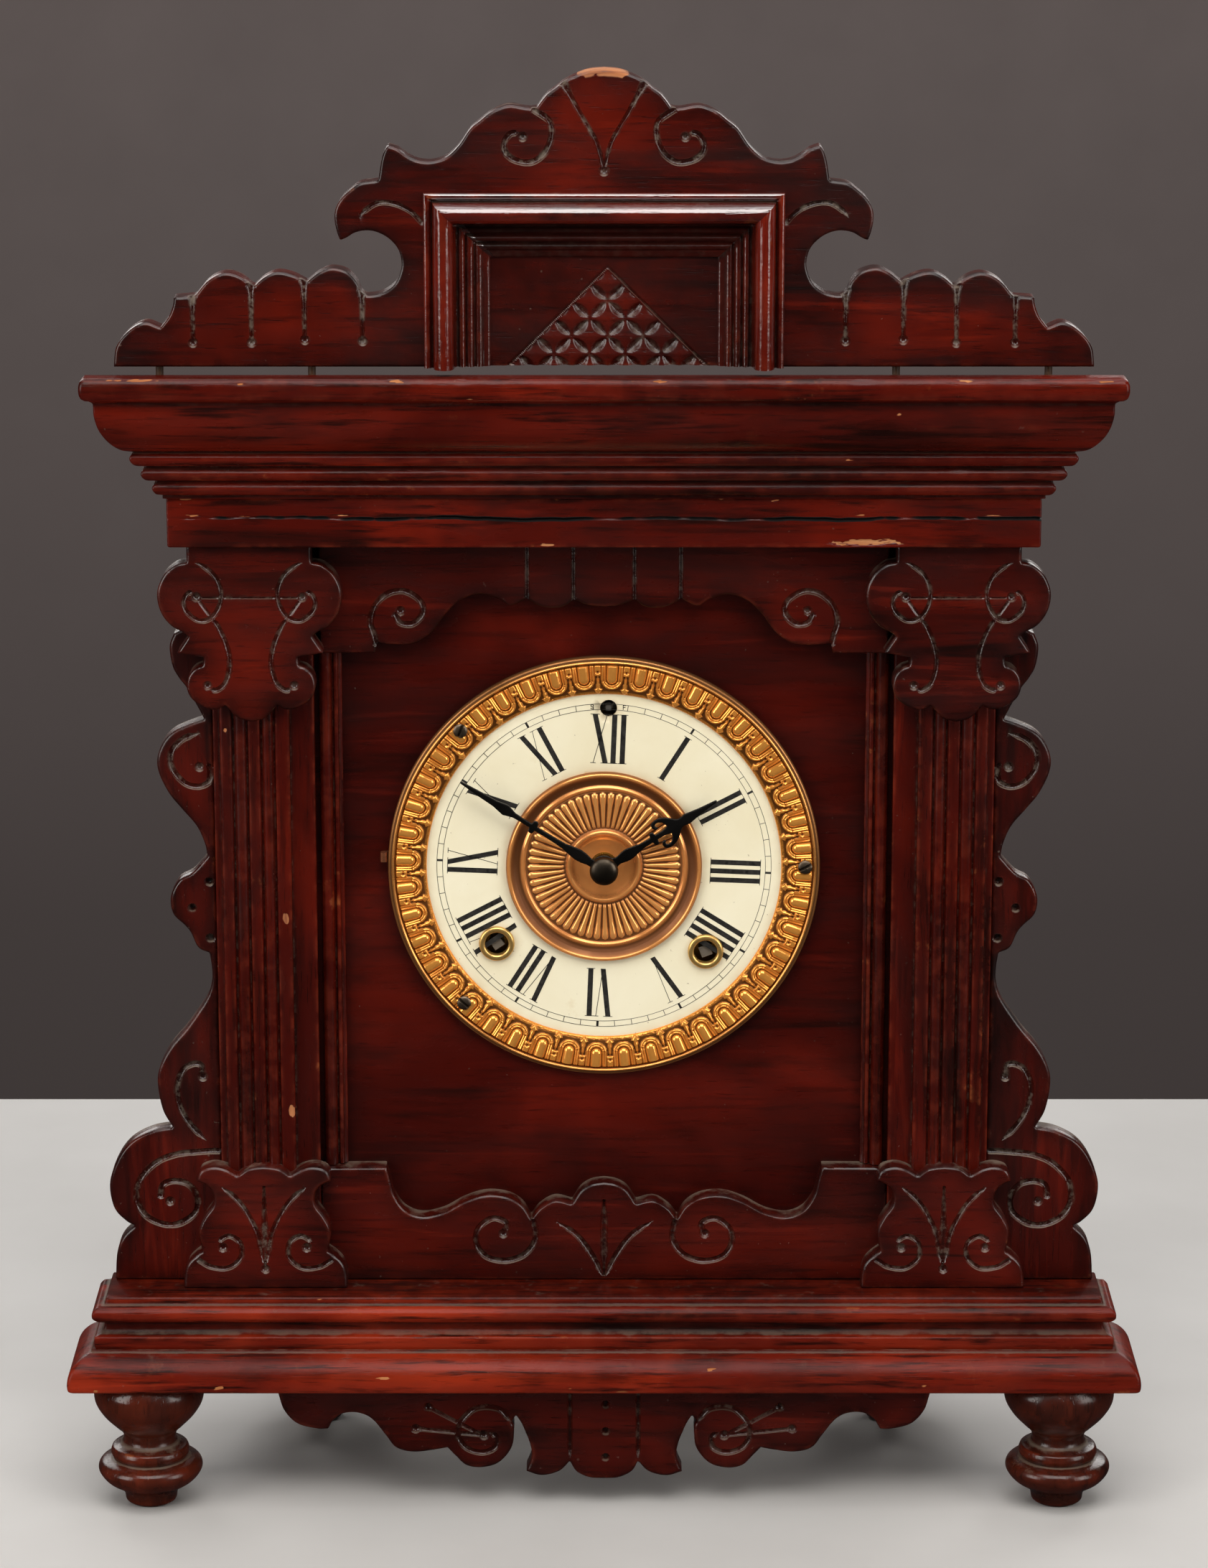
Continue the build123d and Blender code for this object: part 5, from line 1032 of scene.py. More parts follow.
pl_lines, pl_dots = [groove([(0, 124.4), (0, 93.2)], 1.2, 1.2, curve=False, wide=([0, 0.3, 0.55, 1], [0.6, 1.0, 1.5, 0.5]))], [(0.1, 91.8, 1.8, 1.4)]
for k in (-1, 1):
    q = [(-15.8, 124.4), (-11.0, 120.4), (-6.8, 114.7), (-2.9, 106.4), (-1.3, 99.0), (-0.4, 94.0)]
    pl_lines.append(groove([(-k * x, z) for x, z in q], 1.1, 1.1, (4, 3)))
    q = [(-24.8, 95.2), (-20.3, 92.6), (-13.8, 92.3), (-9.1, 96.6), (-9.5, 102.4), (-13.5, 105.0), (-17.6, 103.0)]
    pl_lines.append(groove([(-k * x, z) for x, z in q], 1.1, 1.1, (0, 1)))
    pl_dots.append((-k * -15.8, 100.4, 1.9, 1.5))
pl = run(PLINTH + [], 0.6)
pl = np.vstack([pl, run([[(-30.8, 84), (30.8, 84)]], 0.6)[1:], run(mirrored(PLINTH), 0.6)[1:]])[:-1]
unit = carved(pl, -18, -8.35, pl_lines, pl_dots, rim=1.2, seed=26)
pair = Shape()
for k in (-1, 1):
    pair.add_shape(unit, lambda x, y, z: (x + k * 128.0, y, z))
pair.out("carved_plinths", W_X, "case", "plinths", "dark_wood")


def upright(profile, z0, z1, pitch=3.0, seed=1, wear=0.06, chips=()):
    """Straight moulding standing up: closed (X, depth) section drawn with the front towards -Y."""
    p, out, cav, edge = section(profile, 0.3)
    n = len(p)
    zs = np.linspace(z0, z1, int((z1 - z0) / pitch) + 1)
    verts, faces, cv, ed, br = [], [], [], [], []
    for j, z in enumerate(zs):
        gone = np.zeros(n)
        for x0, zc, hx, hz, dep in chips:
            u = ((p[:, 0] - x0) / hx) ** 2 + ((z - zc) / hz) ** 2
            gone = np.maximum(gone, np.clip(1.1 - u + 0.4 * wobble(np.arange(n) * 0.4 + z * 0.9, seed + 9), 0, 1) * (p[:, 1] < -8.0) * (u < 1.6))
        w = wear * edge * (0.5 + 0.5 * wobble(np.full(n, z * 0.1) + np.arange(n) * 0.02, seed))
        w = w + 0.03 * wobble(np.full(n, z * 0.04) + np.arange(n) * 0.004, seed + 5)
        w = w + 0.35 * gone
        q = p - out * w[:, None]
        verts += [(x, y, z) for x, y in q]
        cv += list(cav)
        ed += list(edge)
        br += list(gone)
    m = len(zs)
    for j in range(m - 1):
        for k in range(n):
            l = (k + 1) % n
            faces.append((j * n + k, j * n + l, (j + 1) * n + l, (j + 1) * n + k))
    faces.append(list(range(n))[::-1])
    faces.append([(m - 1) * n + k for k in range(n)])
    sh = Shape()
    sh.add(verts, faces, cav=cv, edge=ed, bare=br)
    return sh


def bead(x0, x1, y, rise):
    c, h = (x0 + x1) / 2, (x1 - x0) / 2
    return [(c - h * math.cos(a), y - rise * math.sin(a)) for a in np.linspace(0, math.pi, 9)]


PIL_Y = -12.4
pil = [
    [(-144.6, 0), (-144.6, -8.0)], [(-144.6, -8.0), (-144.2, -8.4)], [(-144.2, -8.4), (-141.7, -8.4)], [(-141.7, -8.4), (-141.7, -11.8)], [(-141.7, -11.8), (-141.1, PIL_Y)],
    [(-141.1, PIL_Y), (-137.7, PIL_Y)], [(-137.7, PIL_Y), (-136.9, PIL_Y + 1.3)], [(-136.9, PIL_Y + 1.3), (-136.1, PIL_Y + 0.5)],
    bead(-136.1, -132.3, PIL_Y + 0.5, 1.1),
    [(-132.3, PIL_Y + 0.5), (-131.7, PIL_Y + 1.3)], [(-131.7, PIL_Y + 1.3), (-131.0, PIL_Y)], [(-131.0, PIL_Y), (-127.3, PIL_Y)], [(-127.3, PIL_Y), (-126.5, PIL_Y + 1.3)], [(-126.5, PIL_Y + 1.3), (-125.8, PIL_Y + 0.5)],
    bead(-125.8, -122.4, PIL_Y + 0.5, 1.1),
    [(-122.4, PIL_Y + 0.5), (-121.7, PIL_Y + 1.3)], [(-121.7, PIL_Y + 1.3), (-121.0, PIL_Y)], [(-121.0, PIL_Y), (-116.6, PIL_Y)], [(-116.6, PIL_Y), (-116.0, -11.8)],
    [(-116.0, -11.8), (-116.0, -8.4)], [(-116.0, -8.4), (-107.5, -8.4)], [(-107.5, -8.4), (-107.0, -7.9)], [(-107.0, -7.9), (-107.0, 0)], [(-107.0, 0), (-144.3, 0)],
]
unit = upright(pil, 84.0, 370.7, pitch=1.5, seed=31, chips=[(-118.4, 228.0, 1.5, 2.6, 0.4), (-117.2, 152.6, 1.6, 2.8, 0.4), (-139.6, 300.0, 0.8, 1.6, 0.25)])
pair = Shape()
pair.add(unit.v, unit.f, unit.a["cav"], unit.a["edge"], unit.a["bare"])
unit.a["bare"] = [0.0] * len(unit.v)
pair.add_mirror(unit)
pair.out("fluted_pilasters", W_PIL, "case", "pilasters", "dark_wood", angle=50)

jamb = [
    [(-105.6, 0), (-105.6, -2.4)],
    [(-105.6, -2.4), (-105.2, -4.0), (-104.2, -5.1), (-103.0, -5.4), (-101.8, -5.1), (-100.9, -4.0), (-100.6, -2.6)],
    [(-100.6, -2.6), (-100.2, -2.2)],
    [(-100.2, -2.2), (-99.8, -3.2), (-99.1, -3.4), (-98.5, -3.1), (-98.2, -2.2)],
    [(-98.2, -2.2), (-97.0, -1.7)], [(-97.0, -1.7), (-96.8, 0)], [(-96.8, 0), (-105.3, 0)],
]
unit = upright(jamb, 129.0, 328.2, seed=32)
pair = Shape()
pair.add(unit.v, unit.f, unit.a["cav"], unit.a["edge"])
pair.add_mirror(unit)
pair.out("jamb_beads", W_PIL, "case", "jamb_strips", "dark_wood", angle=50)


def plank(x0, x1, z0, z1, thick, holes=(), rim=0.9, grid=7.0, seed=1):
    """Plain board with eased edges, lying in the facade plane, front at depth 0."""
    edge = run([[(x0, z0), (x1, z0)], [(x1, z0), (x1, z1)], [(x1, z1), (x0, z1)], [(x0, z1), (x0, z0)]], 1.5)[:-1]
    return carved(edge, 0.0, thick, rim=rim, grid=grid, step=1.6, holes=holes, seed=seed)


panel = plank(-146.0, 146.0, 50.8, 410.0, 8.0, holes=[(0, DIAL_Z, 66.0)], grid=4.0, seed=71)
pv = np.array(panel.v)
near_low, _ = nearest(resample(low, 0.6), pv[:, [0, 2]])
near_upp, _ = nearest(resample(upp, 0.6), pv[:, [0, 2]])
away = np.minimum(np.minimum(near_low, near_upp), np.abs(96.8 - np.abs(pv[:, 0])))
around = np.clip(np.hypot(pv[:, 0], pv[:, 2] - DIAL_Z) - 80.6, 0, None)
# Painted shade on the panel's front: darker near the friezes and the jamb lines and round the dial rim.
panel.a["shade"] = list(np.maximum(0.75 * np.exp(-away / 9.0), 0.6 * np.exp(-around / 5.0)) * (pv[:, 1] < 2.0))
panel.out("dial_panel", W_PANEL, "case", "front_panel", "dark_wood")

sides = Shape()
board_side = plank(8.0, 79.0, 50.8, 402.0, 8.0, seed=72)
sides.add_shape(board_side, lambda x, y, z: (146.0 - y, x, z))
board_side = plank(-79.0, -8.0, 50.8, 402.0, 8.0, seed=73)
sides.add_shape(board_side, lambda x, y, z: (y - 146.0, -x, z))
sides.out("box_sides", W_CASE, "case", "case_sides", "case_wood")
top = Shape()
top.add_shape(plank(-146.0, 146.0, 8.0, 85.0, 8.0, seed=74), lambda x, y, z: (x, z, 410.0 - y))
top.out("box_top", W_CASE_X, "case", "case_top", "case_wood")


def turned_round(x, y, z):
    return (-x, 85.0 - y, z)


back = Shape()
back.add_shape(plank(100.0, 146.0, 50.8, 402.0, 6.0, seed=75), turned_round)
back.add_shape(plank(-146.0, -100.0, 50.8, 402.0, 6.0, holes=[(-108.0, DIAL_Z, 1.25)], seed=76), turned_round)
back.add_shape(plank(-100.0, 100.0, 380.5, 402.0, 6.0, seed=77), turned_round)
back.add_shape(plank(-100.0, 100.0, 50.8, 91.5, 6.0, seed=78), turned_round)
back.out("box_back_frame", W_CASE, "case", "back_frame", "case_wood")
door = Shape()
door_lines = [groove([(x, 98.0), (x, 374.0)], 0.55, 0.7, curve=False) for x in (-49.7, 0.0, 49.7)]
door_edge = run([[(-99.5, 92.0), (99.5, 92.0)], [(99.5, 92.0), (99.5, 380.0)], [(99.5, 380.0), (-99.5, 380.0)], [(-99.5, 380.0), (-99.5, 92.0)]], 1.5)[:-1]
door.add_shape(carved(door_edge, 0.0, 6.0, door_lines, [(-84.0, DIAL_Z, 5.0, 3.0)], rim=0.9, grid=6.0, step=1.6, seed=79), turned_round)
door.out("box_back_door", W_CASE, "back_door", "back_door", "case_wood")


moulding(ARCHITRAVE, 158.6, -22.0, 0.0, corner=0.7, step=0.16, seed=13, nicks=6, crack=(381.4, 0.5, 1.8), chips=[(96.4, 372.6, 15.0, 1.5, 0.5), (62.0, 388.0, 3.0, 0.7, 0.2), (-20.0, 371.6, 4.0, 0.7, 0.2), (-150.0, 382.5, 4.0, 0.45, 0.15), (-131.0, 382.2, 5.0, 0.40, 0.15), (-96.0, 382.6, 3.0, 0.40, 0.15), (-58.0, 382.3, 3.4, 0.35, 0.12), (18.0, 382.4, 3.0, 0.35, 0.12), (92.0, 382.6, 4.0, 0.40, 0.15), (141.0, 382.4, 4.5, 0.40, 0.15)]).out("architrave_board", W_ARCH, "case", "architrave", "dark_wood")
moulding(CORNICE, 158.6, -22.0, 0.0, corner=0.8, seed=14, nicks=8, chips=[(104.9, 423.8, 2.4, 1.0, 0.2), (88.0, 405.2, 2.0, 0.7, 0.15)]).out("cornice_bowl", W_CORN, "case", "cornice_moulding", "dark_wood")
moulding(STRIP, 158.6, -22.0, -39.6, corner=1.6, seed=15, nicks=12, wear=0.3, chips=[(-73.9, 436.4, 5.0, 0.7, 0.3), (128.1, 436.4, 4.5, 0.7, 0.3), (178.0, 436.3, 4.0, 0.8, 0.4), (-168.0, 436.6, 11.0, 0.6, 0.1), (-128.0, 435.2, 3.0, 0.6, 0.2), (20.0, 436.4, 3.4, 0.6, 0.2), (70.0, 430.0, 2.2, 0.6, 0.2)]).out("cornice_cap", W_STRIP, "case", "cornice_strip", "dark_wood")

# ------------------------------------------------------------------ crest
crest_lines = [groove([(-k * 14.4, 540.2), (-k * 13.2, 538.0), (-k * 8.4, 529.3), (-k * 2.9, 519.7), (-k * 0.2, 510.6)], 1.0, 1.0, wide=([0, 0.12, 0.4, 1], [1.7, 1.2, 0.95, 0.9])) for k in (1, -1)]
crest_dots = [(0.0, 509.2, 1.9, 1.5)]
for k in (-1, 1):
    q = [(-24.6, 530.6), (-19.3, 526.7), (-18.6, 521.1), (-20.9, 515.6), (-25.5, 512.3), (-31.0, 512.8), (-34.8, 515.6), (-35.1, 519.4), (-33.0, 522.2), (-30.2, 522.7)]
    crest_lines.append(groove([(-k * x, z) for x, z in q], 1.2, 1.2, (0, 1)))
    crest_dots.append((-k * -28.7, 521.2, 1.8, 1.5))
    q = [(-86.6, 492.8), (-84.7, 495.0), (-80.1, 497.8), (-74.3, 497.6), (-68.7, 495.0), (-64.6, 491.0)]
    crest_lines.append(groove([(-k * x, z) for x, z in q], 1.0, 1.0, (3, 0)))
    for x, top, low_z in ((-146.4, 463.6, 449.2), (-125.5, 466.8, 449.2), (-106.6, 468.4, 450.2), (-86.0, 465.4, 449.8)):
        crest_lines.append(groove([(-k * x, top + 1.5), (-k * x, low_z)], 0.95, 1.1, wide=([0, 0.15, 0.45, 1], [1.9, 1.35, 1.0, 0.85])))
        crest_dots.append((-k * x, low_z - 1.2, 1.8, 1.5))

TRI_TOP, TRI_LOW, TRI_HALF, CHIP = 474.6, 438.6, 36.0, 6.4
STAR_X, STAR_Z = 1.3, 468.9


def chip_pattern(P):
    """Chip-carved triangle: leaf-shaped hollows between four-pointed stars, inside an incised border, on a sunk panel."""
    x, z = P[:, 0], P[:, 1]
    inside = (np.abs(x) < 53.0) & (z < 490.7)
    x = x - STAR_X
    panel = np.where(inside, 3.2, 0.0)
    slope = TRI_HALF / (TRI_TOP - TRI_LOW)
    d = ((TRI_TOP - z) * slope - np.abs(x)) / math.hypot(1, slope)
    a, b = x / CHIP, (STAR_Z - z) / CHIP
    cut, fill = np.zeros(len(P)), np.zeros(len(P))
    for sgn in (1, -1):
        u = (a * sgn + b) / 2
        w = (a * sgn - b) / 2
        uu = u - 0.5 - np.floor(u - 0.5)
        along = uu
        wc = w - 0.5 - np.round(w - 0.5)
        half = 0.225 * np.sin(math.pi * along) ** 0.85 + 0.010
        q = np.abs(wc) / half
        cut = np.maximum(cut, 1.9 * np.clip(1 - q ** 1.5, 0, 1) * np.sin(math.pi * along) ** 0.6)
        fill = np.maximum(fill, np.clip(1.1 - q, 0, 1))
    inner = np.clip((d - 0.5) / 0.4, 0, 1)
    border = np.clip(1 - np.abs(d) / 0.7, 0, 1)
    ca, cb = a - np.round((a + b) / 2) - np.round((a - b) / 2), b - np.round((a + b) / 2) + np.round((a - b) / 2)
    pillow = 0.9 * np.clip(np.abs(ca) + np.abs(cb) - 0.12, 0, 1)
    total = panel + np.where(inside, np.maximum(np.maximum(cut, pillow) * inner, 0.9 * border), 0)
    f = np.where(inside, np.maximum(0.55 * fill * inner, 0.5 * border), 0)
    return total, f


gx, gz = np.meshgrid(np.arange(-38.0, 38.01, 0.46), np.arange(441.0, 477.0, 0.46))
tri = np.c_[gx.ravel(), gz.ravel()]
tri = tri[np.abs(tri[:, 0] - STAR_X) < (TRI_TOP - tri[:, 1]) + 2.2]
frame_edge = [(s * 53.0 + e, z) for s in (-1, 1) for e in (-0.25, 0.25) for z in np.arange(440.6, 490.4, 1.2)] + [(x, 490.7 + e) for e in (-0.25, 0.25) for x in np.arange(-53, 53, 1.2)]
crest = run(CREST + [[(-175, 439.3), (175, 439.3)]] + mirrored(CREST), 0.6)[:-1]
board = carved(crest, -36, -26, crest_lines, crest_dots, rim=1.0, seed=27, extra=chip_pattern, extra_pts=np.vstack([tri, frame_edge]), ledge=0.25, edge_shade=(0.95, 7.0))
bv = np.array(board.v)
worn = np.clip(1.6 - ((bv[:, 0] + 1.0) / 12.0) ** 2, 0, 1) * np.clip((bv[:, 2] - 541.6 - 1.5 * wobble(bv[:, 0] * 0.33, 77)) / 1.1, 0, 1)
board.a["bare"] = list(worn * 0.55)
# Painted shade on the sunk panel: darker the deeper it lies, so the hollows in the triangle are darker than the star
# tops.
sunk_in = (np.abs(bv[:, 0]) < 53.0) & (bv[:, 2] < 490.7) & (bv[:, 1] > -33.4) & (bv[:, 1] < -29.0)
in_tri = np.abs(bv[:, 0] - STAR_X) < (TRI_TOP - bv[:, 2])
recess_shade = np.where(in_tri, 0.20 + 0.55 * np.clip((bv[:, 1] + 32.8) / 1.2, 0, 1), 0.72)
# Soft large patches of darker tone, mixed into the same shade values.
clouds = np.sin(bv[:, 0] * 0.083 + 1.1 * np.sin(bv[:, 2] * 0.061)) * np.sin(bv[:, 2] * 0.117 + 0.9 * np.sin(bv[:, 0] * 0.047)) + 0.5 * np.sin(bv[:, 0] * 0.21 + bv[:, 2] * 0.16)
shade = np.maximum(np.array(board.a["shade"]), 0.55 * np.clip(0.25 + 0.6 * clouds, 0, 1))
board.a["shade"] = list(np.where(sunk_in, recess_shade, shade))
board.out("carved_crest", W_CREST, "case", "crest_board", "dark_wood")

# frame round the panel: section as (distance in from the outer edge, height above the crest board)
FRAME = [
    [(0.0, 0.0), (0.0, 2.4)], [(0.0, 2.4), (0.3, 3.2), (1.2, 3.6), (2.0, 3.2), (2.4, 2.4)], [(2.4, 2.4), (2.9, 1.6)], [(2.9, 1.6), (3.3, 2.4)],
    [(3.3, 2.4), (3.5, 5.2), (4.6, 7.7), (6.4, 8.9), (8.4, 8.6), (10.0, 7.0), (10.6, 4.8)],
    [(10.6, 4.8), (10.9, 1.2)], [(10.9, 1.2), (11.4, -0.3), (12.2, -0.8)], [(12.2, -0.8), (12.7, 0.3), (13.5, 0.7), (14.3, 0.2), (14.7, -0.8)],
    [(14.7, -0.8), (15.1, -1.0)], [(15.1, -1.0), (15.6, 0.0), (16.5, 0.4), (17.3, -0.1), (17.7, -1.1)], [(17.7, -1.1), (18.2, -1.5)], [(18.2, -1.5), (18.8, -0.7), (19.6, -0.5), (20.4, -0.9), (20.8, -1.6)],
    [(20.8, -1.6), (22.8, -1.9)], [(22.8, -1.9), (23.4, -2.4)], [(23.4, -2.4), (23.5, -3.2)],
]


def crest_frame():
    p, out, cav, edge = section(FRAME, 0.3)
    out = -out
    p0, o0, cav, edge = section([[(a, -h) for a, h in s] for s in FRAME], 0.3)
    n = len(p)
    legs = []
    for i in range(17):
        legs.append(("L", i / 16))
    for i in range(1, 41):
        legs.append(("T", i / 40))
    for i in range(1, 17):
        legs.append(("R", i / 16))
    verts, cv, ed, sd = [], [], [], []
    for kind, u in legs:
        for k in range(n):
            a, h = p[k]
            top, x = 501.7 - a, 64.0 - a
            if kind == "L":
                q = (-x, 439.3 + (top - 439.3) * u)
            elif kind == "T":
                q = (-x + 2 * x * u, top)
            else:
                q = (x, top + (439.3 - top) * u)
            verts.append((q[0], -36.0 - h, q[1]))
        # Painted shadow: the top rail's steps inside the roll get raised cav and shade values and lose their edge
        # sheen; the legs' steps a little.
        low = np.clip((p[:, 0] - 10.2) / 1.5, 0, 1)
        cv += list(np.maximum(np.clip(cav, 0, 1), low * (0.85 if kind == "T" else 0.25)))
        ed += list(np.clip(edge, 0, 1) * (1 - low if kind == "T" else 1))
        sd += list(low * (0.60 if kind == "T" else 0.3))
    m = len(legs)
    faces = []
    for c in range(m - 1):
        for k in range(n - 1):
            faces.append((c * n + k, c * n + k + 1, (c + 1) * n + k + 1, (c + 1) * n + k))
    base = len(verts)
    back_in, back_out = [], []
    for c in range(m):
        a, b = verts[c * n], verts[c * n + n - 1]
        verts += [(a[0], -36.0, a[2]), (b[0], -32.75, b[2])]
        cv += [0, 0]
        ed += [0, 0]
        sd += [0, 0]
    for c in range(m - 1):
        f, g = base + 2 * c, base + 2 * c + 2
        faces.append((f, c * n, (c + 1) * n, g))
        faces.append((c * n + n - 1, f + 1, g + 1, (c + 1) * n + n - 1))
        faces.append((f + 1, f, g, g + 1))
    for c, flip in ((0, False), (m - 1, True)):
        loop = [base + 2 * c] + [c * n + k for k in range(n)] + [base + 2 * c + 1]
        faces.append(loop if flip else loop[::-1])
    sh = Shape()
    sh.add(verts, faces, cav=cv, edge=ed, shade=sd)
    return sh


frame_shape = crest_frame()
frame_ob = frame_shape.out("crest_panel_frame", W_FRAME, "case", "crest_frame", "dark_wood", angle=48)
frame_ob.data.materials.append(W_STEP)
frame_ob.data.materials.append(W_LEG)
# Faces on the top rail's steps, under the roll's painted shadow, take the step copy; faces on the legs take the leg
# copy.
for poly in frame_ob.data.polygons:
    if len(poly.vertices) == 4 and min(frame_shape.a["shade"][i] for i in poly.vertices) > 0.5:
        poly.material_index = 1
    elif 64.0 - abs(poly.center.x) / MM < 501.7 - poly.center.z / MM:
        poly.material_index = 2

# ------------------------------------------------------------------ dial
rim_profile = [(78.1, 0.0), (78.1, -3.6), (78.3, -4.2), (78.7, -4.45), (79.1, -4.3), (79.35, -3.9), (79.5, -3.5), (79.8, -3.45), (80.2, -3.3), (80.45, -3.0), (80.58, -2.5), (80.6, 0.0)]
v, f = lathe_y(rim_profile, seg=300)
sh = Shape()
# Rim: the rounded top painted lighter, a painted highlight; the foot and the inner step darker, tarnish with painted
# shade.
sh.add(v, [g[::-1] for g in f], edge=np.tile([0, 0.3, 0.9, 1.0, 0.9, 0.4, 0, 0.1, 0.25, 0.4, 0.2, 0], 300), cav=np.tile([1, 0.6, 0, 0, 0, 0.3, 0.8, 0.4, 0.2, 0.2, 0.4, 0.9], 300))
sh.out("gilt_rim", COPPER, "case", "dial_rim", "gilt_brass")

stub = [
    [(-82.4, -0.1), (-83.2, -0.8), (-83.5, -1.9), (-83.2, -2.9), (-82.2, -3.3), (-81.2, -2.9), (-80.85, -1.9), (-81.2, -0.9)],
    [(-81.2, -0.9), (-78.8, -0.9)], [(-78.8, -0.9), (-78.8, 0.0)], [(-78.8, 0.0), (-82.1, 0.0)],
]
EGGS = 44
RING_R = 73.0


def ring_height(r, c):
    """Embossing on the ring: height towards the viewer and darkening, at radius r and place c (mm) across one repeat;
    the darkening is tarnish with painted shade in the recesses.
    """
    half = math.pi * RING_R / EGGS
    x = np.abs(c)
    h = np.zeros_like(r)

    def ridge(dist, w, top):
        return top * np.sqrt(np.clip(1 - (dist / w) ** 2, 0, 1))

    def loop(wide, low, high, w, top):
        """U-shaped loop closed towards the dial centre, legs running out to the rim."""
        yy = np.minimum(r - high, 0)
        legs = wide + 0.05 * np.maximum(r - high, 0)
        e = np.hypot(x / legs, yy / (high - low))
        dist = np.abs(e - 1) * np.where(yy < 0, np.minimum(legs, high - low), legs)
        return ridge(dist, w, top)

    end = np.clip((77.75 - r) / 0.35, 0, 1) ** 0.5
    h = np.maximum(h, loop(3.55, 68.75, 72.5, 0.43, 0.80) * end)
    h = np.maximum(h, loop(2.66, 69.60, 72.5, 0.41, 0.72) * end)
    e = np.hypot(x / 1.98, np.minimum(r - 72.5, 0) / 2.05)
    h = np.maximum(h, 1.55 * np.sqrt(np.clip(1 - e ** 2, 0, 1)) * end)
    dx = np.abs(half * r / RING_R - x)
    block = 0.62 * np.clip((1.12 - dx) / 0.18, 0, 1) * np.clip((r - 73.5) / 0.3, 0, 1) * end
    block = block - 0.75 * np.clip(1 - (np.hypot(dx, r - 75.0) / 0.78) ** 2, 0, 1)
    h = np.where((dx < 1.15) & (r > 73.4), np.maximum(h, block), h)
    wide = np.interp(r, [66.6, 67.2, 68.3, 68.5, 68.9, 70.0, 73.3], [0.02, 0.75, 1.55, 1.2, 0.62, 0.66, 0.22])
    dart = 0.85 * np.sqrt(np.clip(1 - (dx / wide) ** 2, 0, 1)) * ((r > 66.6) & (r < 73.5))
    h = np.maximum(h, dart)
    # Low ground between the raised work darkened: tarnish with painted shade.
    dirt_and_shade = np.clip(0.98 - h * 2.2, 0, 1) * np.clip((r - 67.0) / 0.6, 0, 1) * np.clip((77.95 - r) / 0.25, 0, 1)
    return h, dirt_and_shade


def dial_ring():
    per = 34
    m = EGGS * per
    radii = np.r_[np.linspace(66.2, 68.6, 16), np.linspace(68.76, 77.6, 56), np.linspace(77.72, 78.1, 4)]
    n = len(radii)
    t = np.arange(m) * 2 * math.pi / m
    c = ((np.arange(m) / per + 0.5) % 1.0 - 0.5) * 2 * math.pi * RING_R / EGGS
    R, C = np.meshgrid(radii, c)
    C = C * R / RING_R
    h, dirt_and_shade = ring_height(R, C)
    T = np.repeat(t[:, None], n, 1)
    base = np.interp(R, [66.2, 66.45, 66.9, 67.8, 68.8, 72.5, 75.6, 77.3, 77.7, 78.1], [1.25, 1.85, 2.2, 2.5, 2.7, 3.15, 3.35, 3.35, 3.1, 2.7])
    band = np.clip((R - 66.4) / 0.2, 0, 1) * np.clip((67.7 - R) / 0.3, 0, 1)
    grain = np.sin(R * 8.6 + 2.0 * np.sin(T * 151.0)) * np.sin(T * 331.0 + 1.7 * np.sin(R * 5.1)) + 0.5 * np.sin(R * 15.0 + T * 97.0) * np.sin(T * 523.0)
    h = h + 0.15 * grain * band * (h < 0.3)
    dirt_and_shade = np.maximum(dirt_and_shade, band * np.clip(0.40 - 0.55 * grain, 0, 0.75))
    Y = -(base + h * 0.95)
    verts = []
    for i in range(m):
        a = t[i] + DIAL_TURN
        s, k = math.sin(a), math.cos(a)
        for j in range(n):
            verts.append((radii[j] * s, Y[i, j], DIAL_Z + radii[j] * k))
    faces = []
    for i in range(m):
        q = (i + 1) % m
        for j in range(n - 1):
            faces.append((i * n + j, q * n + j, q * n + j + 1, i * n + j + 1))
    cav = np.clip(dirt_and_shade, 0, 1)
    # High points lighter: painted highlight, with rubbed-bright gilt.
    edge = np.clip(h / 0.8 - 0.35, 0, 1)
    o = len(verts)
    for i in range(m):
        a = t[i] + DIAL_TURN
        s, k = math.sin(a), math.cos(a)
        verts.append((66.2 * s, -1.2, DIAL_Z + 66.2 * k))
        verts.append((78.1 * s, -1.2, DIAL_Z + 78.1 * k))
    for i in range(m):
        q = (i + 1) % m
        faces.append((i * n, o + 2 * i, o + 2 * q, q * n))
        faces.append((i * n + n - 1, q * n + n - 1, o + 2 * q + 1, o + 2 * i + 1))
        faces.append((o + 2 * i, o + 2 * i + 1, o + 2 * q + 1, o + 2 * q))
    sh = Shape()
    sh.add(verts, faces, cav=list(cav.ravel()) + [0.8] * 2 * m, edge=list(edge.ravel()) + [0] * 2 * m)
    return sh


dial_ring().out("embossed_ring", GILT, "case", "dial_ring", "gilt_brass", angle=60)

FLUTES = 56


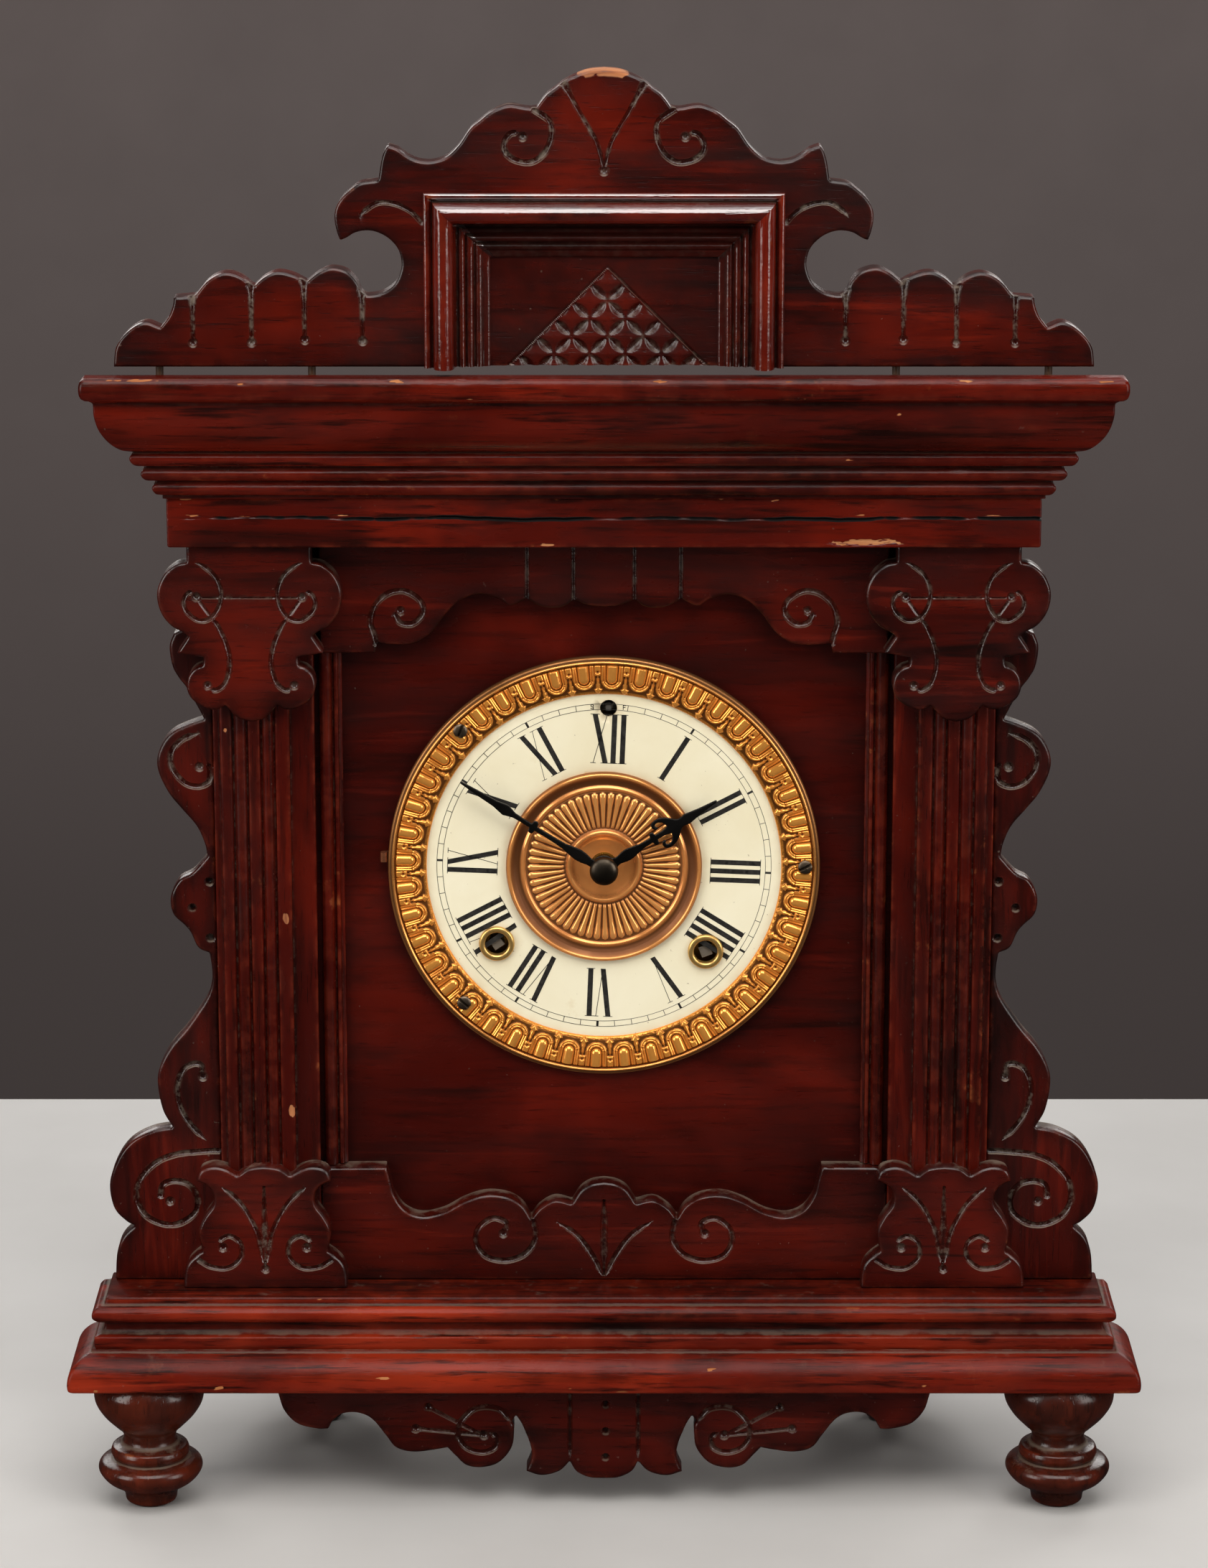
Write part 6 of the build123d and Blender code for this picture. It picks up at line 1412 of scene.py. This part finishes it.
def pan_height(r, ph):
    """Height of the centre pan towards the viewer, and its darkening: tarnish with painted shade between the ribs, in
    the rings and over the outer cove.
    """
    base = np.interp(r, [5.0, 8.0, 10.4, 12.0, 12.7, 13.3, 13.8, 14.4, 15.2, 22.0, 28.6, 29.2, 29.7, 30.3, 30.9, 31.4, 32.2, 33.4, 34.4, 35.0, 35.5, 36.0, 36.4, 36.6], [-0.9, -0.6, 0.1, 1.2, 1.9, 2.0, 1.5, 0.6, 0.55, 0.8, 1.2, 1.0, 1.5, 1.9, 1.5, 1.1, 1.2, 1.7, 2.5, 3.1, 3.4, 3.2, 2.6, 1.7])
    w = np.abs((ph * FLUTES / (2 * math.pi)) % 1.0 - 0.5) * 2          # 1 between ribs, 0 on a rib
    width = np.interp(r, [14.6, 22.0, 26.4, 27.8, 28.5], [0.62, 0.66, 0.78, 0.72, 0.10])
    rib = np.sqrt(np.clip(1 - (w / width) ** 2, 0, 1)) * np.interp(r, [14.6, 15.6, 20.0, 26.6, 28.0, 28.6], [0, 0.55, 0.65, 0.95, 0.5, 0])
    dirt_and_shade = np.clip(0.95 - rib * 2.6, 0, 1) * ((r > 14.5) & (r < 28.9))
    dirt_and_shade = np.maximum(dirt_and_shade, np.exp(-((r - 14.6) / 0.7) ** 2) * 0.95)
    dirt_and_shade = np.maximum(dirt_and_shade, np.exp(-((r - 29.1) / 0.4) ** 2) * 0.9)
    dirt_and_shade = np.maximum(dirt_and_shade, np.exp(-((r - 31.5) / 0.45) ** 2) * 0.8)
    dirt_and_shade = np.maximum(dirt_and_shade, np.exp(-((r - 11.6) / 0.5) ** 2) * 0.45)
    # The outer cove painted dark: tarnish with painted shade.
    dirt_and_shade = np.maximum(dirt_and_shade, np.interp(r, [31.0, 31.6, 33.6, 34.9, 35.2], [0.0, 1.0, 1.0, 0.90, 0.0]))
    dirt_and_shade = np.maximum(dirt_and_shade, np.clip((r - 35.9) / 0.4, 0, 1) * 0.85)
    return base + rib, dirt_and_shade


def centre_pan():
    per = 14
    m = FLUTES * per
    radii = np.r_[np.linspace(5.0, 14.0, 20), np.linspace(14.3, 28.6, 40), np.linspace(28.9, 36.6, 30)]
    n = len(radii)
    t = np.arange(m) * 2 * math.pi / m
    R, T = np.meshgrid(radii, t)
    h, dirt_and_shade = pan_height(R, T)
    verts = []
    for i in range(m):
        s, k = math.sin(t[i] + DIAL_TURN), math.cos(t[i] + DIAL_TURN)
        for j in range(n):
            verts.append((radii[j] * s, -h[i, j], DIAL_Z + radii[j] * k))
    faces = []
    for i in range(m):
        q = (i + 1) % m
        for j in range(n - 1):
            faces.append((i * n + j, q * n + j, q * n + j + 1, i * n + j + 1))
    o = len(verts)
    back = [(5.0, 1.0), (12.0, 1.0), (14.0, -0.2), (36.6, -1.2)]
    for i in range(m):
        s, k = math.sin(t[i] + DIAL_TURN), math.cos(t[i] + DIAL_TURN)
        for r, y in back:
            verts.append((r * s, y, DIAL_Z + r * k))
    for i in range(m):
        q = (i + 1) % m
        faces.append((i * n, o + 4 * i, o + 4 * q, q * n))
        for j in range(3):
            faces.append((o + 4 * i + j, o + 4 * i + j + 1, o + 4 * q + j + 1, o + 4 * q + j))
        faces.append((o + 4 * i + 3, i * n + n - 1, q * n + n - 1, o + 4 * q + 3))
    edge = np.clip((h - np.interp(R, [5, 36.6], [0.7, 2.6])) * 0.5, 0, 1)
    # Rib tops lighter: painted highlight, with rubbed-bright brass.
    edge = np.maximum(edge, np.clip(1 - 1.5 * dirt_and_shade, 0, 1) * ((R > 15.0) & (R < 28.4)))
    sh = Shape()
    sh.add(verts, faces, cav=list(dirt_and_shade.ravel()) + [0] * 4 * m, edge=list(edge.ravel()) + [0] * 4 * m)
    return sh


centre_pan().out("sunburst_pan", PAN, "case", "centre_pan", "gilt_brass", angle=60)

circle = [(69.4 * math.cos(a), DIAL_Z + 69.4 * math.sin(a)) for a in np.linspace(0, 2 * math.pi, 361)[:-1]]
WIND = [(38.1, -33.0), (-40.2, -29.9)]
REG = (1.7, 60.8)
ring = carved(np.array(circle), -1.2, 0.0, rim=0.15, grid=4.0, step=1.2, holes=[(0, DIAL_Z, 34.0), (WIND[0][0], DIAL_Z + WIND[0][1], 5.1), (WIND[1][0], DIAL_Z + WIND[1][1], 5.1), (REG[0], DIAL_Z + REG[1], 3.2)], seed=41)
rv = np.array(ring.v)
# Darker round the centre pan, the winding and regulator holes and the outer edge: residue with painted shadow of the
# raised parts beside them.
soil_and_shade = np.zeros(len(rv))
for cx, cz, r in [(0, 0, 36.6), (WIND[0][0], WIND[0][1], 7.0), (WIND[1][0], WIND[1][1], 7.0), (REG[0], REG[1], 3.4)]:
    soil_and_shade = np.maximum(soil_and_shade, np.exp(-np.clip(np.hypot(rv[:, 0] - cx, rv[:, 2] - DIAL_Z - cz) - r, 0, None) / 1.6) * 0.7)
soil_and_shade = np.maximum(soil_and_shade, np.clip((np.hypot(rv[:, 0], rv[:, 2] - DIAL_Z) - 64.4) / 2.2, 0, 1) * 0.5)
ring.a["cav"] = list(soil_and_shade)
ring.a["edge"] = [0.0] * len(rv)
ring.out("chapter_face", CARD, "case", "chapter_ring", "dial_card")

# printed figures, minute track and regulator marks, as thin raised ink
marks = Shape()
INK_Y, INK_T = -1.245, 0.05


def ink_poly(points):
    """Flat patch of ink from a closed list of (x, z) dial points."""
    p = np.array(points, float)
    area = 0.5 * np.sum(p[:, 0] * np.roll(p[:, 1], -1) - np.roll(p[:, 0], -1) * p[:, 1])
    if area < 0:
        p = p[::-1]
    n = len(p)
    verts = [(x, INK_Y, DIAL_Z + z) for x, z in p] + [(x, INK_Y + INK_T, DIAL_Z + z) for x, z in p]
    faces = [tuple(range(n)), tuple(range(2 * n - 1, n - 1, -1))]
    for i in range(n):
        j = (i + 1) % n
        faces.append((i, n + i, n + j, j))
    marks.add(verts, faces)


def polar(r, t):
    t = t + DIAL_TURN
    return (r * math.sin(t), r * math.cos(t))


def ring_ink(r0, r1, seg=180):
    verts, faces = [], []
    for i in range(seg):
        t = 2 * math.pi * i / seg
        for r, y in ((r0, INK_Y), (r1, INK_Y), (r1, INK_Y + INK_T), (r0, INK_Y + INK_T)):
            x, z = polar(r, t)
            verts.append((x, y, DIAL_Z + z))
    for i in range(seg):
        j = (i + 1) % seg
        for k in range(4):
            l = (k + 1) % 4
            faces.append((i * 4 + k, j * 4 + k, j * 4 + l, i * 4 + l))
    marks.add(verts, faces)


ring_ink(60.20, 60.38)
ring_ink(62.35, 62.53)
for i in range(60):
    t = 2 * math.pi * i / 60
    w, r0, r1 = (0.42, 60.2, 62.5) if i % 5 == 0 else (0.11, 60.3, 62.4)
    c, s = polar(1, t)
    tx, tz = s, -c
    if not (i == 0):
        ink_poly([(r0 * c - w * tx, r0 * s - w * tz), (r0 * c + w * tx, r0 * s + w * tz), (r1 * c + w * tx, r1 * s + w * tz), (r1 * c - w * tx, r1 * s - w * tz)])

R_IN, R_OUT, THICK, HAIR = 39.8, 58.4, 0.95, 0.11


def figure(text, t):
    """Roman figure standing with its feet to the centre."""
    adv = {"I": 3.4, "V": 6.6, "X": 6.8}
    pos, x = [], 0.0
    for ch in text:
        w = adv[ch]
        pos.append((ch, x + w / 2))
        x += w
    total = x
    up = np.array(polar(1, t))
    right = np.array((up[1], -up[0]))
    H = R_OUT - R_IN

    def at(px, py):
        q = up * (R_IN + py) + right * (px - total / 2)
        return (q[0], q[1])

    def bar(x0, y0, x1, y1, w):
        d = np.array((x1 - x0, y1 - y0))
        ink_poly([at(x0 - w, y0), at(x0 + w, y0), at(x1 + w, y1), at(x1 - w, y1)])

    def serif(xc, y, half):
        ink_poly([at(xc - half, y - HAIR), at(xc + half, y - HAIR), at(xc + half, y + HAIR), at(xc - half, y + HAIR)])

    for ch, xc in pos:
        if ch == "I":
            bar(xc, 0, xc, H, THICK)
        elif ch == "V":
            bar(xc - 2.1, H, xc + 0.4, 0, THICK)
            bar(xc + 2.5, H, xc + 0.5, 0, HAIR)
        else:
            bar(xc - 2.2, H, xc + 2.2, 0, THICK)
            bar(xc + 2.3, H, xc - 2.3, 0, HAIR)
    for ch, xc in pos:
        if ch == "I":
            serif(xc, 0, 1.6)
            serif(xc, H, 1.6)
        elif ch == "V":
            serif(xc - 2.1, H, 1.7)
            serif(xc + 2.5, H, 1.0)
        else:
            serif(xc - 2.2, H, 1.7)
            serif(xc + 2.3, H, 1.0)
            serif(xc + 2.2, 0, 1.7)
            serif(xc - 2.3, 0, 1.0)


for i, text in enumerate(["XII", "I", "II", "III", "IIII", "V", "VI", "VII", "VIII", "IX", "X", "XI"]):
    figure(text, i * math.pi / 6)


def stroke(points, w):
    p = np.array(points, float)
    for a, b in zip(p[:-1], p[1:]):
        d = (b - a) / (np.linalg.norm(b - a) + 1e-9)
        nrm = np.array((-d[1], d[0])) * w
        e = d * w * 0.5
        ink_poly([tuple(a - e + nrm), tuple(a - e - nrm), tuple(b + e - nrm), tuple(b + e + nrm)])


s_mark = catmull([(0.9, 2.2), (0.2, 2.7), (-0.7, 2.3), (-0.6, 1.6), (0.3, 1.2), (0.8, 0.6), (0.2, 0.0), (-0.9, 0.4)], 0.3)
stroke([(0.62 * x - 4.4, 0.62 * z + 60.5) for x, z in s_mark], 0.13)
for q in ([(-0.8, 0.0), (-0.8, 2.7)], [(-0.8, 2.6), (0.9, 2.6)], [(-0.8, 1.4), (0.5, 1.4)]):
    stroke([(0.62 * x + 7.6, 0.62 * z + 60.2) for x, z in q], 0.13)
marks.out("dial_figures", INK, "case", None, "black_steel")

gr = Shape()
grommet = [(4.4, 0.6), (4.4, -1.9)] + [(5.5 - 1.1 * math.cos(a), -1.8 - 0.8 * math.sin(a)) for a in np.linspace(0, math.pi, 10)] + [(6.7, -1.2), (5.1, -1.2), (5.1, 0.6)]
for cx, cz in WIND:
    v, f = lathe_y(grommet, cx, cz, seg=64)
    gr.add(v, [g[::-1] for g in f])
gr.out("winding_hole_rings", BRASS, "case", "winding_grommets", "brass")


def screw_head(sh, cx, cz, y, r, turn):
    """Domed slotted head standing on depth y."""
    seg, rings = 40, 9
    c, s = math.cos(turn), math.sin(turn)
    verts, faces, cav = [], [], []
    radii = np.linspace(0.0, r, rings)
    verts.append((cx, y - 1.2 + 0.7, DIAL_Z + cz))
    cav.append(1.0)
    for q in radii[1:]:
        for i in range(seg):
            a = 2 * math.pi * i / seg
            x, z = q * math.cos(a), q * math.sin(a)
            d = abs(-s * x + c * z)
            h = 0.55 + 0.75 * math.sqrt(max(0, 1 - (q / r) ** 2 * 0.98))
            slot = 0.7 * max(0.0, min(1.0, (0.5 - d) / 0.16))
            verts.append((cx + x, y - h + slot, DIAL_Z + cz + z))
            # Slot and foot get cav values, darkened by the metal: painted shade with residue.
            cav.append(1.0 if slot > 0.2 else 0.0)
    for i in range(seg):
        faces.append((0, 1 + (i + 1) % seg, 1 + i)[::-1])
    for k in range(rings - 2):
        for i in range(seg):
            j = (i + 1) % seg
            faces.append((1 + k * seg + i, 1 + k * seg + j, 1 + (k + 1) * seg + j, 1 + (k + 1) * seg + i)[::-1])
    o = len(verts)
    last = 1 + (rings - 2) * seg
    for i in range(seg):
        a = 2 * math.pi * i / seg
        verts.append((cx + r * math.cos(a), y, DIAL_Z + cz + r * math.sin(a)))
        cav.append(0.8)
    for i in range(seg):
        j = (i + 1) % seg
        faces.append((last + i, last + j, o + j, o + i)[::-1])
    faces.append([o + i for i in range(seg)])
    sh.add(verts, faces, cav=cav)


sc = Shape()
for (cx, cz), turn in zip([(75.0, 0.7), (-53.2, 53.0), (-52.5, -52.1)], (0.5, 1.2, 2.4)):
    screw_head(sc, cx, cz, -4.6, 2.6, turn)
sc.out("dial_screws", SCREW, "case", "bezel_screws", "steel")


def back_screws(places, y, r, name, body, look):
    sh = Shape()
    for i, (cx, z) in enumerate(places):
        one = Shape()
        screw_head(one, 0.0, 0.0, 0.0, r, 0.4 + 1.3 * i)
        sh.add_shape(one, lambda px, py, pz: (cx - px, y - py * 0.55, z + pz - DIAL_Z))
    sh.out(name, look, body, None, "steel")


back_screws([(-110.0, z + k) for z in (150.0, 340.0) for k in (-10.5, 0.0, 10.5)], 85.78, 1.7, "case_leaf_screws", "case", SCREW)
back_screws([(-91.6, z + k) for z in (150.0, 340.0) for k in (-10.5, 0.0, 10.5)], 85.98, 1.7, "door_leaf_screws", "back_door", SCREW)
back_screws([(x, z) for x in (-140.0, 140.0) for z in (60.0, 130.0, 200.0, 270.0, 340.0, 394.0)] + [(x, z) for x in (-70.0, 0.0, 70.0) for z in (58.0, 395.0)], 84.95, 1.5, "back_frame_brads", "case", SCREW)


upright(stub, 247.2, 250.8, pitch=0.45, seed=61, wear=0.02).out("hinge_stub", STUB, "case", "sash_hinge", "gilt_brass", angle=50)


# ------------------------------------------------------------------ hands
def hand(half, angle, hub, bore, y0, name, node, body):
    h = catmull(half, 0.3) if False else np.array(half, float)
    dense = run([[tuple(h[i]), tuple(h[i + 1])] for i in range(len(h) - 1)], 0.5)
    a0 = math.atan2(half[0][1], half[0][0])
    arc = [(hub * math.cos(a), hub * math.sin(a)) for a in np.linspace(math.pi - a0, 2 * math.pi + a0, 40)]
    tip = dense[-1]
    loop = np.vstack([np.array(arc), dense[1:], [(0, tip[1] + 0.3)], [(-x, d) for x, d in dense[::-1][:-1]]])
    unit = carved(loop, y0, y0 + 0.8, rim=0.32, grid=1.3, step=0.35, holes=[(0, 0, bore)], seed=51)
    a = math.radians(angle)
    c, s = math.cos(a), math.sin(a)
    verts = [(x * c + z * s, y, DIAL_Z - x * s + z * c) for x, y, z in unit.v]
    sh = Shape()
    sh.add(verts, unit.f, edge=unit.a["edge"])
    sh.out(name, BLACK, body, node, "black_steel", angle=50)


hand(MINUTE_HAND, -57.4, 4.6, 2.56, -7.6, "minute_pointer", "minute_hand", "minute_hand")
hand(HOUR_HAND, 57.9, 5.2, 3.66, -5.2, "hour_pointer", "hour_hand", "hour_hand")
nut = [(0.02, -10.9)] + [(5.3 * math.sin(a), -8.5 - 2.4 * math.cos(a)) for a in np.linspace(0.10, math.pi / 2, 16)] + [(5.4, -7.62), (2.5, -7.62), (2.5, -8.2), (1.56, -8.2), (1.56, -10.0), (0.02, -10.0)]
v, f = lathe_y(nut, seg=72)
sh = Shape()
sh.add(v, [g[::-1] for g in f])
sh.out("domed_nut", NUT, "minute_hand", "hand_nut", "black_steel")

# ------------------------------------------------------------------ finishes on the carried-over nodes
finish = {
    W_CASE_X: ["case_floor"],
    W_PIN: ["crest_pins"],
    BRASS: ["case_hinge_leaves", "door_hinge_leaves", "turn_button", "cannon_pinion", "minute_wheel", "hour_wheel", "centre_arbor", "second_wheel", "third_wheel", "escape_wheel", "time_great_wheel", "strike_great_wheel", "pendulum_bob", "plate_nuts"],
    BRASS_P: ["front_plate", "back_plate"],
    STEEL: ["plate_pillars", "movement_screws", "regulator_arbor", "verge", "pendulum_rod", "hammer"],
    ARBOR: ["time_arbor", "strike_arbor"],
    BLUED: ["mainsprings", "gong"],
}
for look, names in finish.items():
    for name in names:
        me = nodes[name].data
        me.materials.clear()
        me.materials.append(look)

# ------------------------------------------------------------------ stage, light, camera
FLOOR = stage_look("pale_floor", (0.48, 0.466, 0.452), (0.53, 0.516, 0.502))
bd = stage_look("grey_backdrop", (0.410, 0.335, 0.325), (0.450, 0.368, 0.357), low=0.55)


def flat(name, corners, mat):
    me = bpy.data.meshes.new(name)
    me.from_pydata(corners, [], [(0, 1, 2, 3)])
    me.materials.append(mat)
    ob = bpy.data.objects.new(name, me)
    bpy.context.scene.collection.objects.link(ob)
    return ob


floor = flat("floor", [(-3, -3, 0), (3, -3, 0), (3, 0.45, 0), (-3, 0.45, 0)], FLOOR)
floor.visible_glossy = False      # the room in front stays dark in the varnish
flat("backdrop", [(-5, 3.4, -2.0), (5, 3.4, -2.0), (5, 3.4, 4), (-5, 3.4, 4)], bd)


def area(name, loc, target, size, power, color=(1, 1, 1), size_y=None):
    l = bpy.data.lights.new(name, "AREA")
    l.energy = power
    l.color = color
    l.shape = "RECTANGLE"
    l.size = size
    l.size_y = size_y or size
    ob = bpy.data.objects.new(name, l)
    ob.location = loc
    ob.rotation_euler = (Vector(target) - Vector(loc)).to_track_quat("-Z", "Y").to_euler()
    bpy.context.scene.collection.objects.link(ob)
    return ob


area("key_left", (-1.45, -0.95, 0.75), (0, 0, 0.26), 0.75, 15, (1.0, 0.97, 0.93), 1.15)
area("key_right", (1.45, -0.95, 0.75), (0, 0, 0.26), 0.75, 13.5, (1.0, 0.97, 0.93), 1.15)
area("top", (0.0, -0.85, 1.58), (0, -0.05, 0.28), 1.5, 26, (1.0, 0.98, 0.95), 1.15)
area("overhead", (0.0, 0.35, 1.55), (0, 0.05, 0.3), 1.8, 13, (1, 1, 1), 1.2)
area("back_left", (-1.1, 1.9, 1.15), (0, 0.05, 0.25), 0.8, 9, (1, 0.98, 0.95), 0.8)
area("back_right", (1.1, 1.9, 1.15), (0, 0.05, 0.25), 0.8, 9, (1, 0.98, 0.95), 0.8)

world = bpy.context.scene.world or bpy.data.worlds.new("World")
bpy.context.scene.world = world
world.use_nodes = True
bg = world.node_tree.nodes.get("Background") or world.node_tree.nodes.new("ShaderNodeBackground")
bg.inputs["Color"].default_value = (0.30, 0.30, 0.31, 1)
bg.inputs["Strength"].default_value = 0.07

cam = bpy.data.cameras.new("camera")
cam.sensor_fit = "VERTICAL"
cam.sensor_width = 36.0
cam.sensor_height = 36.0
cam.lens = 6800.0 / 2184.0 * 36.0
cam.clip_start, cam.clip_end = 0.05, 50.0
cob = bpy.data.objects.new("camera", cam)
cob.location = (0.0, (-1759.41 + Y_SHIFT) * MM, 728.24 * MM)
cob.rotation_euler = (math.radians(75.6), 0.0, 0.0)
bpy.context.scene.collection.objects.link(cob)
bpy.context.scene.camera = cob
bpy.context.scene.view_settings.view_transform = "Standard"
